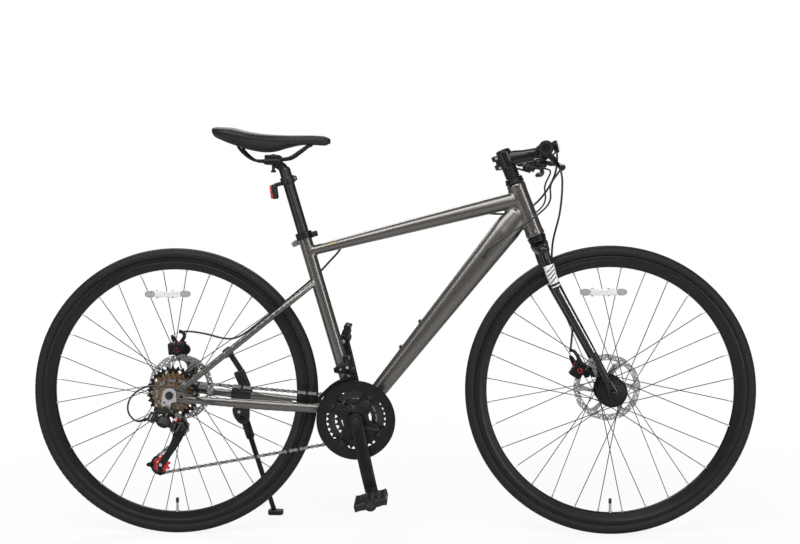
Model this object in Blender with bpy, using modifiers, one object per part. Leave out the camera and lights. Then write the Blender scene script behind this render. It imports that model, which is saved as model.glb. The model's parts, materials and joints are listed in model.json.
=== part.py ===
"""Touring bicycle: an assembly of separate pieces at real size, +X forward, +Z up, right side at -Y."""

import math

import bmesh
import bpy
import numpy as np
from mathutils import Matrix, Vector

# Driving dimensions, in metres and degrees
GAP = 0.0003
WHEEL_R = 0.341
TYRE_HALF = 0.016
RIM_R = 0.317
RIM_INNER = 0.290
RIM_HALF = 0.0115
WHEELBASE = 1.0308
BB_FORWARD = 0.4337
BB_DROP = 0.0593
SEAT_ANGLE = 73.92
HEAD_ANGLE = 69.0
FORK_OFFSET = 0.0298
HEAD_RISE = 0.4679
HEAD_HALF = 0.067
FORK_DROP = 0.050
REAR_DROP = 0.0675
PLATE = 0.005
AXLE_R = 0.0048
STEERER_R = 0.0143
SEAT_TUBE_R = 0.0159
SEAT_TUBE_TOP = 0.4509
POST_R = 0.0136
SHELL_R = 0.020
SHELL_HALF = 0.034
SPINDLE_R = 0.0085
PITCH = 0.0127
RINGS = (24, 34, 42)
RING_Y = (-0.040, -0.048, -0.056)
SPROCKETS = (30, 24, 22, 20, 18, 16, 14)
SPROCKET_Y = -0.0325
SPROCKET_STEP = 0.0048
FREEHUB_R = 0.0120
DRIVEN = 5
PULLEY_TEETH = 10
CHAIN_LINKS = 108
TOOTH_ROOT = 0.0042
TOOTH_TIP = 0.0028
CRANK = 0.170
CRANK_TILT = 12.9
GUARD_R = 0.092
ROTOR_R = 0.080
FRONT_ROTOR_Y = 0.040
REAR_ROTOR_Y = 0.0525
BAR_R = 0.0111
BAR_HALF = 0.300
GRIP_R = 0.016
HOUSING_R = 0.0025
SHIFT_R = 0.0021
WHEEL_STEPS = 32

# Colours, one per kind of finish: red, green, blue, metallic, roughness
FRAME_GREY = (0.10, 0.10, 0.105, 0.7, 0.3)
BLACK_METAL = (0.02, 0.02, 0.022, 0.5, 0.35)
STEEL = (0.55, 0.55, 0.56, 1.0, 0.3)
DARK_STEEL = (0.16, 0.15, 0.15, 1.0, 0.4)
BRONZE = (0.22, 0.16, 0.10, 1.0, 0.4)
RUBBER = (0.015, 0.015, 0.015, 0.0, 0.8)
PLASTIC = (0.02, 0.02, 0.02, 0.0, 0.45)
RED = (0.55, 0.03, 0.03, 0.0, 0.4)
SADDLE_BLACK = (0.02, 0.02, 0.02, 0.0, 0.55)

for old in list(bpy.data.objects):
    bpy.data.objects.remove(old)
MODEL = bpy.data.collections.new("touring_bike")
bpy.context.scene.collection.children.link(MODEL)


def vec(x, y, z):
    return np.array([x, y, z], float)


def unit(v):
    v = np.array(v, float)
    return v / np.linalg.norm(v)


SIDEWAYS = vec(0, 1, 0)
FORWARD = vec(1, 0, 0)
UPWARD = vec(0, 0, 1)

# Anchor points and axes that every piece is placed from
REAR = vec(-WHEELBASE / 2, 0, WHEEL_R)
FRONT = vec(WHEELBASE / 2, 0, WHEEL_R)
BB = REAR + vec(BB_FORWARD, 0, -BB_DROP)
SEAT_UP = vec(-math.cos(math.radians(SEAT_ANGLE)), 0, math.sin(math.radians(SEAT_ANGLE)))
SEAT_FWD = vec(SEAT_UP[2], 0, -SEAT_UP[0])
HEAD_UP = vec(-math.cos(math.radians(HEAD_ANGLE)), 0, math.sin(math.radians(HEAD_ANGLE)))
HEAD_FWD = vec(HEAD_UP[2], 0, -HEAD_UP[0])
HEAD = FRONT - HEAD_FWD * FORK_OFFSET + HEAD_UP * HEAD_RISE


def seat(s, t=0.0, y=0.0):
    """Point s up the seat tube's axis, t in front of it."""
    return BB + SEAT_UP * s + SEAT_FWD * t + vec(0, y, 0)


def head(s, t=0.0, y=0.0):
    """Point s up the steering axis from the head tube's middle, t in front of it."""
    return HEAD + HEAD_UP * s + HEAD_FWD * t + vec(0, y, 0)


def rear(x, z, y=0.0):
    return REAR + vec(x, y, z)


def front(x, z, y=0.0):
    return FRONT + vec(x, y, z)


def stay(f, dz, y):
    """Point at fraction f from the bottom bracket to the rear axle, raised by dz."""
    return BB + (REAR - BB) * f + vec(0, y, dz)


# Tools that make and join meshes
def solid(name, mesh):
    made = bpy.data.objects.new(name, mesh)
    MODEL.objects.link(made)
    return made


def tidy(mesh, merge=2e-6):
    work = bmesh.new()
    work.from_mesh(mesh)
    bmesh.ops.remove_doubles(work, verts=work.verts, dist=merge)
    bmesh.ops.dissolve_degenerate(work, edges=work.edges, dist=merge)
    bmesh.ops.recalc_face_normals(work, faces=work.faces)
    work.to_mesh(mesh)
    work.free()
    return mesh


def baked(made):
    """The object's shape with its modifiers, as a plain mesh in world space."""
    bpy.context.view_layer.update()
    graph = bpy.context.evaluated_depsgraph_get()
    mesh = bpy.data.meshes.new_from_object(made.evaluated_get(graph))
    mesh.transform(made.matrix_world)
    name = made.name
    bpy.data.objects.remove(made)
    return solid(name, tidy(mesh))


def joined(target, others, how):
    for other in others:
        step = target.modifiers.new("boolean", "BOOLEAN")
        step.solver = "EXACT"
        step.operation = how
        step.object = other
    target = baked(target)
    for other in others:
        bpy.data.objects.remove(other)
    return target


def union(target, *others):
    return joined(target, others, "UNION")


def cut(target, *others):
    return joined(target, others, "DIFFERENCE")


def flattened(made):
    """Flat regions become single faces, so a joined piece has no needless triangles."""
    work = bmesh.new()
    work.from_mesh(made.data)
    bmesh.ops.dissolve_limit(work, angle_limit=0.002, verts=work.verts, edges=work.edges)
    work.to_mesh(made.data)
    work.free()
    return made


def axes_matrix(at, u, v):
    w = np.cross(u, v)
    m = Matrix.Identity(4)
    for row in range(3):
        m[row][0] = u[row]
        m[row][1] = v[row]
        m[row][2] = w[row]
        m[row][3] = at[row]
    return m


def turned(profile, at, axis=SIDEWAYS, steps=24):
    """A Screw of (radius, height) points about an axis; a profile off the axis is a closed loop."""
    mesh = bpy.data.meshes.new("turned")
    points = [(r, 0.0, h) for r, h in profile]
    edges = [(i, i + 1) for i in range(len(points) - 1)]
    if min(r for r, h in profile) > 1e-6:
        edges.append((len(points) - 1, 0))
    mesh.from_pydata(points, edges, [])
    made = solid("turned", mesh)
    screw = made.modifiers.new("screw", "SCREW")
    screw.axis = "Z"
    screw.steps = steps
    screw.render_steps = steps
    screw.use_merge_vertices = True
    screw.merge_threshold = 0.00001
    turn = Vector((0, 0, 1)).rotation_difference(Vector(axis))
    made.matrix_world = Matrix.Translation(Vector(at)) @ turn.to_matrix().to_4x4()
    return baked(made)


def cylinder(start, end, radius, steps=16):
    start = np.array(start, float)
    end = np.array(end, float)
    length = np.linalg.norm(end - start)
    bpy.ops.mesh.primitive_cylinder_add(vertices=steps, radius=radius, depth=length)
    made = bpy.context.object
    turn = Vector((0, 0, 1)).rotation_difference(Vector(unit(end - start)))
    made.matrix_world = Matrix.Translation(Vector((start + end) / 2)) @ turn.to_matrix().to_4x4()
    for group in list(made.users_collection):
        group.objects.unlink(made)
    MODEL.objects.link(made)
    return baked(made)


def across(at, radius, low, high, steps=16):
    """A cylinder along Y, between two distances from the middle plane."""
    return cylinder(vec(at[0], low, at[2]), vec(at[0], high, at[2]), radius, steps)


def ring(at, outer, inner, low, high, axis=SIDEWAYS, steps=24):
    return turned([(outer, high), (outer, low), (inner, low), (inner, high)], at, axis, steps)


def block(at, size, u=FORWARD, v=SIDEWAYS, bevel=0.0):
    bpy.ops.mesh.primitive_cube_add(size=1.0)
    made = bpy.context.object
    for group in list(made.users_collection):
        group.objects.unlink(made)
    MODEL.objects.link(made)
    made.data.transform(Matrix.Diagonal((size[0], size[1], size[2], 1.0)))
    if bevel:
        edge = made.modifiers.new("bevel", "BEVEL")
        edge.width = bevel
        edge.segments = 1
    made.matrix_world = axes_matrix(at, unit(u), unit(v))
    return baked(made)


def plate(outlines, at, u, v, low, high):
    """Flat outlines in the u and v directions, thick from low to high along their normal."""
    curve = bpy.data.curves.new("plate", "CURVE")
    curve.dimensions = "2D"
    curve.fill_mode = "BOTH"
    curve.extrude = (high - low) / 2
    for outline in outlines:
        spline = curve.splines.new("POLY")
        spline.points.add(len(outline) - 1)
        for point, (a, b) in zip(spline.points, outline):
            point.co = (a, b, 0, 1)
        spline.use_cyclic_u = True
    made = bpy.data.objects.new("plate", curve)
    MODEL.objects.link(made)
    u = unit(u)
    v = unit(v)
    made.matrix_world = axes_matrix(np.array(at) + np.cross(u, v) * (low + high) / 2, u, v)
    return baked(made)


def side(outlines, at, low, high):
    """A plate that lies along the bicycle, from low to high in Y."""
    return plate(outlines, vec(at[0], 0, at[2]), FORWARD, UPWARD, -high, -low)


def rod(points, radius, level=1):
    """A round bar along points; level 1 gives six sides, level 2 eight."""
    curve = bpy.data.curves.new("rod", "CURVE")
    curve.dimensions = "3D"
    curve.bevel_depth = radius
    curve.bevel_resolution = level
    curve.use_fill_caps = True
    spline = curve.splines.new("POLY")
    spline.points.add(len(points) - 1)
    for slot, point in zip(spline.points, points):
        slot.co = (point[0], point[1], point[2], 1)
    made = bpy.data.objects.new("rod", curve)
    MODEL.objects.link(made)
    return baked(made)


def loft(rings, closed=False):
    """Faces between unlike sections, each a list of the same number of points."""
    count = len(rings[0])
    points = [tuple(p) for section in rings for p in section]
    faces = []
    spans = len(rings) if closed else len(rings) - 1
    for k in range(spans):
        a = k * count
        b = ((k + 1) % len(rings)) * count
        for i in range(count):
            j = (i + 1) % count
            faces.append((a + i, a + j, b + j, b + i))
    if not closed:
        faces.append(tuple(range(count)))
        faces.append(tuple(range((len(rings) - 1) * count, len(rings) * count)))
    mesh = bpy.data.meshes.new("loft")
    mesh.from_pydata(points, [], faces)
    return solid("loft", tidy(mesh))


def oval(at, along, half_side, half_up, sides=12, square=1.0):
    """A section across a tube: half_side towards Y, half_up across it."""
    along = unit(along)
    y = unit(SIDEWAYS - along * np.dot(SIDEWAYS, along))
    n = np.cross(along, y)
    out = []
    for k in range(sides):
        a = 2 * math.pi * (k + 0.5) / sides
        c = math.copysign(abs(math.cos(a)) ** square, math.cos(a))
        s = math.copysign(abs(math.sin(a)) ** square, math.sin(a))
        out.append(np.array(at) + y * half_side * c + n * half_up * s)
    return out


def tube(stations, sides=12, square=1.0):
    """A loft through (point, half_side, half_up) stations."""
    points = [np.array(s[0]) for s in stations]
    rings = []
    for k, station in enumerate(stations):
        before = points[max(k - 1, 0)]
        after = points[min(k + 1, len(points) - 1)]
        rings.append(oval(points[k], after - before, station[1], station[2], sides, square))
    return loft(rings)


def smooth(route, count):
    """Evenly spread points on a soft curve through the route's points."""
    route = [np.array(p, float) for p in route]
    ends = [2 * route[0] - route[1]] + route + [2 * route[-1] - route[-2]]
    dense = []
    for k in range(1, len(ends) - 2):
        p0, p1, p2, p3 = ends[k - 1:k + 3]
        for t in np.linspace(0, 1, 24, endpoint=False):
            dense.append(0.5 * (2 * p1 + (p2 - p0) * t + (2 * p0 - 5 * p1 + 4 * p2 - p3) * t ** 2
                                + (3 * p1 - p0 - 3 * p2 + p3) * t ** 3))
    dense.append(ends[-2])
    dense = np.array(dense)
    run = np.concatenate([[0], np.cumsum(np.linalg.norm(np.diff(dense, axis=0), axis=1))])
    marks = np.linspace(0, run[-1], count)
    return np.stack([np.interp(marks, run, dense[:, axis]) for axis in range(3)], axis=1)


# Flat outlines
def arc(x, z, radius, start, end, count):
    return [(x + radius * math.cos(math.radians(a)), z + radius * math.sin(math.radians(a)))
            for a in np.linspace(start, end, count)]


def bore(radius, steps):
    """Radius of a faceted hole whose flats clear a round piece by the gap."""
    return (radius + GAP) / math.cos(math.pi / steps)


def disc(x, z, radius, count=16):
    return arc(x, z, radius, 0, 360 - 360 / count, count)


def capsule(p, q, rp, rq, count=6):
    """The outline around two circles."""
    across_x = q[0] - p[0]
    across_z = q[1] - p[1]
    turn = math.degrees(math.atan2(across_z, across_x))
    lean = math.degrees(math.acos((rp - rq) / math.hypot(across_x, across_z)))
    return (arc(p[0], p[1], rp, turn + lean, turn + 360 - lean, count)
            + arc(q[0], q[1], rq, turn - lean, turn + lean, count))


def strap(p, q, rp, rq, bow, count=5):
    """The outline around two circles, waisted and bowed between them."""
    hull = capsule(p, q, rp, rq, count)
    first = (np.array(hull[count - 1]) + np.array(hull[count])) / 2
    last = (np.array(hull[-1]) + np.array(hull[0])) / 2
    middle = (first + last) / 2
    near = tuple(middle + (first - middle) * 0.75 + bow)
    far = tuple(middle + (last - middle) * 0.75 + bow)
    return hull[:count] + [near] + hull[count:] + [far]


def toothed(teeth, phase):
    """Outline of a chain wheel with a root at the phase angle."""
    radius = PITCH / (2 * math.sin(math.pi / teeth))
    root = radius - TOOTH_ROOT
    tip = radius + TOOTH_TIP
    step = 2 * math.pi / teeth
    out = []
    for k in range(teeth):
        a = phase + k * step
        out.append((root * math.cos(a), root * math.sin(a)))
        b = a + step / 2
        out.append((tip * math.cos(b), tip * math.sin(b)))
    return out


def finish(made, name, look, pivot=None):
    """Names the piece, gives it its own material and puts its origin on its joint's axis."""
    made.name = name
    made.data.name = name
    material = bpy.data.materials.new(name)
    material.use_nodes = True
    shader = material.node_tree.nodes["Principled BSDF"]
    shader.inputs["Base Color"].default_value = (look[0], look[1], look[2], 1)
    shader.inputs["Metallic"].default_value = look[3]
    shader.inputs["Roughness"].default_value = look[4]
    made.data.materials.clear()
    made.data.materials.append(material)
    made.data.shade_smooth()
    made.data.set_sharp_from_angle(angle=math.radians(32))
    if pivot is not None:
        made.data.transform(Matrix.Translation(-Vector(pivot)))
        made.location = Vector(pivot)
    return made


# Frame
def chainstay(sign, grow=0.0):
    rows = [(0.030, 0.0138, 0.0200, 0.0090, 0.0105), (0.121, 0.0116, 0.0265, 0.0085, 0.0112),
            (0.215, 0.0095, 0.0335, 0.0082, 0.0115), (0.500, 0.0035, 0.0520, 0.0080, 0.0118),
            (0.920, -0.0049, 0.0695, 0.0056, 0.0092)]
    return tube([(stay(f, dz, sign * y), hy + grow, hz + grow) for f, dz, y, hy, hz in rows], sides=8, square=0.9)


STAY_TOP = seat(0.331, -0.009)
STAY_END = rear(0.0302, 0.0163)


def seatstay(sign, grow=0.0):
    rows = [(0.0, 0.012), (0.150, 0.033), (0.400, 0.0475), (1.0, 0.0695)]
    return tube([(STAY_TOP + (STAY_END - STAY_TOP) * f + vec(0, sign * y, 0), 0.0070 + grow, 0.0078 + grow)
                 for f, y in rows], sides=8)


DOWN_LOW = BB + vec(0.0062, 0, 0.0033)
DOWN_HIGH = head(-0.0018, -0.0157)
DOWN_DIR = unit(DOWN_HIGH - DOWN_LOW)
DOWN_UP = vec(-DOWN_DIR[2], 0, DOWN_DIR[0])


def down(f, above=0.0, y=0.0):
    """Point on the down tube: fraction f of its length, above its axis."""
    return DOWN_LOW + (DOWN_HIGH - DOWN_LOW) * f + DOWN_UP * above + vec(0, y, 0)


def down_half(f):
    return 0.0175 + 0.0150 * min(f, 0.93)


TOP_LOW = seat(0.4062)
TOP_HIGH = head(0.0313, -0.0093)
TOP_DIR = unit(TOP_HIGH - TOP_LOW)
TOP_UP = vec(-TOP_DIR[2], 0, TOP_DIR[0])


def top(f, above=0.0, y=0.0):
    return TOP_LOW + (TOP_HIGH - TOP_LOW) * f + TOP_UP * above + vec(0, y, 0)


# Points of the outer cables where they enter the frame
SHIFT_PORT = [(0.800, 0.004, 0.0300), (0.775, 0.003, 0.0215), (0.755, 0.002, 0.0150)]
BRAKE_PORT = [top(0.905, -0.0240, 0.0100), top(0.860, -0.0175, 0.0060), top(0.835, -0.0120, 0.0040)]
SHIFT_EXIT = [stay(0.690, -0.0010, -0.0575), stay(0.742, -0.0075, -0.0660), stay(0.800, -0.0015, -0.0790)]
BRAKE_EXIT = [top(0.160, -0.0040, 0.0080), top(0.135, -0.0180, 0.0150), top(0.085, -0.0330, 0.0215)]


def port(name, at_start, reach):
    """The hole in a tube that a housing runs into, along the housing's own points."""
    points, radius = CABLES[name]
    points = list(points) if at_start else list(points)[::-1]
    kept = points[:reach][::-1]
    kept.append(kept[-1] + unit(kept[-1] - kept[-2]) * 0.004)
    return rod(kept, bore(radius, 6))


def make_frame():
    made = turned([(0.0, HEAD_HALF), (0.0224, HEAD_HALF), (0.0224, HEAD_HALF - 0.010), (0.0212, HEAD_HALF - 0.016),
                   (0.0212, -HEAD_HALF + 0.016), (0.0226, -HEAD_HALF + 0.010), (0.0226, -HEAD_HALF),
                   (0.0, -HEAD_HALF)], HEAD, HEAD_UP, 14)
    down_tube = tube([(down(0.0), 0.0165, down_half(0)), (down(0.13), 0.0185, down_half(0.13)),
                      (down(0.5), 0.0215, down_half(0.5)), (down(0.85), 0.0225, down_half(0.85)),
                      (down(0.93), 0.0205, down_half(0.93)), (down(1.0), 0.0175, 0.0260)], 12, 0.85)
    top_tube = tube([(top(0.0), 0.0148, 0.0112), (top(0.2), 0.0165, 0.0132), (top(0.5), 0.0185, 0.0160),
                     (top(0.93), 0.0195, 0.0190), (top(1.0), 0.0180, 0.0180)], 10, 0.9)
    seat_tube = cylinder(seat(0.0), seat(SEAT_TUBE_TOP), SEAT_TUBE_R, 16)
    shell = across(BB, SHELL_R, -SHELL_HALF, SHELL_HALF, 16)
    pieces = [down_tube, top_tube, seat_tube, shell, chainstay(-1), chainstay(1), seatstay(-1), seatstay(1)]
    bridge = STAY_TOP + (STAY_END - STAY_TOP) * 0.121
    pieces.append(across(bridge, 0.0048, -0.030, 0.030, 10))
    pieces.append(across(stay(0.155, 0.0105, 0), 0.0065, -0.030, 0.030, 10))
    # Dropouts, cast plates between the two stays
    outline = [(0.0434, -0.0205), (0.0500, -0.0110), (0.0465, -0.0005), (0.0330, 0.0080), (0.0440, 0.0225),
               (0.0345, 0.0315), (0.0180, 0.0185), (0.0004, 0.0175), (-0.0136, 0.0125), (-0.0185, 0.0000),
               (-0.0150, -0.0160), (-0.0080, -0.0210), (0.0120, -0.0210), (0.0200, -0.0150)]
    window = [(0.0225, -0.0060), (0.0330, -0.0085), (0.0270, 0.0040)]
    for sign in (-1, 1):
        near = min(sign * REAR_DROP, sign * (REAR_DROP + PLATE))
        pieces.append(side([outline, window], REAR, near, near + PLATE))
    # Tab that carries the rear caliper
    tab = [(0.0200, 0.0220), (0.0430, 0.0350), (0.0300, 0.0700), (0.0080, 0.0770), (-0.0110, 0.0740),
           (-0.0100, 0.0640), (0.0090, 0.0600), (0.0130, 0.0400)]
    pieces.append(side([tab], REAR, REAR_DROP, REAR_DROP + PLATE))
    # Bottle bosses on the upper face of the down tube
    for f in BOSSES:
        pieces.append(cylinder(down(f, down_half(f) - 0.006), down(f, down_half(f) + 0.0022), 0.0062, 8))
    made = union(made, *pieces)
    made = cut(made, cylinder(head(-0.2), head(0.2), STEERER_R + 0.0012, 10))
    counter = [cylinder(head(HEAD_HALF - 0.010), head(0.2), 0.0185, 12),
               cylinder(head(-0.2), head(-HEAD_HALF + 0.010), 0.0185, 12),
               across(BB, SHELL_R - 0.0028, -0.05, 0.05, 16),
               cylinder(seat(SEAT_TUBE_TOP - 0.235), seat(0.6), POST_R + GAP, 16)]
    for sign in (-1, 1):
        low = sign * (REAR_DROP + PLATE / 2) - PLATE
        slot = capsule((0, 0), (0, -0.05), AXLE_R + GAP, AXLE_R + GAP + 0.00001, 6)
        counter.append(side([slot], REAR, low, low + 2 * PLATE))
    counter += [port("shift_housing_right", False, 4), port("shift_housing_left", False, 4),
                port("brake_housing_right", False, 5), port("rear_brake_housing", True, 5),
                port("rear_shift_housing", True, 4)]
    made = cut(made, *counter)
    finish(flattened(made), "frame", FRAME_GREY)


BOSSES = (0.305, 0.430)

# Headset
CUP = 0.0142


def make_headset():
    for sign, name in ((1, "headset_upper_cup"), (-1, "headset_lower_cup")):
        base = HEAD_HALF + GAP
        profile = [(0.0180, base + CUP), (0.0208, base + CUP - 0.003), (0.0222, base), (0.0182, base),
                   (0.0182, base - 0.0095), (bore(STEERER_R, 12), base - 0.0095),
                   (bore(STEERER_R, 12), base + CUP)]
        finish(turned([(r, sign * h) for r, h in profile], HEAD, HEAD_UP, 12), name, BLACK_METAL)


def make_bottom_bracket():
    inner = SPINDLE_R + GAP
    edge = SHELL_HALF + GAP
    body = SHELL_R - 0.0028 - GAP
    profile = [(0.0192, edge + 0.003), (0.0192, edge), (body, edge), (body, -edge), (0.0192, -edge),
               (0.0192, -edge - 0.003), (inner, -edge - 0.003), (inner, edge + 0.003)]
    finish(turned(profile, BB, SIDEWAYS, 12), "bottom_bracket", DARK_STEEL)


# Seat collar with its quick release
COLLAR_S = SEAT_TUBE_TOP - 0.012


def make_collar():
    low = SEAT_TUBE_TOP - 0.0135
    high = SEAT_TUBE_TOP + 0.0035
    made = turned([(0.0188, high), (0.0200, high - 0.003), (0.0200, low), (bore(SEAT_TUBE_R, 12), low),
                   (bore(SEAT_TUBE_R, 12), SEAT_TUBE_TOP + GAP), (bore(POST_R, 12), SEAT_TUBE_TOP + GAP),
                   (bore(POST_R, 12), high)], BB, SEAT_UP, 12)
    lug = block(seat(COLLAR_S + 0.004, 0.0240), (0.016, 0.020, 0.0135), SEAT_FWD, SIDEWAYS)
    slit = block(seat(COLLAR_S + 0.004, 0.0300), (0.030, 0.0022, 0.030), SEAT_FWD, SIDEWAYS)
    lug = cut(lug, cylinder(seat(0.3), seat(0.6), SEAT_TUBE_R + 0.0015, 16))
    made = cut(union(made, lug), slit)
    pin = seat(COLLAR_S + 0.004, 0.0255)
    made = union(made, across(pin, 0.0028, -0.0160, 0.0155, 10), across(pin, 0.0062, -0.0205, -0.0095, 8))
    made = union(made, across(pin, 0.0058, 0.0095, 0.0140, 12))
    finish(flattened(made), "seat_collar", STEEL)
    hinge = seat(COLLAR_S + 0.004, 0.0255, 0.0205)
    path = [seat(COLLAR_S + 0.004, 0.0255, 0.0215), seat(COLLAR_S + 0.002, 0.0150, 0.0270),
            seat(COLLAR_S - 0.001, -0.0050, 0.0285), seat(COLLAR_S - 0.004, -0.0240, 0.0240),
            seat(COLLAR_S - 0.007, -0.0360, 0.0160)]
    sizes = [(0.0035, 0.0050), (0.0028, 0.0055), (0.0024, 0.0065), (0.0024, 0.0075), (0.0020, 0.0060)]
    rings = []
    for k, point in enumerate(path):
        along = path[min(k + 1, 4)] - path[max(k - 1, 0)]
        flat = unit(np.cross(along, SEAT_UP))
        thick, tall = sizes[k]
        rings.append([point + flat * thick * math.cos(a) + SEAT_UP * tall * math.sin(a)
                      for a in np.radians(np.arange(22.5, 360, 45))])
    lever = union(loft(rings), cylinder(hinge - SEAT_UP * 0.006, hinge + SEAT_UP * 0.006, 0.0046, 12))
    finish(lever, "seat_collar_lever", STEEL, hinge)


# Front derailleur
FD_LOW = 0.107
FD_HIGH = 0.127
FD_TRAVEL = 0.015
FD_PIN_R = 0.0024
FD_PIN = seat(FD_LOW - 0.003, 0.0235)


def make_front_derailleur():
    band = ring(BB, 0.0192, bore(SEAT_TUBE_R, 16), FD_LOW, FD_HIGH, SEAT_UP, 16)
    body = block(seat(FD_LOW + 0.012, 0.004, -0.0235), (0.030, 0.013, 0.024), SEAT_FWD, SIDEWAYS, 0.003)
    body = cut(body, cylinder(seat(0.05), seat(0.2), SEAT_TUBE_R + 0.0015, 16))
    arm = block(seat(FD_HIGH + 0.012, 0.0205, -0.0080), (0.007, 0.032, 0.006), SEAT_FWD, SIDEWAYS, 0.001)
    post = block(seat(FD_HIGH + 0.001, 0.0190, -0.0215), (0.007, 0.009, 0.034), SEAT_FWD, SIDEWAYS, 0.001)
    made = union(band, body, post)
    made = union(made, arm)
    # Lug whose bore carries the cage's sliding pin
    lug = block(FD_PIN + SEAT_UP * 0.002 - SEAT_FWD * 0.002 + vec(0, -0.0215, 0), (0.0150, 0.0170, 0.0160), SEAT_FWD,
                SIDEWAYS)
    made = cut(union(made, lug), across(FD_PIN, bore(FD_PIN_R, 8), -0.035, -0.010, 8))
    finish(flattened(made), "front_derailleur", BLACK_METAL)
    top_edge = 0.1120
    tail = [(-0.0960, 0.0560), (-0.0930, 0.0360), (-0.0850, 0.0370), (-0.0800, 0.0520)]
    outer = arc(0, 0, top_edge, 76, 128, 7) + tail + arc(0, 0, 0.0930, 122, 76, 7)
    inner = arc(0, 0, top_edge, 78, 128, 7) + tail + arc(0, 0, 0.0800, 128, 78, 7)
    outer_y = RING_Y[0] - 0.0086
    inner_y = RING_Y[0] + 0.0050
    made = side([outer], BB, outer_y, outer_y + 0.0014)
    roof = side([arc(0, 0, 0.1082, 90, 112, 4) + arc(0, 0, top_edge - 0.0005, 112, 90, 4)], BB, outer_y + 0.0004,
                inner_y + 0.0010)
    pin = across(BB + vec(-0.0885, 0, 0.0410), 0.0022, outer_y + 0.0004, inner_y + 0.0010, 8)
    made = union(made, roof, pin, side([inner], BB, inner_y, inner_y + 0.0014))
    made = union(made, across(FD_PIN, FD_PIN_R, inner_y + 0.0005, inner_y + 0.0335, 8))
    finish(flattened(made), "front_derailleur_cage", DARK_STEEL, seat(FD_HIGH, 0, RING_Y[0]))


# Brake calipers: a body on each side of its rotor, and an arm that the cable pulls
FRONT_CALIPER = front(-0.0660, 0.0420)
REAR_CALIPER = rear(-0.0080, 0.0920)
FRONT_PIVOT_Y = 0.0560
REAR_PIVOT_Y = REAR_DROP + 0.0057
FRONT_ARM_Y = FRONT_PIVOT_Y + 0.0020
REAR_ARM_Y = REAR_PIVOT_Y + 0.0020


def make_caliper(name, at, low, high, pivot_y, rotor_y, lug, lug_high, wheel):
    body = [(-0.0300, 0.0040), (-0.0250, -0.0150), (-0.0060, -0.0240), (0.0160, -0.0230), (0.0270, -0.0110),
            (0.0300, 0.0080), (0.0200, 0.0210), (0.0000, 0.0250), (-0.0200, 0.0200)]
    made = union(side([body], at, low, high), side([lug], at, low + 0.012, lug_high))
    made = union(made, across(at, 0.0150, low, pivot_y, 12))
    made = cut(made, side([disc(0, 0, ROTOR_R + 0.0030, 24)], wheel, rotor_y - 0.0020, rotor_y + 0.0020))
    finish(flattened(made), name, BLACK_METAL)
    hub = pivot_y + GAP
    arm = [(0.0090, -0.0060), (-0.0060, -0.0090), (-0.0120, 0.0040), (-0.0230, 0.0300), (-0.0150, 0.0340),
           (0.0010, 0.0110), (0.0100, 0.0040)]
    arm = union(side([arm], at, hub, hub + 0.0035), across(at, 0.0068, hub + 0.001, hub + 0.0065, 12))
    finish(flattened(arm), name + "_arm", DARK_STEEL, at + vec(0, hub, 0))


def make_calipers():
    lug = [(0.0100, -0.0200), (0.0270, -0.0180), (0.0275, 0.0040), (0.0100, 0.0100)]
    make_caliper("front_caliper", FRONT_CALIPER, 0.0275, 0.0470, FRONT_PIVOT_Y, FRONT_ROTOR_Y, lug,
                 FORK_DROP + 0.0007 - GAP, FRONT)
    lug = [(-0.0200, -0.0050), (0.0250, -0.0150), (0.0320, 0.0000), (0.0200, 0.0140), (-0.0150, 0.0150)]
    make_caliper("rear_caliper", REAR_CALIPER, 0.0395, REAR_DROP - GAP, REAR_PIVOT_Y, REAR_ROTOR_Y, lug,
                 REAR_DROP - GAP, REAR)


# Wheels
def make_spokes(hub, centre, right_y, left_y, hole_r):
    end_r = RIM_INNER * math.cos(math.pi / WHEEL_STEPS) - GAP
    wires = []
    for y_flange, turn in ((right_y, 5.625), (left_y, 16.875)):
        for k in range(16):
            lead = 1 if k % 2 else -1
            a = math.radians(turn + 22.5 * k)
            b = a + lead * math.radians(67.5)
            start = centre + vec(hole_r * math.cos(a), y_flange + lead * 0.0022, hole_r * math.sin(a))
            end = centre + vec(end_r * math.cos(b), 0.0020 * (1 if y_flange > 0 else -1), end_r * math.sin(b))
            wires.append(cylinder(start, end, 0.0011, 3))
    return union(hub, *wires)


def make_wheel(name, centre, profile, right_y, left_y, hole_r, rotor_y):
    hub = make_spokes(turned(profile, centre, SIDEWAYS, 12), centre, right_y, left_y, hole_r)
    finish(flattened(hub), name + "_hub", BLACK_METAL, centre)
    half = [(RIM_INNER, 0.0060), (RIM_R, RIM_HALF), (RIM_R, RIM_HALF - 0.0022), (RIM_R - 0.0090, RIM_HALF - 0.0028)]
    section = half + [(r, -y) for r, y in reversed(half)]
    finish(turned(section, centre, SIDEWAYS, WHEEL_STEPS), name + "_rim", BLACK_METAL, centre)
    seat_r = RIM_R - 0.0090 + 0.0012
    half = [(seat_r, RIM_HALF - 0.0031), (RIM_R + 0.0008, RIM_HALF - 0.0027),
            (WHEEL_R - 0.0135, TYRE_HALF), (WHEEL_R, TYRE_HALF * 0.42)]
    inside = (WHEEL_R - 0.0110, RIM_HALF - 0.0033)
    section = half + [(r, -y) for r, y in reversed(half)] + [(inside[0], -inside[1]), inside]
    finish(turned(section, centre, SIDEWAYS, WHEEL_STEPS), name + "_tyre", RUBBER, centre)
    windows = [disc(0, 0, 0.0140, 8)]
    for k in range(5):
        a = 72 * k
        windows.append(arc(0, 0, 0.0640, a + 8, a + 58, 3) + arc(0, 0, 0.0270, a + 66, a + 20, 2))
    outer = []
    for k in range(24):
        r = ROTOR_R - (0.0016 if k % 3 == 0 else 0.0)
        outer.append((r * math.cos(math.radians(15 * k)), r * math.sin(math.radians(15 * k))))
    rotor = side([outer] + windows, centre, rotor_y - 0.001, rotor_y + 0.001)
    finish(flattened(rotor), name + "_rotor", STEEL, centre)


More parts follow.
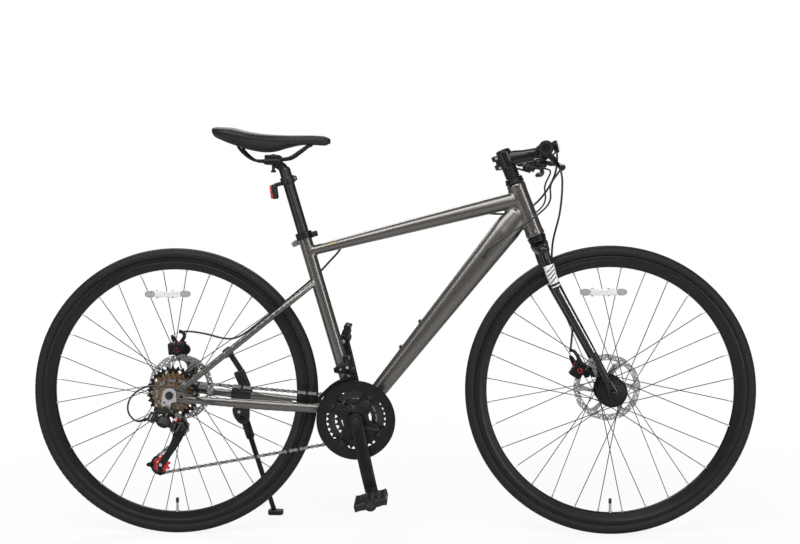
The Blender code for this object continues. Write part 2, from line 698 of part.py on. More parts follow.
def make_wheels():
    bore = AXLE_R + GAP
    end = FORK_DROP - 0.0005
    mount = FRONT_ROTOR_Y - 0.001 - GAP
    profile = [(0.0090, end), (0.0130, FRONT_ROTOR_Y + 0.0030), (0.0130, mount), (0.0220, mount),
               (0.0220, mount - 0.004), (0.0150, 0.0236), (0.0355, 0.0236), (0.0355, 0.0200), (0.0140, 0.0190),
               (0.0140, -0.0310), (0.0355, -0.0322), (0.0355, -0.0358), (0.0150, -0.0400), (0.0100, -end),
               (bore, -end), (bore, end)]
    make_wheel("front", FRONT, profile, -0.0340, 0.0218, 0.0325, FRONT_ROTOR_Y)
    end = REAR_DROP - 0.0005
    mount = REAR_ROTOR_Y - 0.001 - GAP
    body = SPROCKET_Y + 0.0062
    profile = [(0.0095, end), (0.0130, REAR_ROTOR_Y + 0.0030), (0.0130, mount), (0.0220, mount),
               (0.0220, mount - 0.004), (0.0150, 0.0358), (0.0295, 0.0354), (0.0295, 0.0318), (0.0165, 0.0305),
               (0.0165, -0.0185), (0.0295, -0.0195), (0.0295, -0.0231), (0.0180, body), (FREEHUB_R, body),
               (FREEHUB_R, -0.0632), (0.0085, -0.0632), (0.0085, -end), (bore, -end), (bore, end)]
    make_wheel("rear", REAR, profile, -0.0213, 0.0336, 0.0265, REAR_ROTOR_Y)


# Axles
def make_axles():
    face = REAR_DROP + PLATE + GAP
    claw = face + 0.003 + GAP
    profile = [(0.0, face + 0.0105), (AXLE_R, face + 0.0105), (0.0086, face + 0.0085), (0.0086, face), (AXLE_R, face),
               (AXLE_R, -claw), (0.0086, -claw), (0.0086, -claw - 0.0085), (AXLE_R, -claw - 0.0105), (0.0, -claw - 0.0105)]
    finish(turned(profile, REAR, SIDEWAYS, 12), "rear_axle", STEEL, REAR)
    face = FORK_DROP + FORK_PLATE + GAP
    profile = [(0.0, face + 0.0075), (0.0062, face + 0.0075), (0.0085, face + 0.0035), (0.0085, face), (AXLE_R, face),
               (AXLE_R, -face), (0.0085, -face), (0.0085, -face - 0.0080), (0.0060, -face - 0.0115), (0.0, -face - 0.0115)]
    finish(turned(profile, FRONT, SIDEWAYS, 12), "front_axle", STEEL, FRONT)
    lean = unit(vec(0.471, 0, 0.882))
    cross = vec(-lean[2], 0, lean[0])
    hinge = FRONT + vec(0, face + 0.0140, 0)
    path = [hinge, hinge + lean * 0.018 + vec(0, 0.0045, 0), hinge + lean * 0.038 + vec(0, 0.0040, 0),
            hinge + lean * 0.058 + vec(0, -0.0010, 0)]
    rings = []
    for point, wide, thick in zip(path, (0.0055, 0.0060, 0.0075, 0.0065), (0.0045, 0.0032, 0.0026, 0.0018)):
        rings.append([point + cross * wide * math.cos(a) + SIDEWAYS * thick * math.sin(a)
                      for a in np.radians(np.arange(22.5, 360, 45))])
    lever = union(loft(rings), cylinder(hinge - cross * 0.0062, hinge + cross * 0.0062, 0.0056, 12))
    finish(lever, "front_axle_lever", STEEL, hinge)


FORK_PLATE = 0.0060

# Kickstand on the left chainstay, down
KICK_F = 0.658


def make_kickstand():
    base = stay(KICK_F, 0.0005, 0.0590)
    sleeve = block(base + vec(0, 0.001, 0.004), (0.049, 0.024, 0.034), (REAR - BB), SIDEWAYS)
    upper = block(base + vec(0.0, 0.0020, 0.0400), (0.030, 0.016, 0.044), FORWARD, SIDEWAYS, 0.003)
    strut = tube([(base + vec(0.010, 0.006, 0.030), 0.004, 0.007), (base + vec(-0.015, 0.0080, 0.090), 0.004, 0.007),
                  (base + vec(-0.0330, 0.0035, 0.1045), 0.004, 0.009)], 8, 0.7)
    clasp = block(base + vec(-0.0330, -0.0010, 0.1045), (0.026, 0.024, 0.026), (STAY_END - STAY_TOP), SIDEWAYS)
    neck = block(base + vec(0.0, 0.0090, -0.0250), (0.026, 0.012, 0.040), FORWARD, SIDEWAYS)
    made = union(sleeve, upper, neck)
    made = union(made, strut)
    made = union(made, clasp)
    made = cut(made, chainstay(1, GAP), seatstay(1, GAP))
    hinge = base + vec(0.0, 0.0, -0.0580)
    made = union(made, across(hinge, 0.0165, 0.0610, 0.0740, 14))
    made = cut(made, across(hinge, 0.0042, 0.050, 0.080, 12))
    finish(flattened(made), "kickstand_bracket", PLASTIC)
    out = 0.0743
    socket = across(hinge, 0.0150, out, out + 0.0120, 16)
    pin = across(hinge, 0.0039, 0.0600, out + 0.004, 12)
    foot = vec(hinge[0] + 0.0640, 0.1560, 0.0)
    start = vec(hinge[0], out + 0.0117, hinge[2])
    axis = unit(foot + vec(0, 0, 0.010) - start)
    leg = union(socket, pin, cylinder(start + axis * 0.004, start + axis * 0.060, 0.0105, 12))
    leg = union(leg, cylinder(start + axis * 0.030, foot + vec(0, 0, 0.010), 0.0065, 12))
    pad = block(foot + vec(0.004, 0.0, 0.0070), (0.040, 0.022, 0.0140), FORWARD, SIDEWAYS, 0.003)
    finish(union(leg, pad), "kickstand_leg", BLACK_METAL, hinge)


# Chain line: where the chain runs, from the small ring over the rear gear
CAGE_PIVOT = rear(0.0254, -0.0730)
UPPER_OFFSET = np.array([-0.0064, -0.0027])
LOWER_OFFSET = np.array([-0.0599, -0.0853])
DRIVEN_Y = SPROCKET_Y - SPROCKET_STEP * DRIVEN


def pitch_radius(teeth):
    return PITCH / (2 * math.sin(math.pi / teeth))


def turned_2d(offset, degrees):
    a = math.radians(degrees)
    return np.array([offset[0] * math.cos(a) - offset[1] * math.sin(a),
                     offset[0] * math.sin(a) + offset[1] * math.cos(a)])


def chain_wheels(cage):
    """Centre, pitch radius and sense of the four wheels in the order of the chain's run."""
    pivot = np.array([CAGE_PIVOT[0], CAGE_PIVOT[2]])
    return [(np.array([BB[0], BB[2]]), pitch_radius(RINGS[0]), 1),
            (np.array([REAR[0], REAR[2]]), pitch_radius(SPROCKETS[DRIVEN]), 1),
            (pivot + turned_2d(UPPER_OFFSET, cage), pitch_radius(PULLEY_TEETH), -1),
            (pivot + turned_2d(LOWER_OFFSET, cage), pitch_radius(PULLEY_TEETH), 1)]


def chain_route(cage):
    """Dense points of the chain's closed path, each with the wheel it lies on, or -1."""
    wheels = chain_wheels(cage)
    normals = []
    for k in range(4):
        c1, r1, s1 = wheels[k]
        c2, r2, s2 = wheels[(k + 1) % 4]
        between = c2 - c1
        lean = math.acos((s2 * r2 - s1 * r1) / np.linalg.norm(between))
        normals.append(math.atan2(between[1], between[0]) + lean)
    points = []
    owner = []
    for k in range(4):
        centre, radius, sense = wheels[k]
        arrive = normals[k - 1] + (math.pi if sense > 0 else 0)
        leave = normals[k] + (math.pi if sense > 0 else 0)
        sweep = (leave - arrive) * sense % (2 * math.pi)
        for t in np.linspace(0, sweep, 200):
            a = arrive + sense * t
            points.append(centre + radius * np.array([math.cos(a), math.sin(a)]))
            owner.append(k)
        following, r2, s2 = wheels[(k + 1) % 4]
        a2 = normals[k] + (math.pi if s2 > 0 else 0)
        target = following + r2 * np.array([math.cos(a2), math.sin(a2)])
        start = points[-1]
        for t in np.linspace(0, 1, 200)[1:-1]:
            points.append(start + (target - start) * t)
            owner.append(-1)
    return np.array(points), owner


def walk(cage):
    """Pins one pitch apart along the path, and how many pitches go round it."""
    points, owner = chain_route(cage)
    points = np.vstack([points, points[:1]])
    pins = [points[0]]
    homes = [owner[0]]
    spot = 0
    while True:
        here = pins[-1]
        k = spot
        while k < len(points) - 1 and np.linalg.norm(points[k + 1] - here) < PITCH:
            k += 1
        if k >= len(points) - 1:
            break
        a = points[k] - here
        d = points[k + 1] - points[k]
        q = np.dot(d, d)
        h = np.dot(a, d)
        c = np.dot(a, a) - PITCH ** 2
        t = (-h + math.sqrt(max(h * h - q * c, 0))) / q
        pins.append(points[k] + d * t)
        homes.append(owner[min(k, len(owner) - 1)])
        spot = k
    left = np.linalg.norm(points[-1] - pins[-1]) / PITCH
    return pins, homes, len(pins) - 1 + left


def solve_cage():
    low = -14.0
    high = 14.0
    for _ in range(40):
        middle = (low + high) / 2
        if (walk(middle)[2] > CHAIN_LINKS) == (walk(low)[2] > CHAIN_LINKS):
            low = middle
        else:
            high = middle
    return (low + high) / 2


CAGE_TURN = solve_cage()
PINS, HOMES, AROUND = walk(CAGE_TURN)
PINS = PINS[:CHAIN_LINKS]
WHEELS = chain_wheels(CAGE_TURN)


def phase_of(wheel):
    """Angle of a pin on the wheel, which is where one of its roots lies."""
    found = [k for k in range(len(PINS)) if HOMES[k] == wheel]
    pin = PINS[found[len(found) // 2]] - WHEELS[wheel][0]
    return math.atan2(pin[1], pin[0])


def chain_y(point):
    """The chain slants between the ring and the gear, and runs straight close to them."""
    first = REAR[0] + 0.045
    last = BB[0] - 0.040
    t = min(max((point[0] - first) / (last - first), 0.0), 1.0)
    return DRIVEN_Y + (RING_Y[0] - DRIVEN_Y) * t


def make_chain():
    rings = []
    for k in range(CHAIN_LINKS):
        before = PINS[k - 1]
        here = PINS[k]
        after = PINS[(k + 1) % CHAIN_LINKS]
        along = unit(vec(after[0] - before[0], 0, after[1] - before[1]))
        up = vec(-along[2], 0, along[0])
        wide, tall = (0.0034, 0.0039) if k % 2 else (0.0024, 0.0033)
        c = vec(here[0], chain_y(here), here[1])
        rings.append([c + up * tall * u + SIDEWAYS * wide * s for u, s in ((1, 1), (1, -1), (-1, -1), (-1, 1))])
    made = loft(rings, closed=True)
    # Grooves in which the teeth of the four wheels run
    teeth = (RINGS[0], SPROCKETS[DRIVEN], PULLEY_TEETH, PULLEY_TEETH)
    lines = (RING_Y[0], DRIVEN_Y, DRIVEN_Y, DRIVEN_Y)
    cutters = []
    for k in range(4):
        centre = vec(WHEELS[k][0][0], 0, WHEELS[k][0][1])
        tip = pitch_radius(teeth[k]) + TOOTH_TIP + GAP
        start = math.degrees(phase_of(k)) + 180 / teeth[k]
        groove = arc(0, 0, tip, start, start + 360 - 360 / teeth[k], teeth[k])
        cutters.append(side([groove], centre, lines[k] - 0.0013, lines[k] + 0.0013))
    made = cut(made, *cutters)
    finish(flattened(made), "chain", DARK_STEEL)


def make_cassette():
    made = ring(REAR, 0.0190, bore(FREEHUB_R, 10), -0.0620, SPROCKET_Y + 0.0040, SIDEWAYS, 10)
    discs = []
    for k, teeth in enumerate(SPROCKETS):
        y = SPROCKET_Y - SPROCKET_STEP * k
        phase = phase_of(1) if k == DRIVEN else 0.1 * k
        outlines = [toothed(teeth, phase), disc(0, 0, 0.0161, 6)]
        if k == 0:
            for j in range(5):
                a = 72 * j
                outlines.append(arc(0, 0, 0.0500, a - 20, a + 20, 3) + arc(0, 0, 0.0300, a + 15, a - 15, 2))
        discs.append(side(outlines, REAR, y - 0.0009, y + 0.0009))
    made = union(made, *discs)
    finish(flattened(made), "cassette", BRONZE, REAR)


RING_BOLT_R = 0.0625
SMALL_BOLT_R = 0.0405
GUARD_Y = -0.0655
CRANK_DIR = vec(math.sin(math.radians(CRANK_TILT)), 0, -math.cos(math.radians(CRANK_TILT)))
SPIDER = [math.degrees(math.atan2(CRANK_DIR[2], CRANK_DIR[0])) + 45 + 90 * k for k in range(4)]


def around_bb(angle, radius):
    return BB + vec(radius * math.cos(math.radians(angle)), 0, radius * math.sin(math.radians(angle)))


def make_chainrings():
    small = side([toothed(RINGS[0], phase_of(0)), disc(0, 0, 0.0355, 12)], BB, RING_Y[0] - 0.0009, RING_Y[0] + 0.0009)
    middle = side([toothed(RINGS[1], 0.0), disc(0, 0, 0.0370, 12)], BB, RING_Y[1] - 0.0009,
                  RING_Y[1] + 0.0009)
    large = side([toothed(RINGS[2], 0.05), disc(0, 0, 0.0560, 16)], BB, RING_Y[2] - 0.0010,
                 RING_Y[2] + 0.0010)
    # The guard ring reaches in to the bolts with four tabs
    opening = []
    for angle in SPIDER:
        opening += arc(0, 0, 0.0790, angle - 80, angle - 10, 3)
        opening += arc(0, 0, RING_BOLT_R - 0.0050, angle - 6, angle + 6, 2)
    guard = side([disc(0, 0, GUARD_R, 30), opening], BB, GUARD_Y - 0.0012, GUARD_Y + 0.0012)
    pieces = [middle, large, guard]
    for angle in SPIDER:
        pieces.append(across(around_bb(angle, SMALL_BOLT_R), 0.0030, RING_Y[1] - 0.0004, RING_Y[0] + 0.0004, 4))
        pieces.append(across(around_bb(angle, RING_BOLT_R), 0.0040, GUARD_Y - 0.0030, RING_Y[1] + 0.0004, 4))
    made = union(small, *pieces)
    finish(flattened(made), "chainrings", BLACK_METAL, BB)


# Cranks: the right one carries the spider, the left one the spindle
ARM_ROOT = 0.0720
ARM_END = 0.0890


def make_arm(sign, direction):
    """Arm from the axle to the pedal; sign is the side."""
    across_arm = vec(-direction[2], 0, direction[0])
    rings = []
    for f, wide, thick in ((0.0, 0.0155, 0.0060), (0.12, 0.0150, 0.0064), (0.7, 0.0125, 0.0062), (1.0, 0.0140, 0.0055)):
        y = sign * (ARM_ROOT + (ARM_END - ARM_ROOT) * min(max((f - 0.1) / 0.6, 0), 1))
        c = BB + direction * CRANK * f + vec(0, y, 0)
        rings.append([c + across_arm * wide * u + SIDEWAYS * thick * s
                      for u, s in ((1, 0.35), (0.7, 1), (-0.7, 1), (-1, 0.35), (-1, -0.35), (-0.7, -1), (0.7, -1), (1, -0.35))])
    arm = loft(rings)
    root = sorted((sign * (ARM_ROOT - 0.0095), sign * (ARM_ROOT + 0.0070)))
    tip = sorted((sign * (ARM_END - 0.0070), sign * (ARM_END + 0.0070)))
    end = BB + direction * CRANK
    spindle = sorted((sign * ARM_END, sign * (PEDAL_OUT - 0.006)))
    return union(arm, across(BB, 0.0175, root[0], root[1], 14), across(end, 0.0160, tip[0], tip[1], 12),
                 across(end, 0.0045, spindle[0], spindle[1], 8))


PEDAL_IN = 0.1000
PEDAL_OUT = 0.1900


def make_cranks():
    right = make_arm(-1, CRANK_DIR)
    star = []
    holes = [disc(0, 0, 0.0140, 10)]
    for angle in SPIDER:
        star += arc(0, 0, 0.0240, angle - 55, angle - 35, 2)
        tip = (RING_BOLT_R * math.cos(math.radians(angle)), RING_BOLT_R * math.sin(math.radians(angle)))
        star += arc(tip[0], tip[1], 0.0085, angle - 75, angle + 75, 4)
        holes.append(disc(tip[0], tip[1], 0.0060, 6))
    right = union(right, side([star] + holes, BB, GUARD_Y + 0.0012 + GAP, GUARD_Y + 0.0067))
    right = cut(right, across(BB, SPINDLE_R + GAP, -0.0745, -0.03, 12))
    finish(flattened(right), "crank_right", BLACK_METAL, BB)
    left = union(make_arm(1, -CRANK_DIR), across(BB, SPINDLE_R, -0.0740, 0.0700, 12))
    finish(flattened(left), "crank_left", BLACK_METAL, BB)


def make_pedals():
    for name, sign, direction, lean in (("pedal_right", -1, CRANK_DIR, 14), ("pedal_left", 1, -CRANK_DIR, 76)):
        centre = BB + direction * CRANK + vec(0, sign * (PEDAL_IN + PEDAL_OUT) / 2, 0)
        u = vec(math.cos(math.radians(lean)), 0, math.sin(math.radians(lean)))
        half_long = 0.0370
        half_wide = (PEDAL_OUT - PEDAL_IN) / 2 - 0.002
        edge = []
        count = 6
        for k in range(count):
            y = -half_wide + 2 * half_wide * k / (count - 1)
            edge.append((half_long - (0.004 if k % 2 else 0.0), y))
        outline = edge + [(-x, y) for x, y in reversed(edge)]
        windows = []
        for low, high in ((-0.035, -0.004), (0.004, 0.035)):
            for end in (1, -1):
                window = [(0.0135, low), (0.0300, low), (0.0300, high), (0.0135, high)]
                windows.append([(x * end, y) for x, y in window])
        made = plate([outline] + windows, centre, u, SIDEWAYS, -0.0085, 0.0085)
        low, high = sorted((sign * PEDAL_IN, sign * PEDAL_OUT))
        made = union(made, across(centre, 0.0120, low, high, 14))
        hole = sorted((sign * (PEDAL_IN - 0.01), sign * (PEDAL_OUT - 0.0045)))
        made = cut(made, across(centre, 0.0045 + GAP, hole[0], hole[1], 12))
        finish(flattened(made), name, PLASTIC, centre)


# Rear derailleur: claw hanger, bracket, link, knuckle, cage and two pulleys
CLAW_IN = REAR_DROP + PLATE + GAP
CLAW_OUT = CLAW_IN + 0.003 - GAP
BRACKET_BOLT = rear(-0.0091, -0.0330)
LINK_AXIS = unit(vec(0.35, 0.478, 0.80))
LINK_A = rear(-0.0340, -0.0500, -0.0870)
LINK_B = rear(0.0130, -0.0700, -0.0860)
BARREL_ROOT = LINK_A + vec(-0.0120, 0, -0.0010)
BARREL_END = rear(-0.0620, -0.0560, -0.0870)


def make_derailleur():
    outline = (arc(0, 0, 0.0175, 20, 150, 7) + [(-0.0185, -0.0060), (-0.0180, -0.0330)]
               + arc(-0.0091, -0.0330, 0.0090, 200, 340, 5) + [(0.0040, -0.0180), (0.0160, -0.0140)])
    made = side([outline, disc(0, 0, AXLE_R + GAP, 14), disc(-0.0091, -0.0330, 0.0042, 10)], REAR, -CLAW_OUT, -CLAW_IN)
    finish(flattened(made), "derailleur_hanger", STEEL, REAR)

    ear = 0.0076
    forward_link = unit(np.cross(SIDEWAYS, LINK_AXIS))
    sideways_link = np.cross(LINK_AXIS, forward_link)
    inner_face = -CLAW_OUT - GAP
    made = across(BRACKET_BOLT, 0.0092, inner_face - 0.0150, inner_face, 12)
    made = union(made, across(BRACKET_BOLT, 0.0039, inner_face - 0.002, -CLAW_IN + 0.0002, 8))
    body = tube([(BRACKET_BOLT + vec(-0.001, inner_face - 0.0080, 0), 0.0062, 0.0085),
                 (LINK_A + LINK_AXIS * (ear + 0.0040) - forward_link * 0.003, 0.0060, 0.0060)], 8, 0.8)
    body = cut(body, block(LINK_A, (0.060, 0.060, 2 * (ear + GAP)), forward_link, sideways_link))
    web = block(LINK_A - forward_link * 0.0105, (0.0050, 0.0110, 2 * ear + 0.0070), forward_link, sideways_link)
    ears = [block(LINK_A + LINK_AXIS * end * (ear + GAP + 0.0016) - forward_link * 0.0035, (0.0190, 0.0120, 0.0032),
                  forward_link, sideways_link) for end in (1, -1)]
    barrel = rod([BARREL_ROOT, BARREL_END], 0.0037, 2)
    made = union(made, body, web)
    made = union(made, ears[0], ears[1])
    made = union(made, cylinder(LINK_A - LINK_AXIS * (ear + 0.002), LINK_A + LINK_AXIS * (ear + 0.002), 0.0022, 8), barrel)
    finish(flattened(made), "derailleur_bracket", BLACK_METAL, LINK_A)

    link = ring(LINK_A, 0.0062, 0.0026, -ear, ear, LINK_AXIS, 10)
    far = ring(LINK_B, 0.0062, 0.0026, -ear, ear, LINK_AXIS, 10)
    along = unit(LINK_B - LINK_A)
    slab = block((LINK_A + LINK_B) / 2, (np.linalg.norm(LINK_B - LINK_A) - 0.0085, 0.0070, 2 * ear - 0.001),
                 along, np.cross(LINK_AXIS, along), 0.001)
    finish(flattened(union(link, slab, far)), "derailleur_link", BLACK_METAL, LINK_A)

    outer_plate = DRIVEN_Y - 0.0075
    low = outer_plate - GAP - 0.0095
    made = across(CAGE_PIVOT, 0.0115, low - 0.0024, outer_plate - GAP, 14)
    web = block(LINK_B + forward_link * 0.0108 + sideways_link * 0.0040, (0.0054, 0.0190, 2 * ear + 0.0068),
                forward_link, sideways_link)
    ears = [block(LINK_B + LINK_AXIS * end * (ear + GAP + 0.0016) + forward_link * 0.0033, (0.0186, 0.0124, 0.0032),
                  forward_link, sideways_link) for end in (1, -1)]
    made = union(made, web)
    made = union(made, ears[0])
    made = union(made, ears[1])
    made = union(made, cylinder(LINK_B - LINK_AXIS * (ear + 0.002), LINK_B + LINK_AXIS * (ear + 0.002), 0.0022, 8))
    made = cut(made, across(CAGE_PIVOT, bore(0.0060, 14), low, 0, 14))
    finish(flattened(made), "derailleur_knuckle", BLACK_METAL, LINK_B)

    upper = WHEELS[2][0] - np.array([CAGE_PIVOT[0], CAGE_PIVOT[2]])
    lower = WHEELS[3][0] - np.array([CAGE_PIVOT[0], CAGE_PIVOT[2]])
    across_cage = unit(vec(lower[1], 0, -lower[0]))
    bow = np.array([across_cage[0], across_cage[2]]) * -0.0060
    inner_plate = DRIVEN_Y + 0.0060
    made = side([strap((0, 0), tuple(lower), 0.0135, 0.0105, bow)], CAGE_PIVOT, outer_plate, outer_plate + 0.0015)
    inner = side([strap(tuple(upper), tuple(lower), 0.0100, 0.0095, bow)], CAGE_PIVOT, inner_plate, inner_plate + 0.0015)
    bolts = []
    for k in (2, 3):
        at = vec(WHEELS[k][0][0], 0, WHEELS[k][0][1])
        bolts.append(across(at, 0.0030, outer_plate + 0.0004, inner_plate + 0.0025, 8))
    made = union(made, bolts[0], bolts[1], inner)
    made = union(made, across(CAGE_PIVOT, 0.0060, low + GAP, outer_plate + 0.0006, 14))
    finish(flattened(made), "derailleur_cage", BLACK_METAL, CAGE_PIVOT)

    for k, name in ((2, "upper_pulley"), (3, "lower_pulley")):
        at = vec(WHEELS[k][0][0], 0, WHEELS[k][0][1])
        wheel = side([toothed(PULLEY_TEETH, phase_of(k)), disc(0, 0, 0.0033, 8)], at, DRIVEN_Y - 0.0009, DRIVEN_Y + 0.0009)
        hub = ring(at, 0.0070, 0.0033, DRIVEN_Y - 0.0057, DRIVEN_Y + 0.0057, SIDEWAYS, 8)
        finish(flattened(union(wheel, hub)), name, RED, at + vec(0, DRIVEN_Y, 0))


# Fork
LEG_Y = 0.0545


def make_fork():
    made = cylinder(head(-0.0900), head(STEERER_TOP), STEERER_R, 12)
    crown_top = -HEAD_HALF - CUP - 2 * GAP
    crown = turned([(0.0, crown_top), (0.0205, crown_top), (0.0212, crown_top - 0.006), (0.0195, crown_top - 0.018),
                    (0.0, crown_top - 0.018)], HEAD, HEAD_UP, 16)
    bridge = []
    for y, half_up, half_fore, lift in ((-0.0600, 0.0090, 0.0100, -0.0080), (-0.0520, 0.0130, 0.0145, -0.0040),
                                        (-0.0250, 0.0120, 0.0175, 0.0), (0.0, 0.0115, 0.0182, 0.0), (0.0250, 0.0120, 0.0175, 0.0),
                                        (0.0520, 0.0130, 0.0145, -0.0040), (0.0600, 0.0090, 0.0100, -0.0080)):
        c = head(-0.0960 + lift, -0.0005, y)
        bridge.append([c + HEAD_FWD * half_fore * math.cos(a) + HEAD_UP * half_up * math.sin(a)
                       for a in np.radians(np.arange(22.5, 360, 45))])
    made = union(made, crown, loft(bridge))
    legs = []
    for sign in (-1, 1):
        stations = [(head(-0.0985, -0.0012, sign * 0.0515), 0.0085, 0.0125), (head(-0.1400, -0.0027, sign * LEG_Y), 0.0105, 0.0125),
                    (head(-0.1897, -0.0026, sign * LEG_Y), 0.0098, 0.0108), (head(-0.3541, 0.0190, sign * LEG_Y), 0.0075, 0.0083),
                    (head(-0.4420, 0.0284, sign * 0.0535), 0.0060, 0.0075)]
        legs.append(tube(stations, 8))
        tip = head(-0.4420, 0.0284) - FRONT
        near = min(sign * FORK_DROP, sign * (FORK_DROP + FORK_PLATE))
        legs.append(side([capsule((tip[0], tip[2]), (0, 0), 0.0080, 0.0115, 6)], FRONT, near, near + FORK_PLATE))
    tab = [(-0.0200, 0.0800), (-0.0400, 0.0660), (-0.0430, 0.0300), (-0.0300, 0.0200), (-0.0130, 0.0240), (-0.0120, 0.0700)]
    legs.append(side([tab], FRONT, FORK_DROP + 0.0007, FORK_DROP + PLATE + 0.0003))
    made = union(made, legs[0], legs[2])
    made = union(made, legs[1], legs[3])
    made = union(made, legs[4])
    slots = []
    for sign in (-1, 1):
        low = sign * (FORK_DROP + FORK_PLATE / 2) - FORK_PLATE
        slots.append(side([capsule((0, 0), (0, -0.04), AXLE_R + GAP, AXLE_R + GAP + 0.00001, 6)], FRONT, low,
                          low + 2 * FORK_PLATE))
    made = cut(made, *slots)
    finish(flattened(made), "fork", BLACK_METAL, HEAD)


# Stem, bar and controls
STEM_LOW = 0.1065
STEM_HIGH = 0.1475
STEERER_TOP = STEM_HIGH - 0.0020
BAR_CENTRE = head(0.1117, 0.0857)
BAR_SWEEP = unit(vec(-0.100, 1.0, -0.022))


def bar(y, forward=0.0, up=0.0):
    """Point on the bar's axis at distance y, moved forward and up."""
    flat = 0.045
    reach = max(abs(y) - flat, 0.0)
    back = -BAR_SWEEP[0] / BAR_SWEEP[1] * reach
    drop = -BAR_SWEEP[2] / BAR_SWEEP[1] * reach
    return BAR_CENTRE + vec(-back + forward, y, -drop + up)


def bar_axis(sign):
    return vec(BAR_SWEEP[0], sign * BAR_SWEEP[1], BAR_SWEEP[2])


def make_stem():
    base = HEAD_HALF + CUP + 2 * GAP
    made = turned([(0.0, 0.1530), (0.0150, 0.1530), (0.0170, 0.1500), (0.0178, STEM_HIGH),
                   (0.0178, STEM_LOW), (0.0168, STEM_LOW - 0.001), (0.0168, base), (STEERER_R + GAP, base),
                   (STEERER_R + GAP, STEERER_TOP + GAP), (0.0, STEERER_TOP + GAP)], HEAD, HEAD_UP, 12)
    reach = (0.012, 0.040, 0.083)
    stations = []
    for d, hy, hz in zip(reach, (0.0155, 0.0140, 0.0165), (0.0190, 0.0155, 0.0165)):
        stations.append((head(0.1270 - 0.0160 * max(d - 0.012, 0) / 0.071, d), hy, hz))
    arm = tube(stations, 8, 0.8)
    arm = cut(arm, cylinder(head(0.05), head(0.2), STEERER_R + GAP + 0.001, 20))
    clamp = across(BAR_CENTRE, 0.0190, -0.0220, 0.0220, 14)
    lug = block(head(0.1270, -0.0210), (0.012, 0.020, 0.036), HEAD_FWD, SIDEWAYS)
    lug = cut(lug, cylinder(head(0.05), head(0.2), STEERER_R + GAP + 0.001, 20))
    made = union(made, arm, clamp)
    made = union(made, lug)
    made = cut(made, across(BAR_CENTRE, BAR_MIDDLE_R + GAP, -0.05, 0.05, 16))
    finish(flattened(made), "stem", BLACK_METAL, HEAD)


BAR_MIDDLE_R = 0.0127


def make_bar():
    half = [(BAR_HALF - 0.004, BAR_R), (0.100, BAR_R), (0.046, BAR_R), (0.038, BAR_MIDDLE_R), (0.022, BAR_MIDDLE_R)]
    stations = [(bar(-y), r, r) for y, r in half] + [(bar(y), r, r) for y, r in reversed(half)]
    rings = []
    for point, r, _ in stations:
        sign = 1 if point[1] > 0 else -1
        tilt = bar_axis(sign) * sign if abs(point[1]) > 0.050 else SIDEWAYS
        u = unit(np.cross(tilt, UPWARD))
        v = np.cross(u, tilt)
        rings.append([point + u * r * math.cos(a) + v * r * math.sin(a) for a in np.radians(np.arange(0, 360, 36))])
    finish(loft(rings), "handlebar", BLACK_METAL, HEAD)


GRIP_IN = 0.174
CLAMP_Y = 0.150
POD_Y = 0.128


